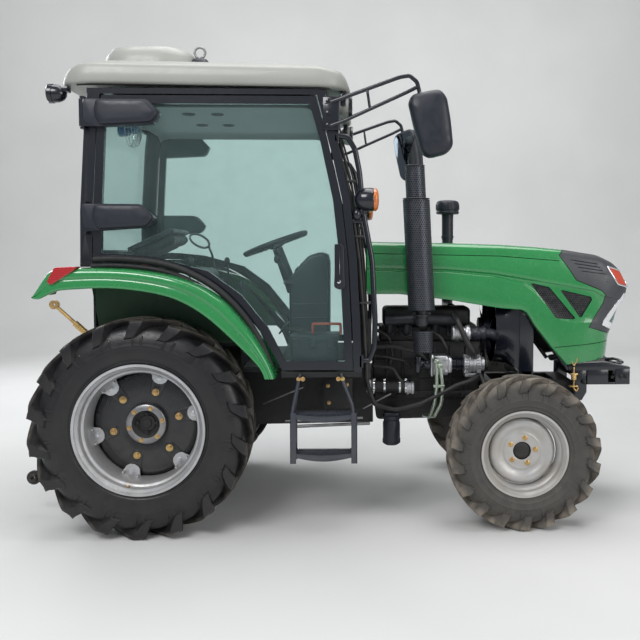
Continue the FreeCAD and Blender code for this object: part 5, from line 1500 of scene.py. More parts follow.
@dataclass
class Fender:
    """Wide rear fender: a rolled band over the tyre, its inner wall and the lamp at its tail."""

    inner: float = 470
    outer: float = 790
    upper: Outline = ((680, 812), (675, 834), (650, 896), (577, 1026), (454, 1176), (380, 1236),
                      (307, 1280), (190, 1322), (61, 1348), (-85, 1363), (-282, 1364), (-400, 1356),
                      (-425, 1346), (-449, 1312), (-478, 1262), (-503, 1220))
    lower: Outline = ((628, 812), (622, 834), (596, 880), (502, 976), (390, 1084), (322, 1138), (245, 1186),
                      (160, 1222), (59, 1244), (-80, 1262), (-186, 1264), (-300, 1258), (-382, 1252),
                      (-425, 1232), (-471, 1206), (-500, 1214))

    def _rows(self) -> list[tuple[Vector, Vector]]:
        """Pair the upper and lower line along the fender."""
        count = 90
        upper, lower = smooth_line(self.upper, 2), smooth_line(self.lower, 2)
        return [(Vector(part_way(upper, step / (count - 1))), Vector(part_way(lower, step / (count - 1))))
                for step in range(count)]

    def band(self) -> Shape:
        """Cross-section from the wall over the top to the rolled outer lip, swept along the fender."""
        rows = self._rows()
        section = [(0, self.inner), (0, self.outer - 160), (0, self.outer - 60), (0.02, self.outer - 30),
                   (0.08, self.outer - 12), (0.18, self.outer - 3), (0.3, self.outer),
                   (0.46, self.outer - 1), (0.5, self.outer - 5), (0.54, self.outer - 6),
                   (0.6, self.outer - 3), (0.8, self.outer - 2), (0.94, self.outer - 3),
                   (1, self.outer - 8), (1, self.outer - 28), (0.94, self.outer - 40)]
        fine = []
        for first, second in zip(section, section[1:]):
            fine.append(first)
            fine.append(tuple(0.5 * (a + b) for a, b in zip(first, second)))
        fine.append(section[-1])

        def place(u: float, v: float) -> Point:
            """Point at u along the fender and v across its section."""
            top, low = rows[min(round(u * (len(rows) - 1)), len(rows) - 1)]
            down, out = fine[min(round(v * (len(fine) - 1)), len(fine) - 1)]
            point = top.lerp(low, down)
            return point.x, out, point.y

        return sheet(len(rows) - 1, len(fine) - 1, place)

    def wall(self) -> Shape:
        """Inner wall between the deck and the band."""
        upper = smooth_line(self.upper, 1)
        outline = [(x, z - 4) for x, z in upper if x > -300]
        outline += [(-318, 1300), (-286, 1107), (-262, 962), (640, 962), (648, 834)]
        return prism(outline, Axis.Y, self.inner - 4, self.inner, 0)

    def tail_lamp(self) -> Shape:
        """Ribbed red lamp let into the rear top of the outer side."""
        outline = rounded([(-424, 1296), (-404, 1280), (-298, 1347), (-276, 1370), (-384, 1367)], 12, 4)
        return prism(outline, Axis.Y, self.outer - 60, self.outer + 9, 4, 3)

    def build(self) -> None:
        """Make both fenders."""
        for side in Side:
            band = self.band().on(side).piece(f"fender_band_{side.word}_look", GREEN, smooth=60)
            thickened(band, 3, -1 * side.value)
            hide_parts(f"fender_{side.word}")
            # The inner wall takes the darker green, painted shade.
            self.wall().on(side).piece(f"fender_wall_{side.word}_look", GREEN_PAINTED_SHADE)
            lamp = self.tail_lamp().on(side).piece(f"tail_lamp_{side.word}_look", RED)
            if side is Side.RIGHT:
                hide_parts("tail_lamps")


@dataclass
class DoorTrim:
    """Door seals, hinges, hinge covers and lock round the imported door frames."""

    plane: float = 665
    arch: Outline = ((-225, 1404), (-120, 1410), (45, 1398), (160, 1374), (262, 1334), (394, 1254),
                     (519, 1126), (604, 986), (652, 862))

    def seals(self) -> Shape:
        """Double rubber bead along the door's arched edge above the fender."""
        shape = Shape()
        for drop, radius in ((0, 17), (-34, 13), (-60, 9)):
            line = smooth_line([(x + 0.35 * drop, z + drop) for x, z in self.arch], 2)
            shape.add(pipe([(x, self.plane + 34, z) for x, z in line], radius, 30, 4, 1))
        return shape

    def cover(self, outline: list[Flat]) -> Shape:
        """Moulded hinge cover: a plate with a long crowned body on it."""
        base = self.plane + 50
        plate = prism(rounded(outline, 20, 5), Axis.Y, self.plane - 4, base, 5, 3)
        x0, x1 = min(x for x, _ in outline), max(x for x, _ in outline)
        z0, z1 = min(z for _, z in outline), max(z for _, z in outline)
        crown = rounded([(x0 + 84, z0 + 8), (x1 - 40, z0 + 22), (x1 - 4, z0 + 0.5 * (z1 - z0)),
                         (x1 - 62, z1 - 4), (x0 + 66, z1 - 4), (x0 + 56, z0 + 64)], 22, 5)
        body = domed(crown, ((1, base - 8), (1, base + 2), (0.985, base + 8), (0.93, base + 14),
                             (0.8, base + 18), (0.5, base + 20)))
        return plate.add(body)

    def hinge(self, x: float, low: float, high: float) -> Shape:
        """Hinge barrel with its pin's ends."""
        shape = rod((x, self.plane + 34, low), (x, self.plane + 34, high), 15)
        shape.add(rod((x, self.plane + 34, low - 8), (x, self.plane + 34, low + 4), 10))
        shape.add(rod((x, self.plane + 34, high - 4), (x, self.plane + 34, high + 8), 10))
        return shape.add(block((x - 20, x + 4), (self.plane, self.plane + 40), (low, high), 6))

    def lock(self) -> tuple[Shape, Shape]:
        """Black lock plate, and the bright lever and keyhole on it."""
        plate = prism(rounded([(971, 1262), (1004, 1248), (1027, 1262), (1021, 1472), (1004, 1485),
                               (981, 1476)], 14, 5), Axis.Y, self.plane - 2, self.plane + 24, 5, 3)
        lever = prism(rounded([(984, 1330), (1002, 1326), (1000, 1462), (986, 1462)], 7, 4), Axis.Y,
                      self.plane + 20, self.plane + 36, 4, 3)
        lever.add(rod((996, self.plane + 20, 1292), (996, self.plane + 30, 1292), 10))
        return plate, lever

    def build(self) -> None:
        """Make the trim of both doors."""
        upper = [(-258, 2195), (54, 2194), (117, 2128), (87, 2072), (-193, 2058), (-262, 2086)]
        lower = [(-279, 1680), (7, 1679), (85, 1609), (54, 1563), (-200, 1545), (-270, 1566)]
        for side in Side:
            body = f"door_{side.word}"
            covers = self.cover(upper).add(self.cover(lower))
            covers.on(side).piece(f"hinge_covers_{side.word}_look", PLASTIC, body)
            barrels = self.hinge(-256, 2104, 2190).add(self.hinge(-262, 1596, 1676))
            barrels.on(side).piece(f"hinges_{side.word}_look", BLACK, body)
            self.seals().on(side).piece(f"door_arch_seal_{side.word}_look", SEAL, body)
            plate, lever = self.lock()
            plate.on(side).piece(f"lock_plate_{side.word}_look", PLASTIC, body)
            lever.on(side).piece(f"lock_lever_{side.word}_look", CHROME, body)


# Engine bay

def turned_cylinder(x: Flat, y: float, z: float, radius: float, grooves: int) -> Shape:
    """Lie a drum along x, with grooves round it."""
    low, high = x
    line = [(0, low), (radius - 4, low), (radius, low + 4)]
    step = (high - low - 20) / max(grooves, 1)
    for index in range(grooves):
        start = low + 10 + step * index
        line += [(radius, start + 0.15 * step), (radius - 5, start + 0.3 * step),
                 (radius - 5, start + 0.7 * step), (radius, start + 0.85 * step)]
    line += [(radius, high - 4), (radius - 4, high), (0, high)]
    return lathe(line, Axis.X, (0, y, z), 48)


def lying(profile: Sequence[Flat], y: float, z: float) -> Shape:
    """Turn (radius, x) points about a line along x."""
    return lathe(profile, Axis.X, (0, y, z), 48)


@dataclass
class Engine:
    """Engine with its covers, pumps, hoses and filters, seen under the bonnet from both sides."""

    half: float = 160
    rear: float = 1180
    front: float = 1800

    def block(self) -> Shape:
        """Crankcase, head, rocker cover and sump, with webs on their sides."""
        shape = block((self.rear, self.front), (-150, 150), (620, 930), 10, 3)
        shape.add(boxes(((self.rear + 10, self.front - 20), (-156, 156), (600, 640), 6),
                        ((self.rear + 40, self.front - 30), (-128, 128), (925, 1010), 8, 3),
                        ((self.rear + 60, self.front - 50), (-96, 96), (1005, 1120), 26, 4)))
        shape.add(prism(rounded([(self.rear, 640), (self.front - 10, 640), (self.front - 10, 520),
                                 (self.front - 150, 478), (self.rear + 20, 468)], 26, 4), Axis.Y, -124, 124,
                        14, 3))
        for index in range(6):
            x = self.rear + 70 + 92 * index
            shape.add(block((x, x + 14), (-158, 158), (640, 900), 4))
            shape.add(block((x + 10, x + 66), (-140, 140), (1000, 1022), 6))
        for z in (700, 815):
            shape.add(block((self.rear + 20, self.front - 30), (-157, 157), (z, z + 12), 3))
        return shape

    def bolts(self) -> Shape:
        """Bolt heads along the covers on both sides."""
        shape = Shape()
        for index in range(6):
            x = self.rear + 40 + 96 * index
            shape.add(bolt((x, -157, 620), Axis.Y, 14, -1), bolt((x, 157, 620), Axis.Y, 14))
            if index % 2:
                shape.add(bolt((x, -130, 968), Axis.Y, 16, -1), bolt((x, 130, 968), Axis.Y, 16))
        return shape

    def brackets(self) -> tuple[Shape, Shape]:
        """Upright plates beside the gear case and behind the engine, with yellow bolts."""
        plates = block((900, 1062), (-318, -308), (572, 742), 3)
        plates.add(boxes(((1108, 1168), (-318, -308), (880, 1070), 3),
                         ((910, 940), (-312, -150), (600, 640), 3),
                         ((1120, 1150), (-312, -130), (900, 930), 3)))
        bolts = Shape()
        for x, z in ((927, 700), (1032, 705), (932, 605), (1133, 1035), (1138, 990)):
            bolts.add(bolt((x, -318, z), Axis.Y, 15, -1))
        return plates.both(), bolts.both()

    def manifold(self) -> Shape:
        """Exhaust manifold along the right side up to the stack's foot."""
        shape = pipe([(1250, -190, 1050), (1440, -205, 1062), (1660, -190, 1050)], 34, 60)
        for x in (1270, 1370, 1530, 1640):
            shape.add(pipe([(x, -110, 985), (x, -175, 985), (x + 6, -196, 1050)], 25, 30))
            shape.add(block((x - 36, x + 36), (-140, -124), (950, 1018), 8))
        shape.add(pipe([(1440, -200, 1062), (1440, -330, 1062), (1440, -385, 1062)], 34, 50))
        return shape

    def alternator(self) -> Shape:
        """Ribbed alternator with slots in its ends."""
        y, z = -222, 804
        shape = turned_cylinder((1690, 1790), y, z, 50, 3)
        shape.add(lying([(14, 1788), (38, 1792), (40, 1808), (16, 1812), (12, 1836)], y, z))
        fin = block((1694, 1716), (y - 53, y - 47), (z - 5, z + 5), 1.5)
        shape.add(fin.around(18, Axis.X, (0, y, z)))
        far = block((1766, 1786), (y - 53, y - 47), (z - 5, z + 5), 1.5)
        shape.add(far.around(18, Axis.X, (0, y, z)))
        return shape.add(block((1700, 1780), (y - 10, -150), (z - 74, z - 50), 6))

    def pump(self) -> Shape:
        """Gear pump with its flange and ports."""
        shape = block((1512, 1600), (-286, -166), (750, 860), 12, 3)
        shape.add(block((1500, 1516), (-290, -160), (742, 868), 8),
                  block((1596, 1622), (-280, -170), (760, 850), 12, 3))
        for z in (772, 836):
            shape.add(bolt((1530, -287, z), Axis.Y, 14, -1), bolt((1584, -287, z), Axis.Y, 14, -1))
        shape.add(rod((1540, -275, 806), (1540, -306, 806), 20, 6))
        return shape.add(rod((1540, -300, 806), (1540, -322, 806), 14, 20))

    def pump_lines(self) -> Shape:
        """Two plated pipes that run down from the pump."""
        first = pipe([(1548, -330, 812), (1562, -336, 700), (1556, -330, 600), (1520, -300, 520),
                      (1500, -200, 505)], 10, 50)
        second = pipe([(1526, -330, 838), (1530, -340, 700), (1518, -334, 600), (1496, -280, 512),
                       (1470, -190, 505)], 10, 50)
        first.add(second)
        for x, z in ((1548, 812), (1526, 838)):
            first.add(rod((x, -346, z), (x, -300, z), 15, 6), ball((x, -332, z), 17))
        first.add(block((1510, 1572), (-348, -324), (690, 706), 4))
        return first

    def air_cleaner(self) -> tuple[Shape, Shape]:
        """Bright can of the upper filter and its black ends and clamps."""
        bright = turned_cylinder((1622, 1712), -245, 983, 41, 3)
        dark = turned_cylinder((1708, 1812), -245, 983, 39, 2)
        dark.add(block((1640, 1680), (-236, -120), (930, 1030), 8))
        dark.add(pipe([(1800, -245, 983), (1850, -240, 980), (1880, -190, 960)], 28, 40))
        bright.add(lying([(44, 1700), (46, 1706), (46, 1716), (44, 1722)], -245, 983))
        return bright, dark

    def low_hose(self) -> tuple[Shape, Shape, Shape]:
        """Wide hose low behind the pump, its bright clamps and the pipes by it."""
        y, z = -240, 680
        hose = pipe([(1160, y, z + 6), (1230, y, z), (1330, y, z + 2), (1372, y + 10, z - 8)], 33, 40)
        clamps = Shape()
        for x in (1176, 1236, 1322, 1356):
            clamps.add(lying([(35, x), (37, x + 2), (37, x + 11), (35, x + 13)], y, z + 1))
            clamps.add(block((x, x + 13), (y - 8, y + 8), (z + 32, z + 46), 3))
        ends = turned_cylinder((1366, 1410), y + 8, z - 8, 38, 1)
        ends.add(turned_cylinder((1140, 1168), y, z + 6, 38, 1))
        return hose, clamps, ends

    def hoses(self) -> Shape:
        """Black hoses and cables looped along the right side."""
        routes = (([(1640, -190, 1090), (1652, -290, 1050), (1690, -300, 960), (1742, -290, 872),
                    (1750, -240, 846)], 15), ([(1120, -300, 840), (1150, -330, 690), (1185, -338, 596),
                                               (1300, -340, 566), (1440, -340, 600), (1640, -332, 700),
                                               (1720, -300, 720), (1770, -240, 740)], 13),
                  ([(1190, -250, 905), (1300, -268, 912), (1430, -262, 880), (1500, -230, 820)], 11),
                  ([(1180, -240, 800), (1290, -262, 790), (1330, -250, 720), (1420, -236, 640)], 10),
                  ([(1170, -230, 860), (1260, -250, 850), (1350, -250, 830), (1400, -200, 780)], 8),
                  ([(1490, -230, 1000), (1560, -270, 960), (1590, -270, 900), (1600, -220, 860)], 10),
                  ([(1780, -230, 760), (1810, -262, 690), (1790, -262, 640), (1700, -250, 620)], 12),
                  ([(1200, -220, 1000), (1270, -250, 960), (1290, -240, 860), (1260, -220, 760)], 9))
        shape = Shape()
        for points, radius in routes:
            shape.add(pipe(points, radius, 60))
            shape.add(pipe([(x, -y, z) for x, y, z in points], radius, 60))
        return shape

    def pump_drive(self) -> Shape:
        """Dark drum and coupling between the pump and the gear case."""
        shape = turned_cylinder((1618, 1692), -225, 806, 38, 2)
        shape.add(turned_cylinder((1440, 1504), -225, 806, 34, 1))
        return shape.add(block((1420, 1446), (-262, -150), (760, 850), 6))

    def canisters(self) -> Shape:
        """Spin-on filter hung low on the right side."""
        shape = lathe([(0, 366), (36, 366), (46, 374), (48, 386), (48, 490), (44, 498), (44, 508),
                       (52, 512), (52, 530), (0, 530)], Axis.Z, (1280, -300, 0), 48)
        flute = block((1276, 1284), (-350, -346), (376, 400), 1)
        shape.add(flute.around(16, Axis.Z, (1280, -300, 0)))
        shape.add(block((1240, 1320), (-330, -150), (512, 548), 8))
        return shape

    def rods(self) -> Shape:
        """Bright control rods and pipes along the gearbox and sump."""
        shape = rod((690, -330, 505), (1120, -330, 522), 7)
        shape.add(rod((720, -310, 470), (1160, -310, 486), 9))
        shape.add(rod((560, -260, 590), (790, -300, 690), 5))
        shape.add(rod((1120, -260, 560), (1280, -240, 640), 6))
        return shape

    def fan(self) -> Shape:
        """Fan with seven curved blades on its hub."""
        x, z, blades = 1846, 1000, 7
        hub = [(0, 1822), (40, 1822), (58, 1834), (58, 1868), (0, 1868)]

        def place(u: float, v: float) -> Point:
            """Twisted blade from hub to tip."""
            radius = 50 + 150 * v
            angle = (u - 0.5) * (0.75 - 0.2 * v) + 0.25 * v
            return (x + 34 * (u - 0.5) * (1.2 - 0.4 * v), radius * math.sin(angle), z
                    + radius * math.cos(angle))

        blade = sheet(8, 10, place).walled(3)
        return lying(hub, 0, z).add(blade.around(blades, Axis.X, (0, 0, z)))

    def pulleys(self) -> Shape:
        """Belt with the crank, fan and alternator pulleys."""
        shape = turned_cylinder((1806, 1834), 0, 720, 78, 1)
        shape.add(turned_cylinder((1806, 1834), 0, 1000, 52, 1),
                  turned_cylinder((1806, 1834), -222, 804, 32, 1))
        line = [(-78, 720), (-250, 790), (-250, 822), (-30, 1048), (40, 1040), (56, 1000), (80, 720),
                (30, 646), (-40, 652)]
        shape.add(pipe([(1820, y, z) for y, z in [*line, line[0]]], 7, 40))
        return shape

    def build(self) -> None:
        """Make every piece of the engine bay."""
        main_block = self.block().piece("engine_block_look", CAST)
        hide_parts("engine")
        self.bolts().piece("engine_bolts_look", CAST)
        plates, plate_bolts = self.brackets()
        plates.piece("side_bracket_look", CAST)
        plate_bolts.piece("side_bracket_bolts_look", GOLD)
        self.manifold().piece("manifold_look", GUARD_STEEL)
        fittings = self.alternator().piece("alternator_look", ALLOY)
        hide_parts("engine_fittings")
        pump = self.pump().piece("pump_look", ALLOY)
        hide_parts("hydraulic_pump")
        self.pump_drive().piece("pump_drive_look", BLACK)
        self.pump_lines().piece("pump_lines_look", ZINC)
        bright, dark = self.air_cleaner()
        bright.piece("upper_filter_can_look", ALLOY)
        dark.piece("upper_filter_ends_look", PLASTIC)
        hose, clamps, ends = self.low_hose()
        hose.piece("low_hose_look", HOSE)
        clamps.piece("low_hose_clamps_look", CHROME)
        ends.piece("low_hose_ends_look", ALLOY)
        self.hoses().piece("engine_hoses_look", HOSE)
        filters = self.canisters().piece("oil_filter_look", PLASTIC)
        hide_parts("oil_filter")
        self.rods().piece("control_rods_look", STEEL)
        self.fan().piece("fan_look", FAN)
        self.pulleys().piece("pulleys_look", CAST)


@dataclass
class Radiator:
    """Radiator with its core, tanks, shroud and the struts by it."""

    x: Flat = (2010, 2090)
    half: float = 235
    low: float = 700
    top: float = 1400
    fan_z: float = 1000
    mouth: float = 216

    def core(self) -> Shape:
        """Finned core."""
        shape = block((self.x[0] + 12, self.x[1] - 12), (-self.half + 24, self.half - 24),
                      (self.low + 70, self.top - 80), 1)
        for index in range(40):
            z = self.low + 78 + (self.top - self.low - 160) * index / 39
            shape.add(block((self.x[0] + 8, self.x[1] - 8), (-self.half + 26, self.half - 26), (z, z + 4),
                            0))
        return shape

    def frame(self) -> Shape:
        """Tanks and side plates."""
        shape = block(self.x, (-self.half, self.half), (self.top - 84, self.top), 14, 3)
        shape.add(block(self.x, (-self.half, self.half), (self.low, self.low + 74), 12, 3))
        side = block(self.x, (self.half - 26, self.half), (self.low + 20, self.top - 20), 5)
        return shape.add(side.both(), rod((2050, 60, self.top - 4), (2050, 60, self.top + 26), 26))

    def shroud(self) -> Shape:
        """Round shroud that opens round the fan."""
        sections = []
        for x, share in ((self.x[0], 0), (1990, 0.15), (1950, 0.7), (1925, 0.95), (1880, 1)):
            ring = []
            for step in range(64):
                angle = 2 * math.pi * step / 64
                wide, high = math.cos(angle), math.sin(angle)
                square = 1 / max(abs(wide), abs(high))
                flat_y = max(-228, min(228, 245 * wide * square))
                flat_z = self.fan_z + 230 * high * square
                ring.append((x, flat_y * (1 - share) + self.mouth * wide * share, flat_z * (1 - share)
                             + (self.fan_z + self.mouth * high) * share))
            sections.append(ring)
        return loft(sections, True, False).walled(4)

    def struts(self) -> Shape:
        """Braces from the front frame up to the radiator on both sides."""
        shape = rod((2040, -244, 1100), (2280, -250, 775), 12)
        shape.add(block((2020, 2060), (-252, -234), (1080, 1130), 4))
        shape.add(rod((2090, -225, 1160), (2240, -225, 1150), 8))
        return shape.both()

    def build(self) -> None:
        """Make the radiator's pieces."""
        frame_thing = self.frame().piece("radiator_frame_look", BLACK)
        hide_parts("radiator")
        self.core().piece("radiator_core_look", CAST)
        self.shroud().piece("fan_shroud_look", BLACK)
        self.struts().piece("radiator_struts_look", BLACK)


@dataclass
class Exhaust:
    """Stack in two perforated guards, open and bent at its top, with a small guard at its foot."""

    x: float = 1440
    y: float = -385
    lean: float = 3
    foot: float = 1129
    hole_pitch: Flat = (13, 11.3)

    def _axis_point(self, z: float, turn: float = 0, radius: float = 0) -> Point:
        """Point round the leaning stack."""
        away = (z - self.foot) * math.tan(math.radians(self.lean))
        return self.x - away + radius * math.cos(turn), self.y + radius * math.sin(turn), z

    def _guard(self, low: float, high: float, radius: float, name: str) -> bpy.types.Object:
        """Perforated sleeve whose map counts the holes."""
        def place(u: float, v: float) -> Point:
            """Point on the sleeve."""
            return self._axis_point(low + (high - low) * v, 2 * math.pi * u, radius)

        thing = sheet(64, 12, place).welded(0.01).piece(name, GUARD, smooth=60)
        layer = thing.data.uv_layers.new(name="holes")
        holes = round(2 * math.pi * radius / self.hole_pitch[0])
        for polygon in thing.data.polygons:
            turns = []
            for index in polygon.loop_indices:
                point = thing.data.vertices[thing.data.loops[index].vertex_index].co / MM
                away = (point.z - self.foot) * math.tan(math.radians(self.lean))
                x = point.x - REAR_AXLE_X / MM - self.x + away
                turns.append(math.atan2(point.y - self.y, x) / (2 * math.pi))
            if max(turns) - min(turns) > 0.5:
                turns = [turn + 1 if turn < 0 else turn for turn in turns]
            for index, turn in zip(polygon.loop_indices, turns):
                z = thing.data.vertices[thing.data.loops[index].vertex_index].co.z / MM
                layer.data[index].uv = (turn * holes, z / self.hole_pitch[1])
        return thickened(thing, 2)

    def rims(self) -> Shape:
        """Rolled rims and end plates of the guards, and the inner pipe with the rings and plate at its
        foot.
        """
        shape = Shape()
        for z, outer, inner in ((1129, 75, 34), (1722, 75, 53), (1900, 56, 40)):
            for rise in (0, 8):
                ring = lathe([(inner, z + rise), (outer - 3, z + rise), (outer, z + rise - 3)], Axis.Z,
                             self._base(z), 48)
                shape.add(ring)
        pipe_line = [self._axis_point(z) for z in (1000, 1129, 1500, 1880)]
        shape.add(pipe([(self.x, self.y, 1040), *pipe_line[1:]], 33, 40))
        for z in (930, 1000, 1090, 1120):
            shape.add(lathe([(30, z), (46, z + 2), (46, z + 10), (30, z + 12)], Axis.Z, (self.x, self.y, 0),
                            32))
        shape.add(block((self.x - 50, self.x + 50), (self.y - 12, self.y + 12), (1098, 1116), 5))
        return shape

    def _base(self, z: float) -> Point:
        """Centre of a flat ring at a height."""
        x, y, _ = self._axis_point(z)
        return x, y, 0

    def mouth(self) -> Shape:
        """Outlet above the guard, cut at a slant that opens to the rear."""
        rows = []
        for level in range(9):
            share = level / 8
            ring = []
            for part in range(48):
                angle = 2 * math.pi * part / 48
                ahead = 0.5 + 0.5 * math.cos(angle)
                rise = 30 + (14 + 158 * ahead ** 0.8) * share
                x = 1403 + 36 * math.cos(angle) - 30 * (rise / 190) ** 2
                ring.append((x, self.y + 36 * math.sin(angle), 1880 + rise))
            rows.append(ring)
        return loft(rows, True, False).walled(-3)

    def build(self) -> None:
        """Make the exhaust's pieces."""
        lower = self._guard(self.foot, 1722, 73, "exhaust_guard_look")
        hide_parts("exhaust")
        self._guard(1722, 1900, 54, "exhaust_tip_guard_look")
        self._guard(895, 1012, 54, "exhaust_foot_guard_look")
        self.rims().piece("exhaust_pipe_look", GUARD_STEEL)
        self.mouth().piece("exhaust_mouth_look", GUARD_STEEL)


@dataclass
class PreCleaner:
    """Mushroom cap of the air intake on the bonnet's left, with its ribbed rim."""

    x: float = 1665
    y: float = 366
    top: float = 1765

    def build(self) -> None:
        """Make the intake."""
        line = [(0, self.top), (44, self.top - 1), (62, self.top - 6), (70, self.top - 15),
                (73, self.top - 26), (73, self.top - 62), (69, self.top - 64), (69, self.top - 72),
                (73, self.top - 74), (72, self.top - 84), (64, self.top - 90), (40, self.top - 84),
                (36, self.top - 100), (36, self.top - 250)]
        cap = lathe(smooth_line(line, 1), Axis.Z, (self.x, self.y, 0), 56)
        flute = block((self.x - 2, self.x + 2), (self.y + 70, self.y + 75), (self.top - 60, self.top - 28),
                      1)
        cap.add(flute.around(24, Axis.Z, (self.x, self.y, 0)))
        cap.add(pipe([(self.x, self.y, self.top - 220), (self.x, self.y, 1090), (self.x, 160, 1090)], 34,
                     90))
        for z in (1180, 1300, self.top - 240):
            cap.add(lathe([(34, z), (39, z + 2), (39, z + 14), (34, z + 16)], Axis.Z, (self.x, self.y, 0),
                          40))
        thing = cap.piece("pre_cleaner_look", PLASTIC)
        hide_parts("pre_cleaner")


# Outer fittings

def shrunk(outline: Sequence[Flat], share: float) -> list[Flat]:
    """Scale a closed outline about its middle."""
    middle = Vector((sum(x for x, _ in outline) / len(outline), sum(z for _, z in outline) / len(outline)))
    return [tuple(middle + (Vector(point) - middle) * share) for point in outline]


def domed(outline: Sequence[Flat], steps: Sequence[tuple[float, float]]) -> Shape:
    """Stack copies of an outline, each (share of its size, place along y), into a closed form."""
    rows = [[tuple(spot(Axis.Y, *point, level)) for point in shrunk(outline, share)] for share,
            level in steps]
    return loft(rows, True, True)


@dataclass
class Mirror:
    """Wide mirror on a two-tube arm at each front corner of the cab."""

    outline: Outline = ((1343, 2186), (1362, 2222), (1430, 2240), (1502, 2251), (1537, 2211), (1558, 2090),
                        (1570, 1968), (1536, 1930), (1450, 1909), (1412, 1930), (1372, 2060))
    y: float = 706
    far_turn: float = -48

    def housing(self) -> Shape:
        """Moulded back of the mirror."""
        line = rounded(self.outline, 34, 5)
        return domed(line, ((0.9, 667), (0.97, 669), (1, 676), (1, 694), (0.992, 712), (0.965, 728),
                            (0.91, 740), (0.8, 749), (0.6, 755), (0.3, 757)))

    def glass(self) -> Shape:
        """Silvered glass on the inner side."""
        return prism(shrunk(rounded(self.outline, 34, 5), 0.9), Axis.Y, 664, 668, 1)

    def arm(self) -> Shape:
        """Two tubes with their strut and root plate."""
        y = self.y
        shape = pipe([(930, 680, 2180), (1010, 694, 2204), (1300, y, 2308), (1350, y, 2316),
                      (1388, y, 2284), (1404, y, 2215)], 10.5, 46, 6)
        shape.add(pipe([(930, 680, 2062), (1029, 694, 2096), (1328, y, 2230), (1392, y, 2262)], 9.5, 30, 6))
        shape.add(rod((1139, y - 6, 2250), (1154, y - 8, 2150), 7))
        shape.add(block((918, 1000), (664, 690), (2050, 2214), 5))
        for z in (2072, 2132, 2192):
            shape.add(bolt((945, 689, z), Axis.Y, 17))
        return shape.add(lathe([(0, 2196), (14, 2196), (18, 2206), (18, 2228), (12, 2234)], Axis.Z,
                               (1404, y, 0), 24))

    def build(self) -> None:
        """Make both mirrors; the left one is swung."""
        centre = (1404, self.y, 2100)
        for side in Side:
            turn = self.far_turn if side is Side.LEFT else 0
            arm = self.arm().on(side).piece(f"mirror_arm_{side.word}_look", BLACK)
            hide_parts(f"mirror_{side.word}")
            back = self.housing().turned(turn, Axis.Z, centre)
            back.on(side).piece(f"mirror_back_{side.word}_look", PLASTIC, smooth=50)
            glass = self.glass().turned(turn, Axis.Z, centre)
            glass.on(side).piece(f"mirror_glass_{side.word}_look", SILVERED)


@dataclass
class GrabRail:
    """Tubular rail beside the front pillar, with its round marker lamp and the hoses behind it."""

    y: float = 645
    lamp_x: float = 1135
    lamp_z: float = 1706

    def rail(self) -> Shape:
        """Bent tube with its feet and clips."""
        y = self.y
        shape = pipe([(985, y, 2028), (1040, y, 2022), (1078, y, 1960), (1100, y, 1850), (1122, y, 1629),
                      (1165, y, 1398), (1180, y, 1088), (1176, y, 950), (1150, y, 886), (1106, y, 882)], 14,
                     60, 6)
        for x, z in ((985, 2028), (1108, 882)):
            shape.add(block((x - 12, x + 12), (y - 40, y + 20), (z - 34, z + 34), 5))
        shape.add(block((1040, 1122), (y - 8, y + 8), (1588, 1606), 4))
        shape.add(ball((1088, y + 6, 1632), 30, (0.8, 1, 1.1)))
        return shape

    def lamp_body(self) -> Shape:
        """Round black body of the marker lamp and its bracket."""
        line = [(0, -62), (22, -58), (41, -46), (54, -28), (60, -6), (61, 20), (58, 38), (54, 40)]
        shape = lathe(smooth_line(line, 1), Axis.X, (self.lamp_x, self.y, self.lamp_z), 48)
        return shape.add(block((1104, 1132), (self.y - 14, self.y + 14), (1630, 1656), 5))

    def lamp_lens(self) -> Shape:
        """Amber lens that faces forward."""
        line = [(58, 38), (59, 46), (54, 56), (40, 62), (20, 65), (0, 66)]
        return lathe(line, Axis.X, (self.lamp_x, self.y, self.lamp_z), 48)

    def hoses(self) -> Shape:
        """Hoses and cable that run down the front pillar."""
        shape = Shape()
        rows = ((0, 12, 8), (20, -4, 6.5), (-16, -14, 9), (34, -24, 5))
        for shift, out, radius in rows:
            line = [(962 + shift, 2090), (985 + shift, 1990), (1034 + shift, 1820), (1070 + shift, 1620),
                    (1100 + 0.7 * shift, 1400), (1122 + 0.5 * shift, 1120), (1134 + 0.4 * shift, 900),
                    (1140 + 0.4 * shift, 790)]
            shape.add(pipe([(x, self.y - 20 + out, z) for x, z in line], radius, 80))
        for x, z in ((1044, 1800), (1086, 1520), (1120, 1180)):
            shape.add(block((x - 26, x + 40), (self.y - 50, self.y + 4), (z - 6, z + 6), 3))
        return shape

    def build(self) -> None:
        """Make both rails."""
        for side in Side:
            rail = self.rail().on(side).piece(f"grab_rail_{side.word}_look", BLACK)
            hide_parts(f"grab_rail_{side.word}")
            self.lamp_body().on(side).piece(f"marker_lamp_body_{side.word}_look", BLACK, smooth=60)
            self.lamp_lens().on(side).piece(f"marker_lamp_lens_{side.word}_look", AMBER, smooth=60)
            self.hoses().on(side).piece(f"pillar_hoses_{side.word}_look", HOSE)


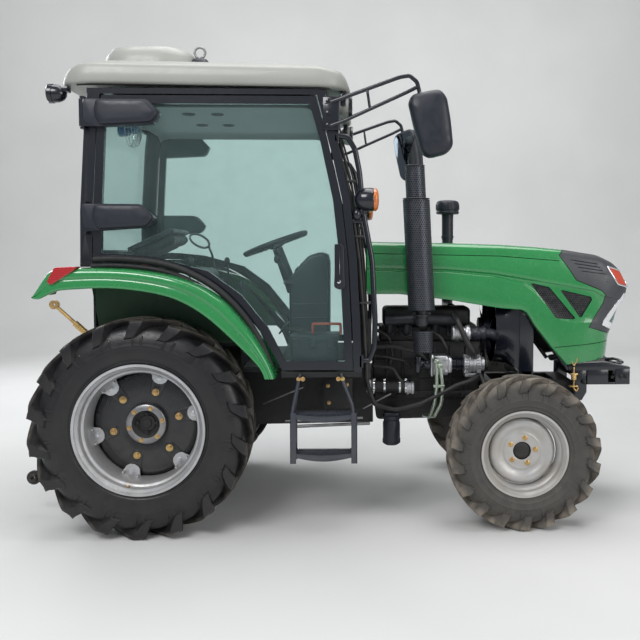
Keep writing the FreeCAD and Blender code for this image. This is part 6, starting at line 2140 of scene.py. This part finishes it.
@dataclass
class WorkLamps:
    """Cream round lamps under the roof's front and black ones at its rear."""

    front: Point = (985, 550, 2190)
    rear: Point = (-372, 610, 2236)

    def front_body(self) -> Shape:
        """Cream bowl."""
        line = [(0, 0), (24, 2), (40, 9), (51, 22), (57, 40), (59, 62), (56, 66)]
        return lathe(smooth_line(line, 1), Axis.X, self.front, 48)

    def front_rim(self) -> Shape:
        """Black bezel and the stirrup up to the roof."""
        x, y, z = self.front
        shape = lathe([(56, 60), (62, 62), (63, 72), (60, 80), (52, 80), (52, 74)], Axis.X, self.front, 48)
        shape.add(boxes(((x + 20, x + 46), (y - 64, y - 59), (z - 8, z + 66), 2),
                        ((x + 20, x + 46), (y + 59, y + 64), (z - 8, z + 66), 2),
                        ((x + 16, x + 50), (y - 64, y + 64), (z + 60, z + 66), 2)))
        return shape

    def front_lens(self) -> Shape:
        """Clear cover."""
        return lathe([(54, 76), (40, 79), (20, 81), (0, 81.5)], Axis.X, self.front, 48)

    def rear_body(self) -> Shape:
        """Black bowl that faces the rear, with its stalk."""
        x, y, z = self.rear
        line = [(0, 0), (20, -3), (34, -14), (43, -34), (46, -62), (49, -64), (49, -84), (42, -90),
                (42, -84)]
        shape = lathe(line, Axis.X, self.rear, 48)
        shape.add(block((x - 30, x + 16), (y - 26, y + 26), (z + 6, z + 34), 5))
        return shape

    def rear_lens(self) -> Shape:
        """Clear cover of the rear lamp."""
        return lathe([(43, -86), (20, -90), (0, -91)], Axis.X, self.rear, 48)

    def build(self) -> None:
        """Make the four lamps."""
        bowl = self.front_body().both().piece("front_work_lamps_look", ROOF, smooth=60)
        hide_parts("work_lamps")
        self.front_rim().both().piece("front_work_lamp_rims_look", BLACK)
        self.front_lens().both().piece("front_work_lamp_covers_look", CLEAR, smooth=60)
        self.rear_body().both().piece("rear_work_lamps_look", BLACK)
        self.rear_lens().both().piece("rear_work_lamp_covers_look", CLEAR, smooth=60)


@dataclass
class Step:
    """Two-tread step of channel posts and bowed, toothed treads, hung from the floor."""

    y: Flat = (592, 690)
    x: Flat = (745, 1088)
    wide: float = 31
    low: float = 360
    top: float = 622

    def posts(self) -> Shape:
        """Channel posts and the rods that they hang from."""
        y0, y1 = self.y
        shape = Shape()
        for start, face_in in ((self.x[0], 1), (self.x[1] - self.wide, -1)):
            end = start + self.wide
            shape.add(block((start, end), (y1 - 5, y1), (self.low, self.top), 1.5))
            flange = (start, start + 5) if face_in > 0 else (end - 5, end)
            shape.add(block(flange, (y0, y1), (self.low, self.top), 1.5))
            shape.add(block((start, end), (y0, y0 + 5), (self.low, self.top), 1.5))
        out = y1 - 10
        shape.add(pipe([(798, out, 824), (789, out, 790), (758, out, 640), (757, out, 560)], 8, 30))
        shape.add(pipe([(1006, out, 824), (1016, out, 780), (1064, out, 660), (1073, out, 560)], 8, 30))
        shape.add(pipe([(798, y0 + 10, 824), (789, y0 + 10, 790), (757, y0 + 10, 600)], 8, 30))
        shape.add(pipe([(1006, y0 + 10, 824), (1016, y0 + 10, 780), (1073, y0 + 10, 600)], 8, 30))
        return shape

    def tread(self, level: float) -> Shape:
        """Bowed front bar and toothed plates behind it."""
        x0, x1 = self.x[0] + 26, self.x[1] - 26
        count = 24
        upper = [(x0 + (x1 - x0) * step / count, level - 7 * math.sin(math.pi * step / count))
                 for step in range(count + 1)]
        lower = [(x0 + (x1 - x0) * step / count, level - 22 - 17 * math.sin(math.pi * step / count))
                 for step in range(count + 1)]
        bar = prism(upper + lower[::-1], Axis.Y, -4, 4, 1.5)
        span = x1 - x0

        def bowed(point: Vector) -> Point:
            """Bow the bar outwards in its middle."""
            share = (point.x - x0) / span
            return point.x, point.y + self.y[1] - 8 + 12 * math.sin(math.pi * share), point.z

        shape = bar.shaped(bowed)
        teeth = []
        pitch = 11
        for step in range(int(span / pitch)):
            teeth += [(x0 + pitch * step, level), (x0 + pitch * (step + 0.5), level + 9)]
        plate_line = [*teeth, (x1, level), (x1, level - 16), (x0, level - 16)]
        for place in (self.y[0] + 6, self.y[0] + 34, self.y[0] + 62):
            shape.add(prism(plate_line, Axis.Y, place, place + 4))
        for share in (0.28, 0.5, 0.72):
            x = x0 + span * share
            shape.add(block((x - 3, x + 3), (self.y[0] + 6, self.y[1] + 2), (level - 16, level - 2), 1))
        return shape

    def fixings(self) -> Shape:
        """Yellow bolts at the hangers' heads."""
        shape = Shape()
        for x in (790, 812, 992, 1014):
            shape.add(bolt((x, self.y[1] - 6, 796), Axis.Y, 16))
        return shape

    def build(self) -> None:
        """Make both steps."""
        for side in Side:
            frame_piece = self.posts().add(self.tread(612), self.tread(412))
            thing = frame_piece.on(side).piece(f"step_{side.word}_look", STEP_STEEL, smooth=32)
            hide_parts(f"step_{side.word}")
            self.fixings().on(side).piece(f"step_bolts_{side.word}_look", GOLD)


@dataclass
class FrontEnd:
    """Bumper beam with its weights rail, loop and latch, and the beams behind it."""

    def beam(self) -> Shape:
        """Channel beam across the front and its side arms."""
        shape = block((2398, 2644), (-232, 232), (764, 780), 4)
        shape.add(boxes(((2398, 2644), (-232, 232), (684, 698), 4),
                        ((2626, 2644), (-232, 232), (690, 774), 4),
                        ((2440, 2456), (-232, 232), (690, 774), 4)))
        side = prism([(2398, 690), (2400, 776), (2520, 776), (2520, 690)], Axis.Y, 222, 234, 2)
        side.add(block((2560, 2644), (222, 236), (686, 778), 3))
        side.add(prism(rounded([(2280, 792), (2300, 800), (2520, 812), (2644, 786), (2644, 774),
                                (2290, 764)], 8, 3), Axis.Y, 196, 236, 3))
        side.add(prism([(2316, 600), (2318, 780), (2400, 780), (2400, 640), (2372, 592)], Axis.Y, 206, 226,
                       4))
        shape.add(side.both())
        shape.add(pipe([(2600, 90, 788), (2652, 84, 790), (2666, 0, 790), (2652, -84, 790),
                        (2600, -90, 788)], 9, 44, 6))
        shape.add(pipe([(2642, -30, 716), (2666, -26, 716), (2668, 0, 716), (2666, 26, 716),
                        (2642, 30, 716)], 8, 14, 6))
        return shape

    def bolts(self) -> Shape:
        """Bolt heads on the beam's sides."""
        shape = Shape()
        for x, z in ((2340, 660), (2340, 740), (2380, 700), (2590, 732), (2620, 732)):
            shape.add(bolt((x, 236, z), Axis.Y, 18))
        return shape.both()

    def latch(self) -> Shape:
        """Plated latch that holds the bonnet's chin."""
        y = 262
        shape = rod((2314, y, 790), (2314, y, 700), 5)
        shape.add(pipe([(2296, y, 842), (2300, y, 820), (2314, y, 796), (2328, y, 820), (2332, y, 842)], 4,
                       12))
        shape.add(block((2300, 2328), (y - 10, y + 10), (716, 756), 5, 3))
        shape.add(block((2292, 2336), (y - 7, y + 7), (744, 754), 3))
        shape.add(pipe([(2314, y, 712), (2314, y, 668), (2330, y, 652), (2340, y, 672)], 5, 14))
        shape.add(block((2290, 2338), (236, y + 6), (676, 684), 2))
        shape.add(rod((2314, y - 12, 730), (2314, y + 12, 730), 6))
        return shape

    def build(self) -> None:
        """Make the front end."""
        beam = self.beam().piece("bumper_look", BLACK)
        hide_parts("bumper")
        self.bolts().piece("bumper_bolts_look", CAST)
        self.latch().mirrored().piece("chin_latch_look", GOLD)


# Cab inside

def settled(thing: bpy.types.Object) -> None:
    """Apply an object's modifiers to its mesh."""
    graph = bpy.context.evaluated_depsgraph_get()
    mesh = bpy.data.meshes.new_from_object(thing.evaluated_get(graph))
    thing.modifiers.clear()
    thing.data = mesh


@dataclass
class Cushion:
    """A stuffed pad: a closed form that a cloth simulation swells, with sewn channels pressed in after.

    A channel is a line across the pad at a place along the pad's own long direction.
    """

    name: str
    start: Shape
    along: Point
    channels: list[float]
    voxel: float = 7.3
    pressure: float = 4
    cap: float = 14
    frames: int = 20
    groove: float = 6
    groove_half: float = 9

    def _swell(self, thing: bpy.types.Object) -> None:
        """Run the cloth and limit how far each vertex moves."""
        places = [vertex.co.copy() for vertex in thing.data.vertices]
        cloth = thing.modifiers.new("cloth", "CLOTH")
        cloth.settings.quality = 5
        cloth.settings.use_pressure = True
        cloth.settings.uniform_pressure_force = self.pressure
        cloth.settings.effector_weights.gravity = 0
        cloth.point_cache.frame_start = 1
        cloth.point_cache.frame_end = self.frames
        scene = bpy.context.scene
        for frame in range(1, self.frames + 1):
            scene.frame_set(frame)
        settled(thing)
        scene.frame_set(1)
        limit = self.cap * MM
        for vertex, place in zip(thing.data.vertices, places):
            move = vertex.co - place
            if move.length > limit:
                vertex.co = place + move.normalized() * limit

    def _sew(self, thing: bpy.types.Object) -> None:
        """Press the channels in along the pad's faces."""
        run = Vector(self.along).normalized()
        for vertex in thing.data.vertices:
            place = vertex.co.dot(run) / MM
            near = min(abs(place - channel) for channel in self.channels)
            depth = self.groove * math.exp(-(near / self.groove_half) ** 2)
            face = vertex.normal
            across = 1 - abs(face.dot(run))
            vertex.co -= face * depth * across * MM

    def build(self) -> bpy.types.Object:
        """Make the pad."""
        thing = self.start.piece(self.name, VINYL, smooth=180)
        with_modifier(thing, "REMESH", mode="VOXEL", voxel_size=self.voxel * MM)
        with_modifier(thing, "SMOOTH", iterations=6)
        settled(thing)
        self._swell(thing)
        thing.data.update()
        self._sew(thing)
        for polygon in thing.data.polygons:
            polygon.use_smooth = True
        return with_modifier(thing, "SUBSURF", levels=1, render_levels=1)


@dataclass
class Seat:
    """Driver's seat on its bellows, with the back folded forward over the cushion."""

    base: tuple[Flat, Flat, Flat] = ((-120, 190), (-160, 160), (962, 1242))
    back_tilt: float = 24.5

    def bellows(self) -> Shape:
        """Pleated rubber between the deck and the seat pan."""
        x, y, z = self.base
        rows = []
        pleats = 14
        for step in range(pleats + 1):
            inset = 4 if step % 2 else 18
            level = z[0] + (z[1] - z[0]) * step / pleats
            ring = ring_of((x[0] + inset, x[1] - inset), (y[0] + inset, y[1] - inset), 36, lambda _: level,
                           6)
            rows.append([(px, py, level) for px, py, _ in ring])
        count = len(rows[0])
        return loft([resampled(row, count) for row in rows], True, True)

    def shells(self) -> Shape:
        """Moulded pan and back shell, with the hinges between them."""
        shape = block((-196, 270), (-235, 235), (1240, 1276), 16, 4)
        shape.add(block((-150, 220), (-190, 190), (1228, 1246), 6))
        back = [(-196, 1462), (47, 1574), (66, 1560), (60, 1546), (-180, 1436)]
        shape.add(prism(rounded(back, 9, 4), Axis.Y, -214, 214, 10, 3))
        hinge = prism(rounded([(-192, 1262), (-132, 1262), (-138, 1420), (-160, 1452), (-192, 1450)], 16,
                              4), Axis.Y, 214, 226, 3)
        hinge.add(rod((-166, 224, 1400), (-166, 234, 1400), 22))
        shape.add(hinge.both())
        shape.add(block((-100, 200), (232, 246), (1236, 1256), 5).both())
        return shape

    def build(self) -> None:
        """Make the seat."""
        cushion = Cushion("seat_cushion_look", block((-182, 258), (-220, 220), (1268, 1334), 26, 4),
                          (1, 0, 0), [REAR_AXLE_X / MM - 60, REAR_AXLE_X / MM + 70, REAR_AXLE_X / MM + 190])
        pad = cushion.build()
        turn = math.radians(self.back_tilt)
        along = (math.cos(turn), 0, math.sin(turn))
        middle = (REAR_AXLE_X / MM - 46) * along[0] + 1476 * along[2]
        form = prism(rounded([(-172, 1438), (54, 1544), (74, 1504), (-146, 1402)], 16, 4), Axis.Y, -198,
                     198, 14, 3)
        back = Cushion("seat_back_look", form, along, [middle - 60, middle + 55], cap=10)
        back.build()
        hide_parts("seat")
        self.bellows().piece("seat_bellows_look", HOSE, smooth=30)
        self.shells().piece("seat_shell_look", PLASTIC)


@dataclass
class Controls:
    """Steering wheel and column, dashboard, levers, pedals and the side panels."""

    hub: Point = (612, 0, 1490)
    tilt: float = -20
    ring: float = 185
    tube: float = 14

    def wheel(self) -> Shape:
        """Rim with finger grips, three spokes and the hub's cap."""
        profile = [(self.ring + self.tube * math.cos(math.tau * step / 16),
                    self.tube * math.sin(math.tau * step / 16)) for step in range(17)]
        shape = lathe(profile, Axis.Z, ORIGIN, 96)
        grip = ball(ORIGIN, 5, (1.6, 1.2, 1), 10).moved(self.ring, 0, 1 - self.tube)
        shape.add(grip.around(40, Axis.Z))
        spoke = pipe([(self.ring - 6, 0, 0), (110, 0, -8), (30, 0, -14)], 9, 50)
        shape.add(spoke.around(3, Axis.Z))
        shape.add(lathe([(0, 8), (22, 7), (36, 2), (42, -8), (42, -24), (30, -30)], Axis.Z, ORIGIN, 40))
        return shape.turned(self.tilt, Axis.Y).moved(*self.hub)

    def column(self) -> Shape:
        """Column cover and its two stalks."""
        run = Vector((math.sin(math.radians(-self.tilt)), 0, -math.cos(math.radians(-self.tilt))))
        top, low = Vector(self.hub) + run * 32, Vector(self.hub) + run * 300
        shape = rod(tuple(top), tuple(low), 30, 32, 36, 3)
        stalk = top + run * 40
        for side in (1, -1):
            shape.add(pipe([tuple(stalk), tuple(stalk + Vector((0, 70 * side, 6))),
                            tuple(stalk + Vector((-10, 150 * side, 26)))], 6, 30))
            shape.add(ball(tuple(stalk + Vector((-11, 156 * side, 28))), 12, (1, 1.3, 1)))
        return shape

    def dash(self) -> Shape:
        """Dashboard with its hood and side vents."""
        line = rounded([(704, 830), (928, 830), (930, 1398), (890, 1432), (820, 1420), (702, 1290)], 22, 5)
        shape = prism(line, Axis.Y, -166, 166, 20, 4)
        hood = rounded([(752, 1352), (812, 1418), (880, 1440), (924, 1424), (924, 1380), (800, 1340)], 16,
                       4)
        shape.add(prism(hood, Axis.Y, -150, 150, 12, 3))
        for z in (900, 980, 1060, 1140):
            shape.add(block((720, 916), (-170, 170), (z, z + 8), 3))
        return shape

    def dials(self) -> tuple[Shape, Shape]:
        """Bright rings and dark faces on the dashboard's slope."""
        rings, faces = Shape(), Shape()
        for y, radius in ((-88, 30), (0, 44), (88, 30)):
            ring = lathe([(radius, 0), (radius + 5, 0), (radius + 5, 6), (radius, 8), (radius - 2, 3)],
                         Axis.Z, ORIGIN, 48)
            face = lathe([(0, 3), (radius, 3)], Axis.Z, ORIGIN, 48)
            face.add(block((-radius * 0.7, 0), (-1.5, 1.5), (3, 5), 0.5))
            rings.add(ring.turned(-47, Axis.Y).moved(758, y, 1355))
            faces.add(face.turned(-47, Axis.Y).moved(758, y, 1355))
        return rings, faces

    def levers(self) -> Shape:
        """Gear, throttle and linkage levers with their knobs."""
        rows = (((330, -60, 962), (300, -70, 1260)), ((420, 70, 962), (400, 90, 1240)),
                ((180, -430, 1180), (200, -420, 1390)), ((120, -430, 1180), (130, -420, 1370)),
                ((250, 430, 1180), (262, 420, 1380)), ((700, -150, 1260), (640, -210, 1400)))
        shape = Shape()
        for foot, head in rows:
            middle = tuple((Vector(foot) + Vector(head)) / 2 + Vector((14, 0, 0)))
            shape.add(pipe([foot, middle, head], 6, 60))
            shape.add(ball(head, 20, (0.9, 0.9, 1.25)))
            shape.add(lathe([(34, 0), (26, 14), (12, 26), (8, 40)], Axis.Z, foot, 24))
        return shape

    def panels(self) -> Shape:
        """Low lever boxes on the wheel arches inside the cab."""
        shape = Shape()
        for x in ((60, 330), (-170, 20)):
            shape.add(block(x, (398, 452), (1136, 1188), 12, 3))
        return shape.both()

    def pedals(self) -> Shape:
        """Three pedals on their arms."""
        shape = Shape()
        for y in (300, -250, -360):
            shape.add(pipe([(840, y, 900), (800, y, 1000), (700, y, 1020)], 9, 60))
            shape.add(block((-34, 34), (-40, 40), (0, 10), 4).turned(-52, Axis.Y).moved(690, y, 1020))
        return shape

    def build(self) -> None:
        """Make the controls."""
        wheel = self.wheel().piece("steering_wheel_look", PLASTIC, smooth=50)
        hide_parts("steering_wheel")
        dash = self.dash().add(self.column()).piece("dash_look", PLASTIC)
        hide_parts("console")
        rings, faces = self.dials()
        rings.piece("dial_rings_look", CHROME)
        faces.piece("dial_faces_look", DISC)
        self.levers().piece("levers_look", PLASTIC)
        self.panels().piece("side_panels_look", PLASTIC)
        self.pedals().piece("pedals_look", CAST)


@dataclass
class CabLining:
    """Headliner with its round vents, fan, oval handhold and the box by the door."""

    top: float = 2212

    def liner(self) -> Shape:
        """Soft headliner that turns down at its sides."""
        def place(u: float, v: float) -> Point:
            """Point of the lining."""
            x = -190 + 1060 * u
            y = 592 * (2 * v - 1)
            edge = max(abs(2 * v - 1) - 0.86, 0) / 0.14
            ends = max(abs(2 * u - 1) - 0.92, 0) / 0.08
            return x, y, self.top - 34 * edge * edge - 26 * ends * ends

        return sheet(40, 40, place).walled(5)

    def vents(self) -> Shape:
        """Round louvred air outlets in the headliner."""
        shape = Shape()
        for x in (156, 314):
            one = lathe([(20, 2), (32, -5), (36, -3), (38, 1)], Axis.Z, (x, -200, self.top - 8), 32)
            for step in range(5):
                y = -200 - 20 + 10 * step
                half = math.sqrt(max(28 ** 2 - (10 * step - 20) ** 2, 4))
                one.add(block((x - half, x + half), (y - 1.5, y + 1.5), (self.top - 13, self.top - 5), 0.5))
            shape.add(one)
        return shape.both()

    def fan(self) -> tuple[Shape, Shape]:
        """Small fan in its wire cage, high at the rear."""
        x, y, z = -120, -330, 2096
        cage = Shape()
        for radius, depth in ((92, 0), (88, 18), (74, 28), (56, 33), (36, 35), (88, -18)):
            ring = [(x + depth, y + radius * math.cos(math.tau * step / 24), z
                     + radius * math.sin(math.tau * step / 24)) for step in range(25)]
            cage.add(pipe(ring, 1.6, 10, 1, 2))
        for step in range(20):
            turn = math.tau * step / 20
            cage.add(pipe([(x - 18, y + 88 * math.cos(turn), z + 88 * math.sin(turn)),
                           (x + 4, y + 93 * math.cos(turn), z + 93 * math.sin(turn)),
                           (x + 24, y + 80 * math.cos(turn), z + 80 * math.sin(turn)),
                           (x + 36, y + 18 * math.cos(turn), z + 18 * math.sin(turn))], 1.4, 12, 1, 3))
        works = lathe([(0, 38), (16, 36), (20, 30), (20, -20), (30, -24), (30, -70), (0, -74)], Axis.X,
                      (x, y, z), 24)

        def blade(u: float, v: float) -> Point:
            """Twisted blade."""
            radius = 16 + 62 * v
            turn = (u - 0.5) * 1.3
            return x + 22 * (u - 0.5) + 6, y + radius * math.sin(turn), z + radius * math.cos(turn)

        one = sheet(6, 6, blade).walled(1.5)
        works.add(one.around(4, Axis.X, (x, y, z)))
        works.add(rod((x - 50, y, z + 20), (x - 50, y, self.top - 4), 9))
        return cage, works

    def handhold(self) -> Shape:
        """Oval bright loop on its stalk beside the far panel."""
        centre = Vector((106, 330, 1508))
        turn = math.radians(-28)
        ring = []
        for step in range(25):
            angle = math.tau * step / 24
            across, rise = 66 * math.cos(angle), 34 * math.sin(angle)
            ring.append((centre.x + across * math.cos(turn) - rise * math.sin(turn), centre.y, centre.z
                         + across * math.sin(turn) + rise * math.cos(turn)))
        shape = pipe(ring, 7, 20, 4, 2)
        return shape.add(pipe([(160, 330, 1480), (182, 340, 1420), (186, 420, 1300), (186, 430, 1180)], 7,
                              40))

    def box(self) -> tuple[Shape, Shape]:
        """Dark box on the floor by the right door, and its orange-red handle."""
        dark = block((745, 985), (-560, -350), (830, 1000), 12, 3)
        dark.add(block((735, 995), (-566, -344), (976, 1006), 6))
        for x in (770, 860, 950):
            dark.add(block((x - 14, x + 14), (-572, -560), (940, 990), 3))
        handle = pipe([(852, -452, 1000), (852, -452, 1056), (1000, -452, 1056), (1000, -452, 1000)], 7, 12)
        handle.add(block((852, 1000), (-462, -442), (1050, 1063), 3))
        return dark, handle

    def mat(self) -> Shape:
        """Ribbed rubber mat on the cab floor."""
        shape = block((640, 1040), (-560, 560), (828, 836), 2)
        for step in range(24):
            y = -540 + 47 * step
            shape.add(block((650, 1030), (y - 3, y + 3), (835, 839), 1))
        return shape

    def build(self) -> None:
        """Make the lining's pieces."""
        self.liner().piece("headliner_look", LINER, smooth=60)
        self.vents().piece("roof_vents_look", PLASTIC)
        cage, works = self.fan()
        cage.piece("fan_cage_look", ALLOY)
        works.piece("cab_fan_look", BLUE_FAN)
        self.handhold().piece("handhold_look", STEEL)
        dark, handle = self.box()
        dark.piece("floor_box_look", PLASTIC)
        handle.piece("floor_box_handle_look", RED_BRACKET)
        self.mat().piece("floor_mat_look", HOSE)


# Castings and frames

@dataclass
class Castings:
    """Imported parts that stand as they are, with rounded edges and their finishes."""

    bevel: float = 2.5

    def build(self) -> None:
        """Dress each part."""
        rows = [*((node, CAST, "chassis") for node in ("transmission", "front_frame", "front_axle",
                                                       "platform")), ("cab_frame", BLACK, "chassis"),
                ("fuel_tank", PLASTIC, "chassis"), ("lift_arms", CAST, "lift_arms"),
                ("top_link", GOLD, "top_link"), ("tie_rod", STEEL, "tie_rod"),
                ("steering_rod", STEEL, "steering_rod"), ("rear_window_frame", BLACK, "rear_window"),
                ("windscreen", TINT, "chassis"), ("rear_window_glass", TINT, "rear_window")]
        for side in Side:
            word = side.word
            linked = (f"knuckle_{word}", f"lower_link_{word}", f"lift_rod_{word}")
            rows += [(node, CAST, node) for node in linked]
            rows += [(f"door_{word}", BLACK, f"door_{word}"), (f"door_glass_{word}", TINT, f"door_{word}")]
        for node, finish, body in rows:
            dressed(node, finish, body, self.bevel if finish is not TINT else 0)


# Studio

@dataclass
class Studio:
    """Pale floor and backdrop, soft lights and the camera of the photograph."""

    floor_half: float = 14
    wall_distance: float = 9
    wall_top: float = 9
    bend: float = 2.5
    camera_place: Point = (0.10463, -4.77741, 1.45142)
    camera_tilt: float = 86.76
    camera_turn: float = -1.62
    lens: float = 45.547
    shift: Flat = (-0.0902, -0.03795)
    pale: Colour = (0.68, 0.68, 0.67)

    def _pale_material(self) -> bpy.types.Material:
        """Matt pale material with a faint unevenness."""
        tree = Tree("pale_floor")
        shade = tree.noise(0.7, 3).fitted(0.3, 0.7, 0, 1)
        darker = tuple(0.94 * part for part in self.pale)
        values = {"Base Color": tree.tint(shade, self.pale, darker), "Roughness": 0.85}
        return tree.close(tree.add("ShaderNodeBsdfPrincipled", {}, values))

    def backdrop(self) -> bpy.types.Object:
        """Make a floor that curves up into a wall behind the object."""
        start, bend, steps = self.wall_distance - self.bend, self.bend, 16
        line = [(-self.floor_half, 0), (start, 0)]
        for step in range(1, steps + 1):
            angle = 0.5 * math.pi * step / steps
            line.append((start + bend * math.sin(angle), bend - bend * math.cos(angle)))
        line.append((self.wall_distance, self.wall_top))
        mesh = bmesh.new()
        verts = [mesh.verts.new((-self.floor_half, y, z)) for y, z in line]
        edges = [mesh.edges.new(pair) for pair in zip(verts, verts[1:])]
        grown = bmesh.ops.extrude_edge_only(mesh, edges=edges)
        moved = [item for item in grown["geom"] if isinstance(item, bmesh.types.BMVert)]
        bmesh.ops.translate(mesh, verts=moved, vec=(2 * self.floor_half, 0, 0))
        for face in mesh.faces:
            face.smooth = True
            if face.normal.z < -0.01 or face.normal.y > 0.01:
                face.normal_flip()
        data = bpy.data.meshes.new("backdrop")
        mesh.to_mesh(data)
        mesh.free()
        thing = bpy.data.objects.new("backdrop", data)
        bpy.context.scene.collection.objects.link(thing)
        data.materials.append(self._pale_material())
        return thing

    def lamp(self, name: str, place: Point, aim: Point, size: Flat, power: float,
             colour: Colour = (1, 1, 1)) -> bpy.types.Object:
        """Add a soft area light aimed at a point."""
        data = bpy.data.lights.new(name, "AREA")
        data.shape = "RECTANGLE"
        data.size, data.size_y = size
        data.energy = power
        data.color = colour
        thing = bpy.data.objects.new(name, data)
        thing.location = place
        thing.rotation_euler = (Vector(place) - Vector(aim)).to_track_quat("Z", "Y").to_euler()
        bpy.context.scene.collection.objects.link(thing)
        return thing

    def world(self) -> None:
        """Give the room an even pale light."""
        world = bpy.data.worlds.new("studio")
        world.use_nodes = True
        background = world.node_tree.nodes["Background"]
        background.inputs["Color"].default_value = (0.86, 0.9, 0.95, 1)
        background.inputs["Strength"].default_value = 0.42
        bpy.context.scene.world = world

    def camera(self) -> None:
        """Stand the camera where the photograph was taken."""
        data = bpy.data.cameras.new("camera")
        data.lens = self.lens
        data.sensor_width = 36
        data.shift_x, data.shift_y = self.shift
        thing = bpy.data.objects.new("camera", data)
        thing.location = self.camera_place
        thing.rotation_euler = (math.radians(self.camera_tilt), 0, math.radians(self.camera_turn))
        bpy.context.scene.collection.objects.link(thing)
        bpy.context.scene.camera = thing

    def build(self) -> None:
        """Set the stage."""
        target = (0, 0, 1.1)
        things = [self.backdrop(), self.lamp("key", (-2.6, -5.2, 5.4), target, (3.6, 2.4), 250),
                  self.lamp("fill", (4.8, -4.4, 2.6), target, (3, 3), 110, (1, 0.98, 0.95)),
                  self.lamp("top", (0.3, 0.2, 6), (0.2, 0, 0), (5.5, 3.6), 230),
                  self.lamp("wall", (0, 4.2, 6.2), (0, 9, 2.6), (12, 1.2), 210),
                  self.lamp("rear", (-4.5, 4, 3.6), target, (3, 2.4), 110, (0.94, 0.97, 1))]
        self.world()
        self.camera()
        bpy.context.scene.view_settings.view_transform = "Standard"


def main() -> None:
    """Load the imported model, dress it and set the stage."""
    logging.basicConfig(level=logging.INFO, format="%(name)s: %(message)s")
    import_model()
    parts = (RearWheel(), FrontWheel(), Bonnet(), Roof(), Fender(), DoorTrim(), Engine(), Radiator(),
             Exhaust(), PreCleaner(), Mirror(), GrabRail(), WorkLamps(), Step(), FrontEnd(), Seat(),
             Controls(), CabLining(), Castings())
    for part in parts:
        LOG.info("building %s", type(part).__name__)
        part.build()
    Studio().build()


if __name__ == "__main__":
    main()
